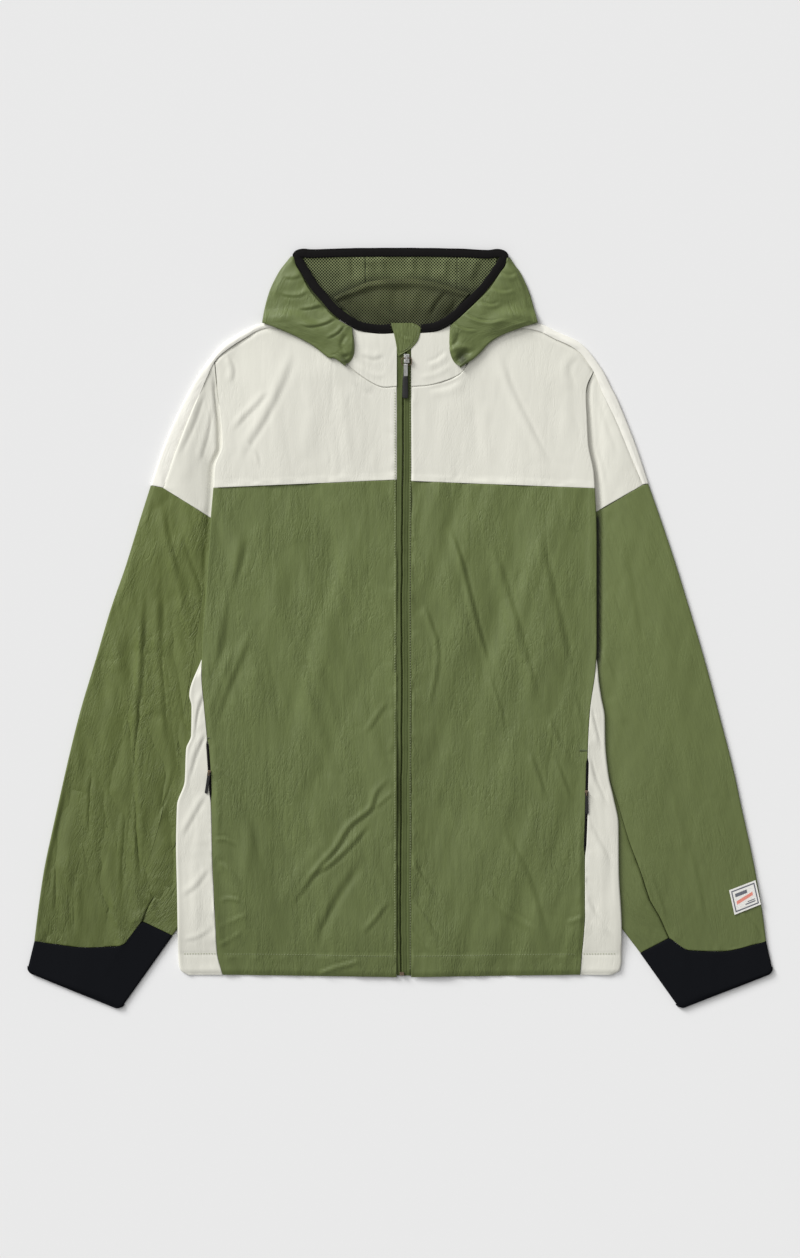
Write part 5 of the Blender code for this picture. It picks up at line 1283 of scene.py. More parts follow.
@dataclass(frozen=True)
class Badge(Finish):
    """The woven label: a border, plain dark bars and a slanted coral stripe, with no lettering.

    Its map runs from 0 to 1 across and along the label.
    """

    border: tuple = (0.012, 0.018, 0.055)
    stripe: tuple = (0.72, 0.13, 0.07)

    def band(self, g: Graph, at: object, low: float, high: float) -> Socket:
        """One between two levels and nothing outside them."""
        return g.math("MULTIPLY", g.math("GREATER_THAN", at, low), g.math("LESS_THAN", at, high))

    def box(self, g: Graph, u: object, v: object, low: Point, high: Point) -> Socket:
        """One inside a rectangle of the label."""
        return g.math("MULTIPLY", self.band(g, u, low[0], high[0]), self.band(g, v, low[1], high[1]))

    def dress(self, g: Graph, shader: bpy.types.Node) -> None:
        """The border is a box less a smaller one; the bars are boxes."""
        cloth = self.cloth(g)
        u, v, _ = g.split(cloth)
        whole = self.box(g, u, v, (0.055, 0.07), (0.945, 0.93))
        inside = self.box(g, u, v, (0.10, 0.125), (0.90, 0.875))
        line = g.math("SUBTRACT", whole, inside)
        bar = self.box(g, u, v, (0.17, 0.64), (0.62, 0.78))
        small = self.box(g, u, v, (0.46, 0.20), (0.84, 0.25))
        lower = self.box(g, u, v, (0.56, 0.28), (0.84, 0.32))
        slope = g.math("MULTIPLY_ADD", u, -0.22, v)
        coral = self.box(g, u, slope, (0.17, 0.30), (0.80, 0.44))
        ink = g.math("ADD", g.math("ADD", g.math("ADD", line, bar), small), lower, clamp=True)
        weave = g.group(plain_weave(), Cloth=cloth, Across=0.022, Along=0.026)
        dark, light = self.shades(0.05)
        ground = g.mix(weave.outputs["Shade"], dark, light)
        marked = g.mix(g.math("MULTIPLY", ink, 0.85), ground, (*self.border, 1.0))
        dyed = g.mix(g.math("MULTIPLY", coral, 0.80), marked, (*self.stripe, 1.0))
        g.put(shader.inputs["Base Color"], dyed)
        g.put(shader.inputs["Normal"], g.bump(weave.outputs["Height"], 0.00010))


GREEN = Nylon("green nylon", "green_nylon", (0.120, 0.151, 0.047), 0.55)
GREEN_HOOD = Nylon("green nylon of the hood", "green_nylon", (0.121, 0.153, 0.049), 0.52, streaks=0.8)
GREEN_SLEEVE = Nylon(
    "green nylon of the sleeves", "green_nylon", (0.119, 0.149, 0.047), 0.55, 0.00045, spread=0.12
)
GREEN_CRUSHED = Nylon("green nylon, more crushed", "green_nylon", (0.117, 0.147, 0.037), 0.55, 0.0010)
OFF_WHITE = Nylon("off-white nylon", "off_white_nylon", (0.70, 0.69, 0.61), 0.58, 0.00026, 0.5, spread=0.03)
LIGHT = Nylon("light strip", "light_strip", (0.82, 0.805, 0.73), 0.58, 0.0004, 0.4, spread=0.03)
KNIT = Woven("black stretch cuff", "black_stretch", (0.0040, 0.0046, 0.0064), 0.85, 0.0011, 0.0011, shine=0.1)
TRIM = Woven(
    "black elastic binding", "black_binding", (0.0062, 0.0056, 0.0056), 0.8, 0.0012, 0.0012, shine=0.1
)
NETTING = Netting("green mesh", "green_mesh", (0.235, 0.272, 0.120), 0.8)
# the same mesh as NETTING, painted about half as light: painted shade inside the neck
SHADED_NECK_NETTING = Netting("green mesh of the neck", "green_mesh", (0.124, 0.138, 0.058), 0.8)
TAPE = Woven("green zip tape", "zip_tape", (0.079, 0.102, 0.030), 0.75, across=0.0011, along=0.0011)
SILVER = Hard("brushed silver", "silver_metal", (0.62, 0.62, 0.60), 0.30, metal=1.0)
BRONZE = Hard("antique bronze", "bronze_metal", (0.27, 0.20, 0.14), 0.36, metal=1.0)
BLACK = Hard("black moulding", "black_moulding", (0.010, 0.0095, 0.0095), 0.42)
GREEN_THREAD = Thread("green thread", "green_nylon", (0.195, 0.225, 0.112), 0.6)
PALE_THREAD = Thread("pale green thread", "green_nylon", (0.26, 0.295, 0.16), 0.6)
TACK_THREAD = Thread("dark green thread", "green_nylon", (0.075, 0.095, 0.036), 0.6)
BADGE = Badge("woven label", "label", (0.78, 0.77, 0.73), 0.75)


# --- The two sides --------------------------------------------------------------------------------


class Side(Enum):
    """The wearer's right or left."""

    RIGHT = "right"
    LEFT = "left"

    @property
    def sign(self) -> float:
        """Which way X runs from the centre line to this side."""
        return -1.0 if self is Side.RIGHT else 1.0

    def pick(self, right: object, left: object) -> object:
        """The one of two things that belongs to this side."""
        return right if self is Side.RIGHT else left


def body_line(side: Side, which: str, y: Array) -> Array:
    """Distance from the centre line to one of the body's lines at a level."""
    table = side.pick(YOKE_SIDE_RIGHT, YOKE_SIDE_LEFT)
    name = f"{which}_{side.value}"
    levels, reach = listed(BODY, "y")[::-1], listed(BODY, name)[::-1]
    if which == "front":
        levels, reach = np.append(levels, listed(table, "y")), np.append(reach, listed(table, "x"))
    return curve(y, levels, reach)


MOUTH_SHOWS = {Side.RIGHT: (-121.0, -192.0), Side.LEFT: (-141.0, -252.0)}


def mouth(side: Side, y: Array) -> Array:
    """How far a pocket's lips stand back from the seam at a level; elsewhere they have closed."""
    top, foot = MOUTH_SHOWS[side]
    ends = ease((top - y) / 7.0) * ease((y - foot) / 16.0)
    return POCKET_MOUTH * ends


def darker_down_the_front(y: Array) -> Array:
    """The fronts' tone: a little darker down the body, and more so in the hem."""
    return 1.0 - 0.10 * ease((-20.0 - y) / 260.0) - 0.02 * ease((HEM_STITCH_Y - y) / 1.5)


def hem_level(x: Array) -> Array:
    """The hem's lower edge, which sags a little towards the zip."""
    return HEM_Y - HEM_SAG * (1.0 - ease(np.abs(x) / 190.0))


# --- Body -----------------------------------------------------------------------------------------

ZIP_STITCH_RIGHT = -5.6
ZIP_STITCH_LEFT = 11.2

FRONT_RIGHT = Relief(
    creases=(
        sharp(3.2, 1.5, (-5, -160), (-24, -180), (-31, -199), (-54, -218), (-69, -242), (-88, -263),
            (-107, -290), (-124, -312)),
        sharp(2.2, 0.8, (-6, -180), (-16, -189), (-28, -200)),
        sharp(3, 0.8, (-12, -80), (-24, -98), (-37, -118)),
        sharp(3.2, 0.9, (-10, -298), (-24, -318), (-41, -338)),
        soft(14, 1.2, (-40, 132), (-66, 40), (-90, -42), (-104, -128)),
        soft(9, -0.8, (-62, 128), (-84, 30), (-112, -60), (-128, -150)),
        sharp(7, 1.3, (-163, 120), (-180, 48), (-194, -16), (-207, -60)),
        sharp(6, 1, (-148, 18), (-170, -28), (-188, -68), (-204, -116)),
        sharp(5, 0.8, (-178, -20), (-195, -62), (-208, -104)),
        soft(12, 0.9, (-118, 110), (-140, 20), (-160, -60), (-178, -150)),
        soft(10, -0.7, (-30, -30), (-62, -96), (-92, -170), (-120, -240)),
        soft(8, 0.8, (-76, -226), (-104, -262), (-136, -312)),
        sharp(6, 0.7, (-44, -262), (-70, -300), (-92, -340)),
        sharp(3, 0.7, (-203, -326), (-184, -317), (-166, -309)),
        sharp(2.6, 0.6, (-204, -148), (-190, -156), (-176, -170)),
        sharp(3, 0.6, (-202, -252), (-186, -262), (-172, -280)),
        soft(7, 0.7, (-150, -180), (-166, -240), (-176, -300)),
        sharp(2.4, 1.3, (-94, -379), (-76, -371), (-58, -366), (-40, -360)),
        sharp(2.2, 1, (-205, -230), (-192, -228), (-178, -236)),
        sharp(2.2, 1, (-203, -300), (-188, -293), (-170, -298)),
        sharp(2, 0.9, (-202, -346), (-186, -338), (-174, -328)),
        sharp(3.4, 1.2, (-30, -212), (-52, -238), (-78, -262), (-104, -276)),
        soft(4.5, -1.1, (-36, -250), (-66, -290), (-84, -330), (-92, -366)),
    ),
    puckers=(
        Pucker(8, 9, 0.55, 21, ((-5, 150), (-5, -375))),
        Pucker(9, 13, 0.55, 22, ((-205, 156), (-109, 161), (-4, 163.6))),
        Pucker(9, 10, 0.45, 23, ((-200, -358), (-100, -359), (-6, -359))),
        Pucker(10, 12, 0.5, 24, ((-214, -50), (-209, -160), (-206, -250), (-197, -376))),
    ),
    bold=1.35, bands=1.0, band_lean=-19.0, seed=31,
)
FRONT_LEFT = Relief(
    creases=(
        sharp(3.6, 1.5, (56, 116), (64, 92), (73, 62), (82, 24), (90, -6), (104, -52)),
        sharp(3, 1, (25, 34), (36, 6), (44, -25), (38, -68), (30, -92)),
        sharp(3, 0.7, (100, -48), (112, -88), (116, -120)),
        sharp(6, 1, (101, 108), (122, 38), (143, -36), (158, -92)),
        sharp(6, 1, (154, 110), (172, 36), (186, -22), (196, -62)),
        sharp(4, 0.9, (144, -132), (154, -160), (163, -190)),
        sharp(3.4, 0.8, (172, -140), (181, -164), (190, -188)),
        sharp(6, 0.9, (114, -214), (130, -244), (146, -278), (158, -320), (165, -348)),
        sharp(4, 0.9, (95, -274), (110, -300), (128, -314), (152, -330)),
        sharp(3, 1, (15, -252), (26, -272), (40, -292)), sharp(3, 1, (16, -298), (28, -314), (42, -336)),
        sharp(2.6, 0.7, (15, -330), (24, -342), (34, -352)),
        sharp(3, 0.7, (182, -320), (192, -316), (203, -312)),
        soft(14, 1.1, (40, 130), (62, 30), (84, -60), (112, -150)),
        soft(10, -0.7, (80, 126), (106, 20), (134, -80), (150, -160)),
        soft(12, 0.8, (128, 120), (150, 40), (172, -50), (184, -120)),
        soft(16, 0.7, (60, -90), (88, -180), (112, -270), (126, -340)),
        sharp(5, 0.7, (192, -58), (200, -92), (204, -130)),
        sharp(4, 0.7, (166, -96), (180, -128), (196, -150)),
    ),
    puckers=(
        Pucker(8, 10, 0.6, 41, ((14, 150), (14, -375))),
        Pucker(9, 12, 0.5, 42, ((12, 162.5), (80, 162), (165, 157), (213, 154.6))),
        Pucker(9, 10, 0.45, 43, ((200, -358), (100, -359), (14, -359))),
        Pucker(10, 12, 0.5, 44, ((214, -50), (206, -140), (203, -250), (199, -376))),
    ),
    bold=1.35, bands=1.0, band_lean=16.0, seed=51,
)
YOKE_RIGHT_RELIEF = Relief(
    bold=1.0,
    creases=(
        sharp(4, 0.9, (-189, 302), (-182, 286), (-184, 268)),
        sharp(4, 0.9, (-142, 262), (-158, 244), (-172, 230), (-184, 214)),
        sharp(6, 1.1, (-113, 308), (-128, 268), (-146, 232), (-164, 203), (-174, 180)),
        soft(9, 0.8, (-96, 300), (-98, 240), (-104, 180)),
        soft(7, 0.6, (-62, 270), (-60, 220), (-56, 176)),
        sharp(3, 0.6, (-168, 206), (-158, 196), (-152, 178)),
        sharp(6, 0.5, (-30, 258), (-40, 262), (-52, 274)),
    ),
    puckers=(
        Pucker(9, 14, 0.4, 62, ((-205, 157), (-109, 163), (-4, 166))),
        Pucker(8, 8, 0.35, 63, ((-5, 166), (-5, 262))),
    ),
    bands=0.5, band_lean=-6.0, crumple=0.10, seed=61,
)
YOKE_LEFT_RELIEF = Relief(
    bold=0.75,
    creases=(
        sharp(5, 1.3, (112, 306), (120, 276), (132, 248), (147, 218), (160, 192), (168, 176)),
        soft(7, 0.8, (92, 252), (94, 214), (98, 176)), soft(8, 0.7, (70, 262), (72, 214), (70, 172)),
        sharp(6, 0.7, (196, 300), (186, 286), (192, 262)),
        soft(9, 0.7, (176, 300), (180, 250), (186, 196)), sharp(5, 0.6, (30, 262), (52, 266), (70, 276)),
    ),
    puckers=(
        Pucker(9, 13, 0.4, 72, ((12, 165), (80, 164), (165, 159), (213, 157))),
        Pucker(8, 8, 0.35, 73, ((14, 166), (14, 262))),
    ),
    bands=0.45, band_lean=7.0, crumple=0.10, seed=71,
)
PANEL_RIGHT_RELIEF = Relief(
    bold=1.0,
    creases=(
        sharp(3.5, 1, (-213, -66), (-222, -92), (-226, -120)),
        sharp(4, 1, (-212, -112), (-224, -140), (-232, -168)),
        sharp(4, 0.9, (-211, -180), (-226, -206), (-240, -232)),
        sharp(4, 0.8, (-208, -262), (-222, -282), (-240, -296)),
        sharp(3, 0.6, (-206, -330), (-222, -340), (-240, -344)),
        soft(6, 0.8, (-220, -200), (-224, -280), (-222, -360)),
    ),
    puckers=(Pucker(7, 12, 0.5, 81, ((-216, -50), (-210, -160), (-206, -280), (-200, -378))),),
    bands=0.5, band_lean=-8.0, crumple=0.11, seed=80,
)
PANEL_LEFT_RELIEF = Relief(
    bold=0.9,
    creases=(
        sharp(3.2, 0.9, (210, -84), (216, -110), (222, -132)),
        sharp(3.6, 0.9, (208, -136), (216, -166), (230, -196)),
        sharp(4, 0.8, (206, -206), (220, -232), (236, -262)),
        sharp(4, 0.8, (205, -290), (218, -316), (236, -336)),
        soft(6, 0.8, (218, -220), (222, -300), (220, -366)),
    ),
    puckers=(Pucker(7, 12, 0.5, 85, ((212, -50), (206, -160), (204, -280), (200, -378))),),
    bands=0.5, band_lean=8.0, crumple=0.11, seed=84,
)
BACK_RELIEF = Relief(
    creases=(
        soft(7, -1.2, (-60, 140), (-76, 20), (-96, -120), (-104, -240)),
        soft(6, -1.1, (38, 130), (58, 10), (74, -140), (96, -270)),
        soft(5, -1, (-150, 120), (-138, 0), (-146, -110)),
        soft(5, -1, (140, 136), (150, 30), (142, -96), (150, -180)),
        soft(3.5, -0.9, (-20, -180), (-58, -230), (-88, -300)),
        soft(3.5, -0.9, (24, -206), (66, -262), (92, -330)),
        soft(4, -0.8, (-120, -260), (-146, -316), (-150, -360)),
        soft(3, -0.8, (-6, 60), (-18, 0), (-10, -70)),
    ),
    puckers=(Pucker(9, 14, 0.5, 91, ((-170, 157), (0, 157), (170, 157))),),
    bands=0.5, band_lean=6.0, seed=90,
)


SIDE_FOLD_RIGHT = (  # level, then the distance out to the side fold
    (76.0, 180.0), (29.0, 200.0), (-20.0, 212.0), (-36.0, 219.0), (-73.0, 231.5), (-85.0, 229.0),
    (-117.0, 229.5),
    (-132.0, 235.0), (-167.0, 236.5), (-194.0, 245.0), (-239.0, 246.0), (-286.0, 245.0), (-364.0, 243.5),
    (-375.0, 241.5), (HEM_Y, 233.5),
)
SIDE_FOLD_LEFT = (
    (76.0, 180.0), (29.0, 200.0), (-20.0, 212.0), (-40.0, 217.0), (-57.0, 218.5), (-74.0, 221.0),
    (-97.0, 225.0),
    (-124.0, 225.5), (-160.0, 229.0), (-187.0, 235.0), (-214.0, 240.0), (-266.0, 240.5), (-329.0, 243.5),
    (-364.0, 243.5), (-375.0, 241.5), (HEM_Y, 233.5),
)


@dataclass
class Body:
    """Fronts, yokes, side panels and back: the part between the sleeves and below the neck."""

    cell: float = CELL
    hidden_cell: float = 4.5
    edge_turn: float = 0.55  # radius of a front's edge where it meets the side panel
    seam_side: tuple = (155.0, 154.6)
    seam_zip: tuple = (164.0, 162.5)
    width: float = 205.0  # of a front, which sets how close its columns lie
    hem_rise: float = 0.45  # how much thicker the hem's fold makes it
    stitch_sink: float = 0.35
    lap: float = 1.0  # how far the yoke runs on under the strip and the collar

    def hem_form(self, x: Array, y: Array) -> Array:
        """The hem: a double layer below its stitches, which pull it in along their line."""
        double = self.hem_rise * ease((HEM_STITCH_Y + 2.0 - y) / 4.0)
        line = self.stitch_sink * bell(y - HEM_STITCH_Y, 1.6)
        close = 1.5 * ease((hem_level(x) + 5.0 - y) / 5.0)
        return double - line - close

    def zip_form(self, x: Array, y: Array) -> Array:
        """The fronts beside the zip: their stitches pull them in, and their edges are folds."""
        stitch = np.minimum(np.abs(x - ZIP_STITCH_RIGHT), np.abs(x - ZIP_STITCH_LEFT))
        sunk = 0.30 * bell(stitch, 1.2)
        fold = 0.35 * bell(np.abs(x - 4.35) - 11.0, 3.0)
        return (fold - sunk) * ease((268.0 - y) / 6.0)

    def front(self, side: Side) -> None:
        """The green front, from the yoke seam to the hem, with its edge rolled over the side.

        Its rows run from the side edge to the zip, straight across, and follow the hem's sag.
        """
        relief = side.pick(FRONT_RIGHT, FRONT_LEFT)
        near_zip = side.pick(-ZIP_RIGHT, ZIP_LEFT) + SEAM
        shares = edged(540.0, self.cell)
        seam_side = side.pick(*self.seam_side) - HALF_SEAM
        seam_zip = side.pick(*self.seam_zip) - HALF_SEAM
        edge_y = seam_side + (hem_level(np.array(198.0)) - seam_side) * shares
        zip_y = seam_zip + (hem_level(np.array(8.0)) - seam_zip) * shares
        free = ease((edge_y - FLUSH_BELOW) / 16.0)
        radius = self.edge_turn + (ROLL / 2.0 - self.edge_turn) * free
        back = (HALF_SEAM + mouth(side, edge_y)) * (1.0 - free)
        rim = np.stack([body_line(side, "front", edge_y) - back, edge_y], axis=-1)
        end = np.stack([np.full(len(shares), near_zip), zip_y], axis=-1)
        rim, end = mirrored(rim, side), mirrored(end, side)
        inward = toward_middle(side, len(rim))
        start = rim + inward * radius[:, None] * 1.02
        across = edged(self.width, self.cell, first=False)
        plan = lines(start, end, across)
        x, y = plan[..., 0], plan[..., 1]
        flat_z = front_top(x, y)
        fade = ease(across * self.width / 5.0)[None]
        # the side panel lies close under the edge, so the troughs are shallower there
        deepest = -1.0 - 2.0 * ease((150.0 - np.abs(x)) / 20.0)
        z = flat_z + np.maximum(relief.at(x, y), deepest) * fade + self.hem_form(x, y) + self.zip_form(x, y)
        z = z + 0.5 * bell(across[None] * self.width - 4.0, 4.0)
        over = turned_down(lifted(plan, z), True, False)
        over[:, -1, 2] -= 0.45
        high = over[:, 0, 2]
        grid = folded(rim, inward, high - 2.0 * radius, high, None, over)
        flat = folded(rim, inward, high - 2.0 * radius, high, None, lifted(plan, flat_z))
        tone = darker_down_the_front(grid[..., 1])
        if side is Side.LEFT:
            tone = tone - 0.06 * bell(grid[..., 1] + 60.0, 110.0)
        name = f"front_{side.value}"
        sewn(name, grid, GREEN, uv=plan_map(grid), flat=flat, tone=tone)

    def front_yoke(self, side: Side) -> None:
        """The off-white yoke, stretched between the seam, the armhole, the strip and the neck."""
        strip = side.pick(SHOULDER_RIGHT, SHOULDER_LEFT)
        neck = side.pick(YOKE_NECK_RIGHT, YOKE_NECK_LEFT)
        armhole = side.pick(YOKE_SIDE_RIGHT, YOKE_SIDE_LEFT)
        seam_side, seam_zip = side.pick(*self.seam_side), side.pick(*self.seam_zip)
        stop = (neck[0].top_x - strip[0].front_x) / (strip[1].front_x - strip[0].front_x)
        beside = through(columns_of(strip, "front_x", "front_y"), np.linspace(ARMHOLE_AT, stop, 60))
        neck_line = smooth_at(columns_of(neck, "top_x", "top_y"), edged(110.0, self.cell, first=False))
        top = np.concatenate([beside, neck_line[1:]]) + (0.0, self.lap)
        top[:3, 0] -= SEAM
        reach = np.linspace(armhole[0].x, neck[0].seam_x, len(beside))
        steps = np.linspace(0.0, len(neck) - 1.0, len(neck_line))
        near = np.interp(steps, np.arange(len(neck)), listed(neck, "seam_x"))
        seam_x = np.concatenate([reach, near[1:]])
        slope = (armhole[0].x - seam_x) / (armhole[0].x - seam_x[-1])
        bottom = np.stack([seam_x, seam_side + (seam_zip - seam_side) * slope + HALF_SEAM], axis=-1)
        up = edged(140.0, self.cell)
        first = smooth_at(columns_of(armhole, "x", "y"), up)
        first[0], first[-1] = bottom[0], top[0]
        last = lines(bottom[-1:], top[-1:], up)[0]
        plan = mirrored(patch(bottom, top, first, last), side)
        rim = plan[:, 0].copy()
        free = ease((ARMHOLE_FREE_BELOW + 16.0 - rim[:, 1]) / 16.0)
        radius = 0.5 + (ROLL / 2.0 - 0.5) * free
        inward = toward_middle(side, len(rim))
        shift = np.linspace(1.0, 0.0, plan.shape[1]) ** 4
        plan[..., 0] += -side.sign * 1.02 * radius[:, None] * shift[None]
        relief = side.pick(YOKE_RIGHT_RELIEF, YOKE_LEFT_RELIEF)
        x, y = plan[..., 0], plan[..., 1]
        flat_z = front_top(x, y)
        fade = ease(np.abs(x - rim[:, None, 0]) / 5.0)
        z = flat_z + relief.at(x, y) * fade + self.zip_form(x, y)
        over = tucked(lifted(plan, z), row=-1)
        over[0, :, 2] -= 0.2
        over[:, -1, 2] -= 0.45
        high = over[:, 0, 2]
        grid = folded(rim, inward, high - 2.0 * radius, high, None, over)
        flat = folded(rim, inward, high - 2.0 * radius, high, None, lifted(plan, flat_z))
        name = f"front_yoke_{side.value}"
        above = grid[..., 1] - bottom_level(side, grid[..., 0])
        tone = 1.0 + 0.055 * ease((9.5 - above) / 1.6)
        sewn(name, grid, OFF_WHITE, uv=plan_map(grid), flat=flat, tone=tone)

    def side_panel(self, side: Side) -> None:
        """The off-white side panel, carried round the body's side fold from front to back."""
        relief = side.pick(PANEL_RIGHT_RELIEF, PANEL_LEFT_RELIEF)
        levels = SIDE_PANEL_TOP + (HEM_Y - SIDE_PANEL_TOP) * edged(456.0, self.cell, first=False)
        bends = np.array(side.pick(SIDE_FOLD_RIGHT, SIDE_FOLD_LEFT))
        fold = curve(levels, bends[::-1, 0], bends[::-1, 1])
        seam = body_line(side, "front", levels) + HALF_SEAM + mouth(side, levels)
        behind = body_line(side, "back", levels) + SEAM
        rim = mirrored(np.stack([fold, levels], axis=-1), side)
        inward = toward_middle(side, len(levels))
        low = tuck_rise(rim[:, 0], rim[:, 1])
        wrapped = ease((FLUSH_BELOW + 6.0 - levels) / 12.0)
        high = low + ROLL + (front_top(rim[:, 0], rim[:, 1]) - low - ROLL) * wrapped
        high = high - 1.4 * ease((HEM_Y + 5.0 - levels) / 5.0)
        half = (high - low) / 2.0
        start = rim + inward * half[:, None]
        foot = np.stack([np.minimum(behind, fold - half - 2.0), levels], axis=-1)
        under = lines(mirrored(foot, side), start, np.linspace(0.0, 0.93, 14))
        under = lifted(under, tuck_rise(under[..., 0], under[..., 1]))
        inner = mirrored(np.stack([np.minimum(seam, fold - half - 0.6), levels], axis=-1), side)
        over = lines(start, inner, edged(34.0, 1.7, first=False)[1:])
        x, y = over[..., 0], over[..., 1]
        fade = ease(np.abs(x - start[:, None, 0]) / 4.0)
        flat_z = front_top(x, y) - (front_top(rim[:, 0], rim[:, 1]) - high)[:, None] * (1.0 - fade)
        z = flat_z + relief.at(x, y) * fade - 0.35 * bell(y - HEM_STITCH_Y, 1.6)
        z = z - 1.4 * ease((HEM_Y + 5.0 - y) / 5.0) * fade
        over_cloth = lifted(over, z)
        over_cloth[:, -1, 2] -= 0.6
        grid = folded(rim, inward, low, high, under, over_cloth)
        flat = folded(rim, inward, low, high, under, lifted(over, flat_z))
        keep = np.ones((len(levels) - 1, grid.shape[1] - 1), bool)
        keep[levels[:-1] > FLUSH_BELOW + 16.0, under.shape[1] + FOLD_COLUMNS - 1 :] = False
        name = f"side_panel_{side.value}"
        tone = 0.95 + 0.05 * ease((HEM_STITCH_Y - grid[..., 1]) / 1.5)
        weave = weave_map(grid, under.shape[1] + FOLD_COLUMNS // 2)
        sewn(name, grid, OFF_WHITE, uv=weave, keep=keep, flat=flat, tone=tone)

    def back(self) -> None:
        """The green back on the floor, which climbs onto the sleeves along both sides."""
        shares = edged(537.0, self.hidden_cell)
        levels = BACK_YOKE_Y - HALF_SEAM + (HEM_Y - BACK_YOKE_Y + HALF_SEAM) * shares
        right = curve(levels, listed(BODY, "y")[::-1], listed(BODY, "back_right")[::-1])
        left = curve(levels, listed(BODY, "y")[::-1], listed(BODY, "back_left")[::-1])
        top = ease((levels - 120.0) / 37.0)
        right = right + (BACK_YOKE_HALF - right) * top
        left = left + (BACK_YOKE_HALF - left) * top
        across = edged(380.0, self.hidden_cell)
        x = -right[:, None] + (right + left)[:, None] * across[None]
        plan = np.stack([x, np.broadcast_to(levels[:, None], x.shape)], axis=-1)
        base = tuck_rise(plan[..., 0], plan[..., 1])
        grid = lifted(plan, base + under_relief(BACK_RELIEF, plan))
        sewn("back", grid, GREEN, uv=plan_map(grid), up=False, flat=lifted(plan, base))

    def back_yoke(self) -> None:
        """The off-white back yoke, with its neck between the two shoulder strips."""
        top, bottom = [], []
        for side in Side:
            table = side.pick(SHOULDER_RIGHT, SHOULDER_LEFT)
            tip = armhole_tip(table)
            beside = through(columns_of(table, "back_x", "back_y"), np.linspace(ARMHOLE_AT - 1.0, 0.0, 30))
            neck = [(SHOULDER_START, SHOULDER_Y), (NECK_HALF + 20.0, SHOULDER_Y), (NECK_HALF, SHOULDER_Y)]
            edge = np.concatenate([[tip - SEAM], beside - (0.0, SEAM), neck])
            base = np.linspace(BACK_YOKE_HALF, NECK_HALF, len(edge))
            foot = np.stack([base, np.full(len(edge), BACK_YOKE_Y + HALF_SEAM)], axis=-1)
            order = slice(None) if side is Side.RIGHT else slice(None, None, -1)
            top.append(mirrored(edge, side)[order])
            bottom.append(mirrored(foot, side)[order])
        between = [(x, SHOULDER_Y) for x in np.linspace(-NECK_HALF, NECK_HALF, 10)[1:-1]]
        below = [(x, BACK_YOKE_Y + HALF_SEAM) for x, _ in between]
        tops = np.concatenate([top[0], between, top[1]])
        feet = np.concatenate([bottom[0], below, bottom[1]])
        plan = lines(feet, tops, edged(170.0, self.hidden_cell)).transpose(1, 0, 2)
        relief = Relief(creases=YOKE_BACK_CREASES, puckers=BACK_RELIEF.puckers, bands=0.4, seed=96)
        grid = lifted(plan, under_relief(relief, plan))
        sewn("back_yoke", grid, OFF_WHITE, uv=plan_map(grid), up=False, flat=lifted(plan, 0.0))

    def build(self) -> None:
        """Every piece of the body."""
        self.back()
        self.back_yoke()
        for side in Side:
            self.front(side)
            self.front_yoke(side)
            self.side_panel(side)


YOKE_BACK_CREASES = (
    soft(6, -1, (-96, 320), (-110, 250), (-128, 176)),
    soft(6, -1, (84, 318), (104, 246), (122, 180)),
    soft(4, -0.8, (-30, 300), (-24, 240), (-34, 178)),
    soft(4, -0.8, (150, 300), (158, 240), (160, 186)),
)


def under_relief(relief: Relief, plan: Array) -> Array:
    """How far the cloth on the floor is raised off it: only its troughs leave the floor."""
    return np.maximum(-relief.at(plan[..., 0], plan[..., 1]) - 0.12, 0.0)


def bottom_level(side: Side, x: Array) -> Array:
    """Level of the yoke's seam at a distance across."""
    start, end = side.pick(*Body.seam_side), side.pick(*Body.seam_zip)
    return end + (start - end) * np.clip(np.abs(x) / Body.width, 0.0, 1.0)


def armhole_tip(table: Sequence) -> Array:
    """Where the back armhole seam meets the shoulder strip."""
    above, below = table[ARMHOLE_AT - 1], table[ARMHOLE_AT]
    start, end = (np.array([row.back_x, row.back_y - SEAM]) for row in (above, below))
    return start + 0.45 * (end - start)


# --- Shoulders and sleeves ------------------------------------------------------------------------

SLEEVE_RIGHT_RELIEF = Relief(
    creases=(
        sharp(4.5, 1.2, (-279, 60), (-281, 0), (-285, -78), (-289, -142), (-287, -221), (-288, -318)),
        soft(8, 0.9, (-306, 20), (-316, -70), (-322, -160), (-318, -250), (-316, -330)),
        sharp(6, 0.8, (-262, 60), (-262, -10), (-258, -80), (-256, -150)),
        sharp(4, 0.9, (-352, -262), (-356, -296), (-355, -340)),
        sharp(5, 0.8, (-240, 108), (-230, 74), (-215, 36)),
        sharp(5, 0.7, (-258, 132), (-252, 96), (-240, 52)),
        sharp(4, 0.8, (-336, -148), (-340, -196), (-338, -246)),
        sharp(3.5, 0.7, (-372, -212), (-376, -262), (-380, -320)),
        sharp(4, 0.7, (-300, -196), (-304, -246), (-306, -300)),
        soft(6, 0.6, (-268, -176), (-276, -228), (-282, -296)),
        sharp(3, 0.7, (-248, -152), (-256, -186), (-268, -220)),
    ),
    puckers=(
        Pucker(8, 20, 1, 101, ((-401, -343), (-366, -348), (-338, -351), (-311, -349), (-299, -341),
            (-284, -321))),
        Pucker(9, 9, 0.4, 102, ((-259.5, 155), (-207.6, 122))),
        Pucker(9, 10, 0.5, 103, ((-240, -228), (-260, -266), (-278, -309))),
    ),
    bold=1.9, grain=-12.0, bands=1.0, band_lean=-10.0, crumple=0.20, seed=104,
)
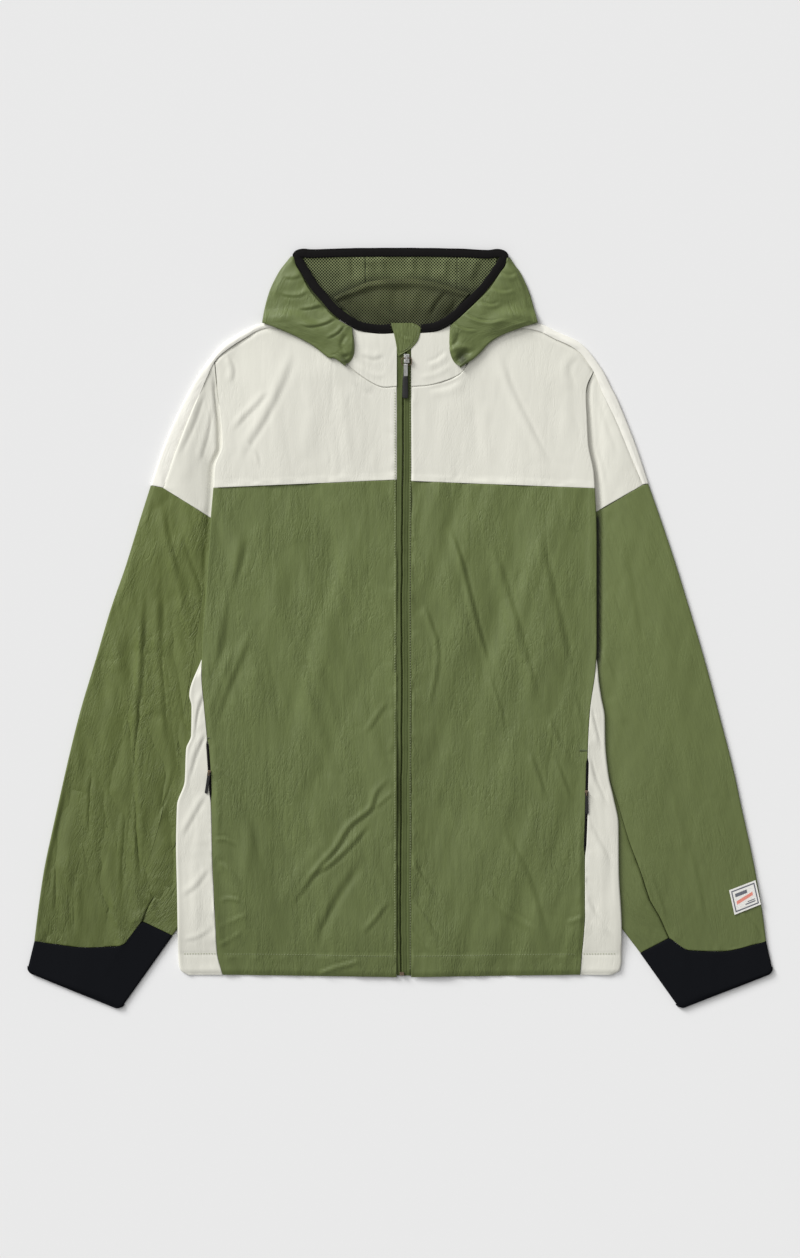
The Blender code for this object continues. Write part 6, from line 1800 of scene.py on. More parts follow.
SLEEVE_LEFT_RELIEF = Relief(
    bold=0.9,
    creases=(
        soft(5, 0.8, (230, -74), (238, -92), (250, -106)),
        soft(9, 0.7, (270, 80), (288, 0), (304, -80), (322, -170), (334, -250)),
        sharp(6, 0.6, (246, 100), (258, 40), (268, -30)),
        sharp(3.5, 0.8, (262, -252), (272, -282), (286, -312)),
        sharp(3, 0.7, (276, -262), (286, -292), (297, -322)),
        sharp(3.5, 0.8, (374, -306), (388, -322), (401, -340)),
        sharp(4, 0.6, (318, -232), (330, -276), (338, -330)),
        soft(5, 0.6, (292, -160), (306, -210), (312, -262)),
        sharp(3, 0.6, (222, -18), (234, -44), (240, -70)),
    ),
    puckers=(
        Pucker(8, 18, 0.85, 111, ((403, -343), (370, -351), (345, -354), (317, -353), (302, -348),
            (297, -341))),
        Pucker(9, 9, 0.35, 112, ((262.6, 156.6), (218.6, 126))),
        Pucker(9, 10, 0.45, 113, ((240, -199), (256, -242), (284, -313))),
    ),
    grain=13.0, bands=0.45, band_lean=9.0, crumple=0.10, seed=114,
)
CAP_RIGHT_RELIEF = Relief(
    bold=1.0,
    creases=(
        sharp(5, 0.8, (-214, 262), (-226, 226), (-244, 186)),
        sharp(4, 0.7, (-204, 250), (-210, 216), (-222, 176)),
        soft(7, 0.6, (-226, 220), (-232, 186), (-238, 158)),
    ),
    puckers=(Pucker(9, 10, 0.4, 121, ((-259.5, 156), (-207.6, 124))),),
    grain=-14.0, bands=0.4, crumple=0.10, seed=122,
)
CAP_LEFT_RELIEF = Relief(
    bold=0.7,
    creases=(
        sharp(5, 0.7, (218, 254), (228, 222), (242, 186)),
        sharp(5, 0.7, (214, 210), (222, 184), (230, 152)),
        soft(7, 0.5, (236, 226), (244, 194), (252, 168)),
    ),
    puckers=(Pucker(9, 10, 0.35, 131, ((262.6, 157), (218.6, 127))),),
    grain=14.0, bands=0.35, crumple=0.09, seed=132,
)
KNIT_RELIEF = Relief(bands=0.35, crumple=0.03, seed=151)


@dataclass
class Sleeves:
    """The two sleeves with their yokes, the light strips over the shoulders, and the cuffs."""

    cell: float = CELL
    hidden_cell: float = 4.5
    stations: int = 190
    seam_reach: tuple = (3.0, 2.0)  # stations over which the end seams bend the cloth
    cuff_corner: float = 6.0
    gap_right: tuple = ((-40.0, 0.4), (0.0, 1.0), (150.0, 1.2), (190.0, 2.2), (262.0, 2.6), (285.0, 0.0))
    gap_left: tuple = ((-40.0, 0.8), (-20.0, 3.0), (122.0, 3.4), (150.0, 1.8), (262.0, 1.8), (280.0, 0.0))
    tone_right: tuple = ((-350.0, 0.76), (-200.0, 0.84), (-60.0, 0.92), (120.0, 0.97))
    tone_left: tuple = ((-350.0, 0.88), (-240.0, 0.92), (-100.0, 1.0), (60.0, 1.06))

    def tables(self, side: Side) -> tuple:
        """The side's stations and its two end seams."""
        if side is Side.RIGHT:
            return SLEEVE_RIGHT, YOKE_SEAM_RIGHT, CUFF_SEAM_RIGHT
        return SLEEVE_LEFT, YOKE_SEAM_LEFT, CUFF_SEAM_LEFT

    def seam_level(self, seam: Sequence, x: Array, bent: int) -> Array:
        """Level of an end seam: curved through its first points and straight after them."""
        points = columns_of(seam, "x", "y")[::-1]
        straight = np.interp(x, points[:, 0], points[:, 1])
        if bent < 2:
            return straight
        curved = curve(x, points[-bent:, 0], points[-bent:, 1])
        return np.where(x > points[-bent, 0], curved, straight)

    def spread(self, side: Side, shares: Array) -> Array:
        """A plan grid down the sleeve with a column for each share of the way across.

        The stations are read off smooth curves, and the two ends are bent to their seams.
        """
        table, seam, cuff = self.tables(side)
        at = (len(table) - 1.0) * edged(520.0, 520.0 / self.stations)
        ends = columns_of(table, "outer_x", "outer_y", "inner_x", "inner_y")
        ends = through(ends, at)
        outer, inner = ends[:, :2], ends[:, 2:]
        points = outer[:, None] + shares[..., None] * (inner - outer)[:, None]
        top = np.clip(1.0 - at / self.seam_reach[0], 0.0, 1.0)
        foot = np.clip(1.0 - (at[-1] - at) / self.seam_reach[1], 0.0, 1.0)
        head_gap = self.seam_level(seam, points[0, :, 0], 0) - points[0, :, 1] - SEAM
        foot_gap = self.seam_level(cuff, points[-1, :, 0], 5) - points[-1, :, 1] + HALF_SEAM
        points[..., 1] += top[:, None] * head_gap[None] + foot[:, None] * foot_gap[None]
        return mirrored(points, side)

    def across(self, side: Side) -> tuple[Array, Array]:
        """Width of every station and the share at which the top seam lies."""
        table, _, cuff = self.tables(side)
        at = (len(table) - 1.0) * edged(520.0, 520.0 / self.stations)
        seam = listed(table, "top_seam")
        x = listed(cuff, "x")
        seam[-1] = (x[0] - x[4]) / (x[0] - x[-1])
        found = through(seam[:, None], at)[:, 0]
        width = through(columns_of(table, "outer_x")[:, :1] - columns_of(table, "inner_x"), at)[:, 0]
        return width, found

    def height(self, side: Side, plan: Array) -> Array:
        """Top of the sleeve with its creases, which die out under the body."""
        relief = side.pick(SLEEVE_RIGHT_RELIEF, SLEEVE_LEFT_RELIEF)
        x, y = plan[..., 0], plan[..., 1]
        shown = ease((np.abs(x) - body_edge(x, y) + 3.0) / 8.0)
        return np.maximum(sleeve_top(x, y) + relief.at(x, y) * shown - self.gap(side, x, y), 0.7)

    def gap(self, side: Side, x: Array, y: Array) -> Array:
        """How far the sleeve falls away beside the body's edge, where a dark gap shows."""
        beside = np.abs(x) - body_line(side, "front", y)
        levels, depths = zip(*side.pick(self.gap_right, self.gap_left))
        return np.interp(y, levels, depths) * bell(beside - 2.4, 3.3)

    def slit(self, side: Side, x: Array, y: Array) -> Array:
        """Tone of the sleeve in the gap beside the body: painted shade, a dark band along the left armhole.
        """
        beside = np.abs(x) - body_line(side, "front", y)
        open_ = ease((y + 44.0) / 12.0) * ease((126.0 - y) / 4.0) * (side is Side.LEFT)
        return 1.0 - 0.92 * open_ * np.exp(-(((beside - 1.4) / 2.7) ** 4))

    def carried(self, side: Side, start: Array, top: Array, back: Array, name: str) -> None:
        """One cloth of the sleeve: along the floor, round a fold and over the top to the seam.

        Args:
            side: whose sleeve it is.
            start: share at which the fold lies, 0 for the outer one and 1 for the inner one.
            top: share of the top seam at every station.
            back: share at which the cloth ends on the floor.
            name: the node that it stands for.
        """
        width, _ = self.across(side)
        toward = 1.0 - 2.0 * start
        rim = self.spread(side, start[:, None])[:, 0]
        inward = unit(self.spread(side, (start + 0.1 * toward)[:, None])[:, 0] - rim)
        high = sleeve_top(rim[:, 0], rim[:, 1])
        first = (start + toward * high / 2.0 * 1.04 / width)[:, None]
        reach = float(np.mean(np.abs(top - start) * width)) * 1.05
        over_shares = first + (top[:, None] - first) * edged(reach, self.cell, first=False)[None, 1:]
        below = edged(reach, self.hidden_cell, last=False)[None, :-1]
        under_shares = back[:, None] + (first - back[:, None]) * below
        over_plan, under_plan = self.spread(side, over_shares), self.spread(side, under_shares)
        near = ease(np.abs(over_shares - start[:, None]) * width[:, None] / 6.0)
        flat_z = sleeve_top(over_plan[..., 0], over_plan[..., 1])
        z = flat_z + (self.height(side, over_plan) - flat_z) * near
        over = turned_down(lifted(over_plan, z), True, False, 0.5)
        wide = 0.7 + 1.5 * ease((-190.0 - over[:, -1, 1]) / 110.0)
        for column, share in ((-1, 1.0), (-2, 0.7), (-3, 0.3)):
            over[:, column, 2] -= wide * share * (0.35 if start[0] < 0.5 else 1.1)
        relief = side.pick(SLEEVE_RIGHT_RELIEF, SLEEVE_LEFT_RELIEF)
        rise = under_relief(relief, under_plan) * ease(np.abs(under_shares - start[:, None]) * 8.0)
        under = lifted(under_plan, rise)
        level = np.zeros(len(rim))
        grid = folded(rim, inward, level, high, under, over)
        flat = folded(rim, inward, level, high, lifted(under_plan, 0.0), lifted(over_plan, flat_z))
        spine = under.shape[1] + FOLD_COLUMNS // 2
        levels, tones = zip(*side.pick(self.tone_right, self.tone_left))
        # darker towards the cuff, times the painted shade along the left armhole's gap
        tone = np.interp(grid[..., 1], levels, tones) * self.slit(side, grid[..., 0], grid[..., 1])
        cloth = side.pick(GREEN_CRUSHED, GREEN_SLEEVE)
        sewn(name, grid, cloth, uv=weave_map(grid, spine), flat=flat, tone=tone)

    def sleeve(self, side: Side) -> None:
        """The sleeve itself, round the outer fold from the seam behind to the top seam."""
        width, top = self.across(side)
        gap = HALF_SEAM / width
        none = np.zeros(len(width))
        back = BACK_SEAM - gap
        self.carried(side, none, top - gap, back, f"sleeve_{side.value}")

    def under_sleeve(self, side: Side) -> None:
        """The under sleeve, round the inner fold, most of it below the body."""
        width, top = self.across(side)
        gap = HALF_SEAM / width
        back = BACK_SEAM + gap
        self.carried(side, np.ones(len(width)), top + gap, back, f"under_sleeve_{side.value}")

    def strip(self, side: Side) -> None:
        """The light strip over the shoulder, round its outer fold."""
        table = side.pick(SHOULDER_RIGHT, SHOULDER_LEFT)
        at = (len(table) - 1.0) * edged(300.0, self.cell)
        names = ("outer_x", "outer_y", "front_x", "front_y", "back_x", "back_y")
        found = through(columns_of(table, *names), at)
        found[:, 1::2] += SEAM * ease((at - at[-1] + 1.0) / 1.0)[:, None]
        rim, front, back = (mirrored(found[:, k : k + 2], side) for k in (0, 2, 4))
        inward = unit(front - rim)
        start = rim + inward * FOLD_HEIGHT / 2.0
        under = lifted(lines(back, start, np.linspace(0.0, 0.85, 6)), 0.0)
        plan = lines(start, front, edged(12.0, 1.6, first=False)[1:])
        x, y = plan[..., 0], plan[..., 1]
        share = edged(12.0, 1.6, first=False)[1:]
        seam = Pucker(7.0, 9.0, 0.35, 142 + int(side.sign), tuple(map(tuple, front[::12])))
        relief = Relief(puckers=(seam,), bands=0.3, crumple=0.10, seed=141)
        z = FOLD_HEIGHT + 0.5 * np.sin(share * math.pi)[None] + relief.at(x, y) * ease(share * 2.0)[None]
        over = turned_down(lifted(plan, z + 0.1), True, False)
        low, high = np.zeros(len(rim)), np.full(len(rim), FOLD_HEIGHT)
        grid = folded(rim, inward, low, high, under, over)
        flat = folded(rim, inward, low, high, under, lifted(plan, FOLD_HEIGHT))
        weave = weave_map(grid, under.shape[1] + FOLD_COLUMNS // 2)
        sewn(f"shoulder_strip_{side.value}", grid, LIGHT, uv=weave, flat=flat)

    def strip_edge(self, strip: Sequence, face: str, up: Array, shift: float) -> Array:
        """The upper sleeve's edge along the shoulder strip, from the sleeve up to the armhole."""
        last = len(strip) - 1.0
        edge = through(columns_of(strip, f"{face}_x", f"{face}_y"), last - (last - ARMHOLE_AT) * up)
        lift = 1.5 * SEAM * ease(1.0 - 8.0 * up)
        return edge + (shift, -0.5 * SEAM) + np.stack([0 * up, lift], axis=-1)

    def cap(self, side: Side) -> None:
        """The off-white front of the upper sleeve, which runs on under the body's front."""
        strip = side.pick(SHOULDER_RIGHT, SHOULDER_LEFT)
        hidden = side.pick(SLEEVE_HIDDEN_RIGHT, SLEEVE_HIDDEN_LEFT)
        seam = side.pick(YOKE_SEAM_RIGHT, YOKE_SEAM_LEFT)
        up = edged(170.0, self.cell)
        first = self.strip_edge(strip, "front", up, 0.9)
        last = smooth_at(columns_of(hidden, "x", "y"), up)
        inner, middle = seam[-1], seam[2]
        share = (middle.x - last[0, 0]) / (middle.x - inner.x)
        last[0, 1] = middle.y + share * (inner.y - middle.y) + 1.5 * SEAM
        across = edged(112.0, self.cell)
        corner = np.array([first[0], (middle.x, middle.y + SEAM), last[0]])
        bottom = run_along(corner, across * lengths(corner)[-1])
        top = lines(first[-1:], last[-1:], across)[0]
        plan = mirrored(patch(bottom, top, first, last), side)
        x, y = plan[..., 0], plan[..., 1]
        relief = side.pick(CAP_RIGHT_RELIEF, CAP_LEFT_RELIEF)
        shown = ease((np.abs(x) - body_edge(x, np.minimum(y, 155.0)) + 6.0) / 10.0)
        flat_z = sleeve_top(x, y)
        top_z = flat_z + relief.at(x, y) * shown - self.gap(side, x, y)
        grid = tucked(lifted(plan, np.maximum(top_z, 0.7)), column=0)
        grid[0, :, 2] -= 0.2
        name = f"sleeve_yoke_{side.value}"
        sewn(name, grid, OFF_WHITE, uv=plan_map(grid), flat=lifted(plan, flat_z))

    def back_cap(self, side: Side) -> None:
        """The off-white back of the upper sleeve, flat on the floor."""
        strip = side.pick(SHOULDER_RIGHT, SHOULDER_LEFT)
        seam = side.pick(YOKE_SEAM_RIGHT, YOKE_SEAM_LEFT)
        up = edged(170.0, self.hidden_cell)
        first = self.strip_edge(strip, "back", up, -SEAM)
        tip = armhole_tip(strip)
        corner = (seam[-1].x + 2.0 * SEAM, seam[-1].y + 1.5 * SEAM)
        beside = (BACK_YOKE_HALF + 0.4, BACK_YOKE_Y)
        armhole = np.array([corner, beside, (tip[0] + SEAM, tip[1] - 2.0 * SEAM)])
        last = run_along(armhole, up * lengths(armhole)[-1])
        across = edged(112.0, self.hidden_cell)
        middle = (seam[2].x, seam[2].y + SEAM)
        base = np.array([first[0], middle, last[0]])
        bottom = run_along(base, across * lengths(base)[-1])
        top = lines(first[-1:], last[-1:], across)[0]
        plan = mirrored(patch(bottom, top, first, last), side)
        relief = side.pick(CAP_RIGHT_RELIEF, CAP_LEFT_RELIEF)
        grid = lifted(plan, under_relief(relief, plan))
        name = f"sleeve_back_yoke_{side.value}"
        sewn(name, grid, OFF_WHITE, uv=plan_map(grid), up=False, flat=lifted(plan, 0.0))

    def cuff(self, side: Side) -> None:
        """The black cuff: a flattened tube of smooth stretch cloth with a rounded open end.

        Each row goes round the tube: outer fold, top, inner fold and underside.
        """
        _, _, table = self.tables(side)
        end = side.pick(CUFF_END_RIGHT, CUFF_END_LEFT)
        outer, inner = np.array(end[:2]), np.array(end[2:])
        long = float(np.hypot(*(inner - outer)))
        down = np.append(edged(66.0, 2.6)[:-1], (0.975, 0.99, 1.0))[:, None]
        open_end = ease((down - 0.93) / 0.07)
        high = FOLD_HEIGHT - 0.2 * down - 0.9 * open_end - 0.6 * ease((0.012 - down) / 0.012)
        low = 0.35 * open_end
        radius, level = (high - low) / 2.0, (high + low) / 2.0
        turn = np.linspace(-math.pi / 2.0, math.pi / 2.0, FOLD_COLUMNS)[None]
        arc = radius * (1.0 - np.cos(turn)) / long
        reach = np.array([0.021, 0.028, 0.037, 0.05])
        inside = np.concatenate([reach, np.linspace(0.065, 0.935, 44), 1.0 - reach[::-1]])[None]
        inside = np.broadcast_to(inside, (len(down), inside.shape[1]))
        shares = np.concatenate([arc, inside, 1.0 - arc[:, ::-1], inside[:, ::-1]], axis=1)
        seam_x = table[0].x + shares * (table[-1].x - table[0].x)
        seam = np.stack([seam_x, self.seam_level(table, seam_x, 5) - SEAM], axis=-1)
        opening = outer + shares[..., None] * (inner - outer)
        corner = np.minimum(np.minimum(shares, 1.0 - shares) * long / self.cuff_corner, 1.0)
        back = self.cuff_corner * (1.0 - np.sqrt(np.maximum(1.0 - (1.0 - corner) ** 2, 0.0)))
        opening = opening + unit(seam - opening) * back[..., None]
        plan = mirrored(seam + down[..., None] * (opening - seam), side)
        x, y = plan[..., 0], plan[..., 1]
        middle = np.sin(inside * math.pi) * (1.0 - open_end)
        first, last = turn.size, turn.size + inside.shape[1]
        top = high + (0.7 + KNIT_RELIEF.at(x, y)[:, first:last]) * middle
        rise, foot = level + radius * np.sin(turn), np.broadcast_to(low, inside.shape)
        grid = lifted(plan, np.concatenate([rise, top, rise[:, ::-1], foot], axis=1))
        sewn(f"cuff_{side.value}", grid, KNIT, uv=weave_map(grid), ring=True, thick=0.9)

    def label(self) -> None:
        """The woven label, which lies on the left sleeve and takes its creases."""
        a, b, c, d = (np.array([corner]) for corner in LABEL_CORNERS)
        share = np.linspace(0.0, 1.0, 16)
        plan = lines(lines(a, d, share)[0], lines(b, c, share)[0], share)
        x, y = plan[..., 0], plan[..., 1]
        swell = 0.55 * (self.height(Side.LEFT, plan) - sleeve_top(x, y))
        grid = lifted(plan, sleeve_top(x, y) + np.maximum(swell, 0.0) + 0.9)
        marks = np.stack(np.broadcast_arrays(share[None], 1.0 - share[:, None]), axis=-1)
        sewn("sleeve_label", grid, BADGE, uv=marks, thick=0.5)

    def build(self) -> None:
        """Both sleeves and what is sewn to them."""
        for side in Side:
            self.sleeve(side)
            self.under_sleeve(side)
            self.strip(side)
            self.cap(side)
            self.back_cap(side)
            self.cuff(side)
        self.label()


# --- Neck and hood --------------------------------------------------------------------------------

COLLAR_RELIEF = Relief(
    bold=0.8,
    creases=(
        sharp(4, 0.6, (-16, 300), (-30, 296), (-46, 302)), sharp(4, 0.6, (28, 292), (40, 296), (52, 306)),
        soft(3, 0.5, (-14, 278), (-32, 280), (-50, 292)), soft(3, 0.5, (20, 276), (40, 280), (60, 292)),
    ),
    puckers=(
        Pucker(7, 7, 0.4, 161, ((-66, 303), (-52, 285), (-24, 267), (-4, 266))),
        Pucker(7, 7, 0.4, 162, ((12, 266), (37, 269), (66, 280), (75, 297))),
    ),
    bands=0.3, crumple=0.10, seed=163,
)
HOOD_RIGHT_RELIEF = Relief(
    bold=0.85,
    creases=(
        soft(8, 1.7, (-146, 344), (-120, 341), (-98, 328), (-78, 309)),
        soft(6, -1.3, (-134, 356), (-112, 352), (-94, 340), (-78, 326)),
        sharp(2.8, 1.5, (-68, 343), (-80, 335), (-98, 331), (-112, 334)),
        sharp(2.4, 1.2, (-60, 334), (-68, 324), (-82, 317)),
        sharp(2.4, 1.3, (-82, 356), (-98, 351), (-114, 350)),
        sharp(2.4, 1.2, (-96, 372), (-110, 365), (-124, 365), (-136, 369)),
        sharp(3, 1.1, (-106, 388), (-118, 384), (-130, 386)),
        soft(5, 0.9, (-128, 398), (-132, 380), (-142, 362)),
        soft(2.4, -2.4, (-78, 300), (-66, 297), (-58, 299), (-50, 303)),
        soft(2.6, -1.6, (-58, 324), (-64, 312), (-58, 302)),
    ),
    puckers=(
        Pucker(6, 14, 1.3, 171, ((-118, 405), (-100, 374), (-84, 354), (-73, 343), (-60, 335), (-53, 331))),
        Pucker(9, 12, 0.8, 172, ((-151, 336), (-131, 329), (-95, 311), (-79, 298), (-61, 289))),
    ),
    grain=60.0, bands=0.9, band_lean=64.0, crumple=0.13, seed=173,
)
HOOD_LEFT_RELIEF = Relief(
    bold=0.85,
    creases=(
        soft(7, 1.5, (148, 346), (124, 345), (104, 334), (88, 316)),
        soft(6, -1.2, (138, 360), (116, 356), (98, 346), (84, 332)),
        sharp(2.6, 1.3, (70, 348), (84, 340), (100, 338), (118, 342)),
        sharp(2.2, 1.1, (60, 336), (70, 330), (86, 328)),
        sharp(2.6, 1.2, (84, 360), (100, 356), (112, 360)),
        sharp(2.4, 1.1, (98, 376), (112, 371), (128, 374)),
        sharp(3, 1, (108, 392), (120, 388), (130, 392)), soft(4, 0.8, (122, 402), (130, 384), (142, 366)),
        soft(4, -3.4, (78, 305), (69, 301), (64, 294), (60, 288)),
        soft(3, 1.6, (50, 301), (58, 307), (70, 309), (84, 306)),
        soft(2.6, -1.6, (64, 326), (62, 316), (52, 306)),
    ),
    puckers=(
        Pucker(6, 14, 1.2, 181, ((118, 404), (98, 374), (82, 357), (73, 349), (62, 338), (55, 333))),
        Pucker(9, 12, 0.8, 182, ((151, 336), (134, 331), (99, 314), (84, 299), (66, 287))),
    ),
    grain=-60.0, bands=0.9, band_lean=-64.0, crumple=0.13, seed=183,
)
CENTRE_RELIEF = Relief(
    creases=(
        soft(5, -0.9, (-20, 404), (-26, 376), (-20, 350)), soft(5, -0.9, (30, 406), (38, 380), (34, 352)),
    ),
    bands=0.5, seed=191,
)
LINING_RELIEF = Relief(
    bold=1.9,
    creases=(
        soft(3.2, -1, (31, 411), (33, 396), (34, 384)),
        soft(2.8, -0.9, (-54, 411), (-52, 398), (-50, 384)),
        soft(4, 0.7, (12, 411), (13, 398), (12, 386)), soft(4, 0.7, (-22, 411), (-20, 398), (-21, 386)),
        soft(4, 0.8, (50, 410), (49, 396), (46, 384)), soft(4, 0.7, (-76, 408), (-72, 396), (-70, 384)),
        soft(4, 0.7, (84, 408), (80, 396), (76, 382)), soft(3, -0.7, (94, 404), (90, 394), (84, 384)),
        soft(3, -0.7, (-92, 404), (-88, 394), (-82, 384)),
    ),
    puckers=(
        Pucker(6, 9, 0.8, 192, ((-106, 409), (-30, 410), (40, 410), (106, 408))),
        Pucker(5, 6, 0.7, 193, ((-37, 412), (-38, 396), (-37, 370))),
        Pucker(5, 6, 0.7, 194, ((64, 411), (63, 396), (62, 370))),
    ),
    bands=0.5, crumple=0.12, seed=195,
)
NECK_RELIEF = Relief(
    bold=1.9,
    creases=(
        sharp(5, 0.9, (-44, 374), (-30, 358), (-10, 346), (8, 338)),
        soft(6, 0.9, (22, 378), (14, 360), (16, 340)), sharp(4.5, 0.8, (52, 372), (40, 358), (32, 342)),
        soft(4, -0.9, (-58, 362), (-46, 350), (-36, 338)), soft(5, -0.8, (-2, 378), (-6, 362), (-2, 348)),
        soft(4, -0.8, (66, 364), (56, 350), (48, 340)), soft(4, 0.6, (-26, 374), (-22, 362), (-26, 350)),
    ),
    puckers=(Pucker(6, 8, 0.7, 196, ((-64, 366), (-28, 378), (26, 380), (68, 369))),),
    bands=0.6, crumple=0.12, seed=197,
)


@dataclass
class Hood:
    """The hood on its back: green outside, mesh inside, and the binding round its opening."""

    cell: float = 1.7
    hidden_cell: float = 4.0
    puff: float = 2.4  # how far the soft sides stand up between fold and binding
    tip_bulge: float = 7.0  # how far a wing's free edge bows to the middle
    tip_roll: float = 3.4  # how far that edge turns down
    binding_stations: int = 460
    corners: tuple = (
        ((-111.0, 404.5, 4.5), (-113.2, 410.6, 4.3), (-106.5, 413.1, 4.2)),
        ((107.5, 413.0, 4.2), (114.4, 410.2, 4.3), (112.0, 403.5, 4.6)),
    )
    binding_form: tuple = (BINDING_WIDTH / 2.0, BINDING_THICK / 2.0)

    def collar(self, side: Side) -> None:
        """The off-white collar front, between the neck seam and the binding."""
        table = side.pick(COLLAR_RIGHT, COLLAR_LEFT)
        across = edged(76.0, self.cell)
        seam = smooth_at([row[0] for row in table], across)
        edge = smooth_at([(table[0][0].x, table[0][1].y), *(row[1] for row in table[1:])], across)
        plan = mirrored(lines(seam, edge, edged(58.0, self.cell)), side)
        x, y = plan[..., 0], plan[..., 1]
        flat_z = front_top(x, y)
        grid = lifted(plan, flat_z + 0.15 + COLLAR_RELIEF.at(x, y))
        grid[:, 0, 2] -= 0.3
        flat, name = lifted(plan, flat_z), f"collar_{side.value}"
        sewn(name, grid, OFF_WHITE, uv=plan_map(grid), flat=flat, tone=1.05)

    def side(self, side: Side) -> None:
        """A green side, from the binding round the outer fold and back along the floor.

        Its corner at the shoulder parts two smooth runs: the side itself and the wing that falls
        over the collar.
        """
        table = side.pick(HOOD_RIGHT, HOOD_LEFT)
        corner = HOOD_FLOOR_ROWS - 1
        names = ("outer_x", "outer_y", "edge_x", "edge_y", "edge_z", "floor_y")
        values = columns_of(table, *names)
        upper_at = np.linspace(0.0, corner, 62)
        wing_at = np.linspace(0.0, len(table) - 1.0 - corner, 66)
        upper = through(values[: corner + 1], upper_at)
        wing = through(values[corner:], wing_at)[1:]
        found = np.concatenate([upper, wing])
        turn = np.concatenate([np.zeros(len(upper_at)), ease(wing_at[1:] / 0.8)])
        rim, edge = mirrored(found[:, :2], side), mirrored(found[:, 2:4], side)
        inward = unit(edge - rim)
        rest = front_top(rim[:, 0], rim[:, 1]) + 2.0 * CLEAR
        low = hood_floor(rim[:, 0], rim[:, 1]) * (1.0 - turn) + rest * turn
        high = low + FOLD_HEIGHT + 0.8 * turn
        start = rim + inward * ((high - low) / 2.0)[:, None]
        share = edged(58.0, self.cell, first=False)[1:]
        plan = lines(start, edge, share)
        steps = np.concatenate([np.zeros(len(upper_at)), wing_at[1:]])
        tip = ease((steps - (wing_at[-1] - 1.6)) / 1.6)[:, None]
        plan[..., 0] -= side.sign * self.tip_bulge * tip * np.sin(math.pi * share**0.6)[None]
        x, y = plan[..., 0], plan[..., 1]
        rise = high[:, None] + (found[:, 4] - high)[:, None] * ease(share**0.8)[None]
        relief = side.pick(HOOD_RIGHT_RELIEF, HOOD_LEFT_RELIEF)
        swell = self.puff * np.sin(math.pi * share)[None] * np.interp(turn, (0.0, 1.0), (0.35, 0.55))[:, None]
        fade = ease(share / 0.12)[None]
        roll = self.tip_roll * (1.0 - ease((wing_at[-1] - steps) / 0.30))[:, None]
        over = lifted(plan, np.maximum(rise + swell + relief.at(x, y) * fade - roll, low[:, None] + 0.6))
        over[:, -1, 2] -= 0.6
        centre_x = side.pick(-HOOD_SEAM_RIGHT, HOOD_SEAM_LEFT) + HALF_SEAM
        ends = mirrored(np.stack([np.full(len(rim), centre_x), found[:, 5]], axis=-1), side)
        under_plan = lines(ends, start, np.linspace(0.0, 0.96, 20))
        floor = hood_floor(under_plan[..., 0], under_plan[..., 1])
        under = lifted(under_plan, floor + under_relief(relief, under_plan) * 0.6)
        grid = folded(rim, inward, low, high, under, over)
        flat = folded(rim, inward, low, high, lifted(under_plan, floor), lifted(plan, rise))
        keep = np.ones((len(rim) - 1, grid.shape[1] - 1), bool)
        keep[len(upper_at) - 1 :, : under.shape[1]] = False
        name = f"hood_side_{side.value}"
        # painted shade: the cloth is darkened round the hollow under each wing's tip
        across, up = grid[..., 0] - side.pick(-62.0, 68.0), grid[..., 1] - side.pick(295.0, 297.0)
        hollow = np.hypot(across, up * 0.8)
        tone = 1.0 - side.pick(0.45, 0.7) * bell(hollow, side.pick(4.5, 6.0))
        weave = weave_map(grid, under.shape[1] + FOLD_COLUMNS // 2)
        sewn(name, grid, GREEN_HOOD, uv=weave, keep=keep, flat=flat, tone=tone)

    def centre(self) -> None:
        """The green centre panel, flat on the floor behind the opening."""
        columns = edged(101.0, self.hidden_cell)
        ends = []
        for table, x in ((HOOD_RIGHT, HOOD_SEAM_RIGHT + HALF_SEAM), (HOOD_LEFT, HOOD_SEAM_LEFT - HALF_SEAM)):
            levels = np.append(listed(table[:HOOD_FLOOR_ROWS], "floor_y"), SHOULDER_Y + SEAM)
            line = resample(np.stack([np.full(len(levels), x), levels], axis=-1), 24)
            ends.append(line)
        plan = lines(ends[0], ends[1], columns)
        lift = HOOD_TOP_Y - plan[0, :, 1]
        bow = np.minimum(np.minimum(columns, 1.0 - columns) * 8.0, 1.0)
        plan[..., 1] += (lift * bow)[None] * np.clip(1.0 - np.arange(24) / 4.0, 0.0, 1.0)[:, None]
        floor = hood_floor(plan[..., 0], plan[..., 1])
        grid = lifted(plan, floor + np.minimum(under_relief(CENTRE_RELIEF, plan), 0.6))
        sewn("hood_centre", grid, GREEN_HOOD, uv=plan_map(grid), up=False, flat=lifted(plan, floor))

    def lining(self, name: str, start: Array, end: Array) -> None:
        """One mesh panel of the lining, from its start to its end at every level."""
        levels = listed(LINING, "y")
        fine = levels[0] + (levels[-1] - levels[0]) * edged(75.0, self.cell)
        first = np.stack([np.interp(fine, levels, np.broadcast_to(start, levels.shape)), fine], axis=-1)
        last = np.stack([np.interp(fine, levels, np.broadcast_to(end, levels.shape)), fine], axis=-1)
        plan = lines(first, last, edged(float(np.ptp([first[-1, 0], last[-1, 0]])), self.cell))
        x, y = plan[..., 0], plan[..., 1]
        flat_z = hood_floor(x, y) + LINING_LEVEL
        shown = ease((y - 352.0) / 20.0)
        deep = np.clip(LINING_RELIEF.at(x, y) * shown, -0.8, 1.9) * ease((412.0 - y) / 9.0)
        brow = 1.3 * ease((y - 396.0) / 12.0)
        grid = turned_down(lifted(plan, flat_z + deep + brow), False, True, 0.7)
        full = f"hood_lining_{name}"
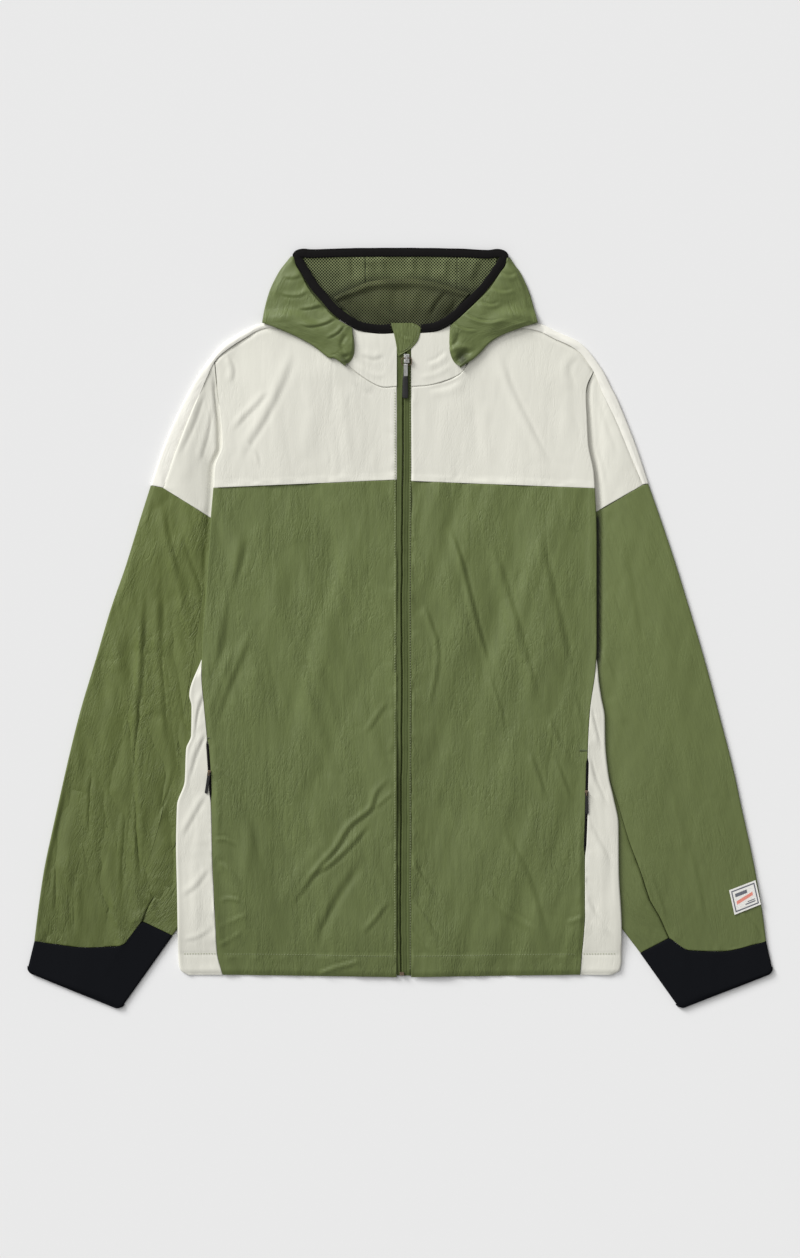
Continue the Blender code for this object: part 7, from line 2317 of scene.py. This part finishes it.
        # painted shade: darker just behind the neck's rolled ridge, and towards both sides below the brow
        ridge = curve(x, listed(RIDGE, "x"), listed(RIDGE, "y"))
        tone = 1.0 - 0.55 * bell(np.maximum(y - ridge, 0.0), 7.0) * ease((np.abs(x) + 20.0) / 60.0)
        tone = tone * (1.0 - 0.30 * ease((np.abs(x - 3.0) - 44.0) / 34.0) * ease((402.0 - y) / 12.0))
        flat = lifted(plan, flat_z)
        sewn(full, grid, NETTING, uv=plan_map(grid), thick=0.6, flat=flat, tone=tone)

    def neck(self) -> None:
        """The mesh inside the back of the neck, which stands up in a roll behind the zip."""
        names = ("x", "y", "high", "end_x", "end_y")
        found = smooth_at(columns_of(RIDGE, *names), edged(175.0, self.cell))
        rim, ends, high = found[:, :2], found[:, 3:5], found[:, 2]
        rim[:, 1] += 1.3 * noise(rim[:, 0] / 17.0, np.zeros(len(rim)) + 0.5, 199)
        low = np.full(len(rim), LINING_LEVEL + CLEAR)
        inward = unit(ends - rim)
        start = rim + inward * ((high - low) / 2.0)[:, None]
        share = edged(52.0, self.cell, first=False)[1:]
        plan = lines(start, ends, share)
        x, y = plan[..., 0], plan[..., 1]
        rise = high[:, None] + np.interp(share, (0.0, 0.35, 0.7, 1.0), (0.0, 0.7, 0.3, -0.5))[None]
        band = 0.9 * bell(share - 0.03, 0.05) - 0.8 * bell(share - 0.15, 0.05)
        over = lifted(plan, rise + band[None] + NECK_RELIEF.at(x, y) * ease(share / 0.2)[None])
        grid = folded(rim, inward, low, high, None, over)
        flat = folded(rim, inward, low, high, None, lifted(plan, rise))
        down = np.concatenate([np.zeros(FOLD_COLUMNS), share])[None]
        # painted highlight along the roll's top edge, broken by noise, and a lighter band further in, over a
        # darker base; painted shade towards both ends
        broken = 0.6 + 0.5 * noise(grid[..., 0] / 13.0, grid[..., 1] / 20.0, 198)
        tone = 0.72 + 0.8 * broken * bell(down - 0.02, 0.05)
        tone = tone + 0.40 * bell(down - 0.3, 0.22)
        tone = tone * (1.0 - 0.3 * ease((np.abs(grid[..., 0] + 4.0) - 18.0) / 40.0))
        holes = plan_map(grid)
        sewn("neck_lining", grid, SHADED_NECK_NETTING, uv=holes, thick=0.6, flat=flat, tone=tone)

    def binding(self) -> None:
        """The black elastic: a flat band, folded over the edge and gathered a little.

        Its section is a rounded box, with a groove where it is stitched; the band narrows and
        swells along its length as the elastic pulls.
        """
        points = columns_of(BINDING, "x", "y", "z")
        right, left = self.corners
        points = np.concatenate([points[:8], right, points[10:17], left, points[19:]])
        path = smooth_line(points, self.binding_stations)
        along = unit(np.gradient(path, axis=0))
        across = unit(np.cross(along, (0.0, 0.0, 1.0)))
        run = lengths(path)
        gather = noise(run / 3.4, np.zeros_like(run) + 0.5, 201)
        wide = self.binding_form[0] * (1.0 + 0.05 * noise(run / 14.0, np.zeros_like(run) + 2.5, 202))
        turn = np.linspace(0.0, math.tau, 28, endpoint=False)
        u = np.sign(np.cos(turn)) * np.abs(np.cos(turn)) ** 0.55
        v = np.sign(np.sin(turn)) * np.abs(np.sin(turn)) ** 0.8
        groove = 0.35 * bell(u + 0.62, 0.14) * (v > 0.3)
        pulled = 0.16 * gather[:, None] * (1.0 - u**2)[None] - groove[None]
        swell = self.binding_form[1] * v[None] + pulled * (v > 0.1)[None]
        grid = path[:, None] + across[:, None] * (wide[:, None] * u[None])[..., None]
        grid = grid + np.array([0.0, 0.0, 1.0]) * swell[..., None]
        sewn("hood_binding", grid, TRIM, uv=weave_map(grid), ring=True, thick=0.5)

    def build(self) -> None:
        """The whole hood and the collar."""
        self.centre()
        right, left = listed(LINING, "right"), listed(LINING, "left")
        self.lining("centre", HOOD_SEAM_RIGHT + HALF_SEAM, HOOD_SEAM_LEFT - HALF_SEAM)
        self.lining("right", -right, HOOD_SEAM_RIGHT - HALF_SEAM)
        self.lining("left", HOOD_SEAM_LEFT + HALF_SEAM, left)
        self.neck()
        for side in Side:
            self.collar(side)
            self.side(side)
        self.binding()


# --- Stitches -------------------------------------------------------------------------------------


@dataclass(frozen=True)
class Stitching:
    """A row of stitches: their length and pitch, and how thick the thread is."""

    length: float = 2.5
    pitch: float = 3.3
    half_width: float = 0.36
    rise: float = 0.30

    def grain(self) -> tuple[Array, Array]:
        """One stitch along X: a low ridge of three rings that narrows to its ends."""
        along = np.array([-0.5, -0.36, 0.0, 0.36, 0.5]) * self.length
        size = np.array([0.25, 0.85, 1.0, 0.85, 0.25])
        turn = np.linspace(0.0, math.pi, 5)
        y = np.cos(turn)[None] * self.half_width * size[:, None]
        z = np.sin(turn)[None] * self.rise * size[:, None] - 0.25 * (1.0 - size[:, None])
        points = np.stack([np.broadcast_to(along[:, None], y.shape), y, z], axis=-1)
        r, c = np.meshgrid(np.arange(4), np.arange(4), indexing="ij")
        corner = np.stack([r, r + 1, r + 1, r], axis=-1) * 5 + np.stack([c, c, c + 1, c + 1], axis=-1)
        return points.reshape(-1, 3), corner.reshape(-1, 4)

    def sew(self, name: str, path: Array, finish: Finish) -> bpy.types.Object:
        """Lay stitches along a line of points in space.

        Args:
            name: what the row is called.
            path: points of the line, on the cloth.
            finish: the thread.
        """
        count = int(lengths(path)[-1] // self.pitch)
        at = (np.arange(count) + 0.5) * self.pitch
        ends = [run_along(path, at + s * self.length / 2.0) for s in (-1.0, 1.0)]
        ahead = unit(ends[1] - ends[0])
        wobble = 0.04 * noise(at / 9.0, np.zeros_like(at) + 1.5, 211)
        beside = unit(np.cross((0.0, 0.0, 1.0), ahead))
        above = np.cross(ahead, beside)
        grain, faces = self.grain()
        middle = (ends[0] + ends[1]) / 2.0 + beside * wobble[:, None]
        points = middle[:, None] + grain[None, :, :1] * ahead[:, None]
        points = points + grain[None, :, 1:2] * beside[:, None] + grain[None, :, 2:] * above[:, None]
        shift = (np.arange(count) * len(grain))[:, None, None]
        quads = (faces[None] + shift).reshape(-1, 4)
        piece = add_piece(name, points.reshape(-1, 3) * METRE, quads, None, finish)
        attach(piece, "root")
        log.info("%s: %d stitches", name, count)
        return piece

    def bar(self, name: str, start: Point, end: Point, level: Callable, finish: Finish) -> None:
        """A bar tack: threads packed side by side across a short line."""
        count = 9
        line = lines(np.array([start]), np.array([end]), np.linspace(0.0, 1.0, count))[0]
        run = unit(np.array(end) - np.array(start))
        beside = np.array([-run[1], run[0]])
        zig = np.stack([line - beside * 1.1, line + beside * 1.1], axis=1).reshape(-1, 2)
        z = level(zig[:, 0], zig[:, 1])
        dense = resample(np.concatenate([zig, z[:, None]], axis=-1), 60)
        packed = Stitching(length=2.2, pitch=1.1, half_width=0.45, rise=0.42)
        packed.sew(name, dense, finish)


# --- Front zip ------------------------------------------------------------------------------------


@dataclass
class FrontZip:
    """The reverse coil zip: its tapes, the flap over its top, its stitches and its hardware."""

    cell: float = CELL
    wander: float = 0.75  # how far the slit wavers
    lip: float = 0.55  # how high the tapes' folded edges stand beside the slit
    groove: float = 2.0
    columns: tuple = (
        0, 0.07, 0.16, 0.26, 0.33, 0.38, 0.43, 0.48, 0.55, 0.65, 0.75, 0.83, 0.89, 0.94, 0.975, 1
    )
    silver: tuple = ("zip_slider", "zip_pull_link")
    bronze: tuple = ("zip_pull_ring", "zip_stop")
    black: tuple = ("zip_pull_grip",)

    def slit(self, y: Array) -> Array:
        """Where the two tapes meet, with a small waver below the slider."""
        line = curve(y, listed(ZIP, "y"), listed(ZIP, "slit"))
        fine = noise(y / 11.0, np.zeros_like(y) + 4.5, 221)
        slow = noise(y / 46.0, np.zeros_like(y) + 8.5, 222)
        return line + self.wander * (0.45 * fine + slow) * ease((255.0 - y) / 20.0)

    def tape_wave(self, x: Array, y: Array) -> Array:
        """The small waves of a tape that is sewn to softer cloth."""
        return 0.25 * noise(y / 9.0, x / 9.0, 223) + 0.3 * noise(y / 24.0, x / 9.0, 224)

    def tape(self, side: Side) -> None:
        """Half of the zip, from the front's edge to the slit."""
        levels = ZIP[0].y + (ZIP[-1].y - ZIP[0].y) * edged(699.0, self.cell)
        edge = ZIP_RIGHT if side is Side.RIGHT else ZIP_LEFT
        outer = np.stack([np.full(len(levels), edge), levels], axis=-1)
        inner = np.stack([self.slit(levels) + side.sign * HALF_SEAM, levels], axis=-1)
        plan = lines(outer, inner, np.array(self.columns))
        x, y = plan[..., 0], plan[..., 1]
        gap = np.abs(x - inner[:, None, 0])
        bead = self.lip * bell(gap - 1.5, 0.9) - self.groove * bell(gap, 0.7)
        if side is Side.LEFT:  # the front's folded edge covers the outer part of this tape
            bead = bead + 0.75 * ease((gap - 6.6) / 1.2) - 0.55 * bell(gap - 6.4, 0.5)
        coil = 0.10 * np.sin(y * math.tau / 1.9) * bell(gap - 1.0, 0.8)
        wave = self.tape_wave(x, y)
        stitch = 0.4 * bell(x - ZIP_STITCH_LEFT, 0.9)
        flat_z = front_top(x, y) - TAPE_DROP
        open_end = 1.2 * ease((HEM_Y + 3.0 - y) / 3.0)
        grid = lifted(plan, flat_z + (bead + coil + wave - stitch) * ease((y + 381.0) / 3.0) - open_end)
        grid[:, 0, 2] -= 0.35
        name = f"zip_tape_{side.value}"
        flat = lifted(plan, flat_z)
        sewn(name, grid, TAPE, uv=plan_map(grid), thick=0.7, flat=flat)

    def garage(self) -> None:
        """The green flap over the top of the zip, stitched round its curved edge."""
        table = np.array(GARAGE)
        up = edged(38.0, 1.1)
        found = smooth_at(table[:, [1, 0, 2]], up)
        right, left = found[:, :2], found[:, [2, 1]]
        across = edged(26.0, 1.1)
        plan = lines(right, left, across)
        x, y = plan[..., 0], plan[..., 1]
        flat_z = front_top(x, np.minimum(y, GARAGE_LEVEL)) + CLEAR + 1.1
        wide = np.maximum(left[:, 0] - right[:, 0], 0.1)
        inset = np.minimum(np.minimum(across, 1.0 - across)[None] * wide[:, None], 9.0)
        inset = np.minimum(inset, (y - 299.8) * 0.8)
        puff = 0.9 * ease(inset / 2.0) - 0.55 * bell(inset - 2.6, 0.8)
        relief = Relief(
            creases=(sharp(2, 0.5, (-4, 330), (4, 322), (14, 318)),),
            bands=0.3, crumple=0.14, seed=231,
        )
        grid = lifted(plan, flat_z - 0.6 + puff + relief.at(x, y) * ease(inset / 2.5))
        flat = lifted(plan, flat_z)
        sewn("zip_garage", grid, GREEN, uv=plan_map(grid), flat=flat)
        edge = smooth_at(table[:, [2, 0]], np.linspace(0.12, 0.97, 60))
        inward = unit(np.array([2.0, 320.0]) - edge)
        line = edge + inward * 2.6
        z = front_top(line[:, 0], np.minimum(line[:, 1], GARAGE_LEVEL)) + CLEAR + 0.85
        Stitching(1.9, 2.5, 0.28, 0.24).sew("garage_stitches", np.column_stack([line, z]), GREEN_THREAD)

    def topstitches(self) -> None:
        """The two rows of stitches beside the zip, one on the right front and one on the tape."""
        levels = np.linspace(300.0, HEM_Y + 4.0, 500)
        body = Body()
        for name, x, drop in (("right", ZIP_STITCH_RIGHT, 0.0), ("left", ZIP_STITCH_LEFT, TAPE_DROP)):
            run = levels[levels < (262.0 if name == "right" else 286.0)]
            along = np.full(len(run), x) + 0.25 * noise(run / 26.0, np.zeros_like(run) + 6.5, 225)
            z = front_top(along, run) - drop
            if name == "right":
                z = z + FRONT_RIGHT.at(along, run) * ease((150.0 - run) / 8.0) + body.zip_form(along, run)
            else:
                z = z + self.tape_wave(along, run) + 0.45
            path = np.column_stack([along, run, z])
            Stitching(1.8, 3.0, 0.42, 0.50).sew(f"zip_stitches_{name}", path, PALE_THREAD)

    def build(self) -> None:
        """The tapes, the flap, the stitches and the metal."""
        for side in Side:
            self.tape(side)
        self.garage()
        self.topstitches()
        for names, finish in ((self.silver, SILVER), (self.bronze, BRONZE), (self.black, BLACK)):
            for name in names:
                refinish(name, finish)


def refinish(name: str, finish: Finish) -> None:
    """Give a hard piece of the frame its finish."""
    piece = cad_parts[name]
    piece.data.materials.clear()
    piece.data.materials.append(finish.material())
    log.info("%s: %s", name, finish.name)


# --- Hem and pockets ------------------------------------------------------------------------------


@dataclass
class Pockets:
    """The side-seam pockets: their zips, bar tacks and hardware, and the stitches of the hem."""

    inset: float = 6.0  # from each end of the mouth to the coil
    sunk: float = 0.4  # how far the coil lies under the lips
    tack_half: float = 4.4
    tack_y: tuple = (-119.0, -133.0)

    def zip(self, side: Side) -> None:
        """The black coil in a pocket's mouth."""
        top, foot = POCKET_TOP - self.inset, POCKET_BOTTOM + self.inset
        levels = top + (foot - top) * np.linspace(0.0, 1.0, 110)
        middle = side.sign * body_line(side, "front", levels)
        half = POCKET_MOUTH - HALF_SEAM
        share = np.linspace(0.0, 1.0, 9)
        first = np.stack([middle - half, levels], axis=-1)
        last = np.stack([middle + half, levels], axis=-1)
        plan = lines(first, last, share)
        x, y = plan[..., 0], plan[..., 1]
        round_top = 0.35 * np.sin(share * math.pi)[None] + 0.12 * np.sin(y * math.tau / 1.6)
        shut = 1.0 - mouth(side, y) / POCKET_MOUTH
        flat_z = front_top(x, y) - self.sunk - 1.5 * shut
        grid = lifted(plan, flat_z + round_top)
        sewn(f"pocket_zip_{side.value}", grid, TRIM, uv=plan_map(grid), thick=0.8)

    def tack(self, side: Side) -> None:
        """The bar tack that closes the pocket's mouth at its top."""
        y = side.pick(*self.tack_y)
        x = side.sign * float(body_line(side, "front", np.array([y]))[0])
        relief = side.pick(FRONT_RIGHT, FRONT_LEFT)
        shift = side.sign * self.tack_half
        Stitching().bar(
            f"pocket_tack_{side.value}",
            (x - 2.0 * shift, y),
            (x - 0.15 * shift, y - 0.6),
            lambda px, py: front_top(px, py) + np.maximum(relief.at(px, py), 0.0) * 0.6 + 0.1,
            TACK_THREAD,
        )

    def hem_stitches(self, side: Side) -> None:
        """The stitches of the hem, across the front and on round the side panel."""
        relief = side.pick(FRONT_RIGHT, FRONT_LEFT)
        beside = side.pick(PANEL_RIGHT_RELIEF, PANEL_LEFT_RELIEF)
        seam = float(body_line(side, "front", np.array([HEM_STITCH_Y]))[0])
        for near, far, name, cloth in (
            (side.pick(8.0, 14.0), seam - 0.8, "hem_stitches", relief),
            (seam + 1.2, 239.5, "panel_stitches", beside),
        ):
            x = side.sign * np.linspace(near, far, 420)
            waver = 0.3 * noise(x / 30.0, np.zeros_like(x) + 2.5, 226)
            y = HEM_STITCH_Y + (hem_level(x) - HEM_Y) * 0.9 + waver
            form = Body().hem_form(x, y) if cloth is relief else -0.35
            path = np.column_stack([x, y, front_top(x, y) + cloth.at(x, y) + form + 0.05])
            Stitching(1.8, 3.0, 0.40, 0.45).sew(f"{name}_{side.value}", path, GREEN_THREAD)

    def build(self) -> None:
        """Both pockets and the hem's stitches."""
        for side in Side:
            self.zip(side)
            self.tack(side)
            self.hem_stitches(side)
            refinish(f"pocket_slider_{side.value}", BRONZE)
            refinish(f"pocket_pull_{side.value}", BLACK)


# --- Studio ---------------------------------------------------------------------------------------


@dataclass
class Studio:
    """A pale floor, a soft light from the upper left and a camera straight above."""

    floor_tone: tuple = (0.80, 0.80, 0.80)
    floor_half: float = 3.0
    ambient: float = 0.35
    lamps: tuple = (  # name, energy, width in degrees, and where it points
        ("window", 3.0, 24.0, (0.62, -0.66, -0.42)),
        ("ceiling", 1.0, 40.0, (0.50, -0.45, -1.0)),
    )
    lens: float = 100.0
    sensor: float = 36.0
    view_height: float = 1.3838

    def floor(self) -> None:
        """The surface that the garment lies on."""
        finish = Hard("pale floor", "off_white_nylon", self.floor_tone, 0.9, spread=0.004, relief=0.000004)
        half = self.floor_half
        points = np.array([(-half, -half, 0.0), (half, -half, 0.0), (half, half, 0.0), (-half, half, 0.0)])
        ground = add_piece("floor", points, np.array([[0, 1, 2, 3]]), None, finish)
        ground.location.z = -0.00005

    def light(self) -> None:
        """Even light from the whole room, and soft lamps from the upper left, one low and one high."""
        world = bpy.data.worlds.new("room")
        bpy.context.scene.world = world
        world.use_nodes = True
        world.node_tree.nodes["Background"].inputs["Color"].default_value = (1.0, 1.0, 1.0, 1.0)
        world.node_tree.nodes["Background"].inputs["Strength"].default_value = self.ambient
        for name, energy, width, toward in self.lamps:
            lamp = bpy.data.lights.new(name, "SUN")
            lamp.energy = energy
            lamp.angle = math.radians(width)
            sun = bpy.data.objects.new(name, lamp)
            sun.rotation_mode = "QUATERNION"
            sun.rotation_quaternion = Vector(toward).to_track_quat("-Z", "Y")
            bpy.context.scene.collection.objects.link(sun)

    def camera(self) -> None:
        """A long lens straight above the middle of the garment."""
        made = bpy.data.cameras.new("above")
        made.lens = self.lens
        made.sensor_fit = "VERTICAL"
        made.sensor_height = self.sensor
        made.dof.use_dof = False
        camera = bpy.data.objects.new("above", made)
        camera.location = (0.0, 0.0, self.view_height * self.lens / self.sensor)
        bpy.context.scene.collection.objects.link(camera)
        bpy.context.scene.camera = camera

    def build(self) -> None:
        """The floor, the lights, the camera and a plain view transform."""
        self.floor()
        self.light()
        self.camera()
        bpy.context.scene.view_settings.view_transform = "Standard"


# --- The whole scene ------------------------------------------------------------------------------


def main() -> None:
    """Build every piece of the garment, then the room round it."""
    logging.basicConfig(level=logging.INFO, format="%(name)s %(message)s")
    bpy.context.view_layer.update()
    Body().build()
    Sleeves().build()
    Hood().build()
    FrontZip().build()
    Pockets().build()
    Studio().build()


if __name__ == "__main__":
    main()
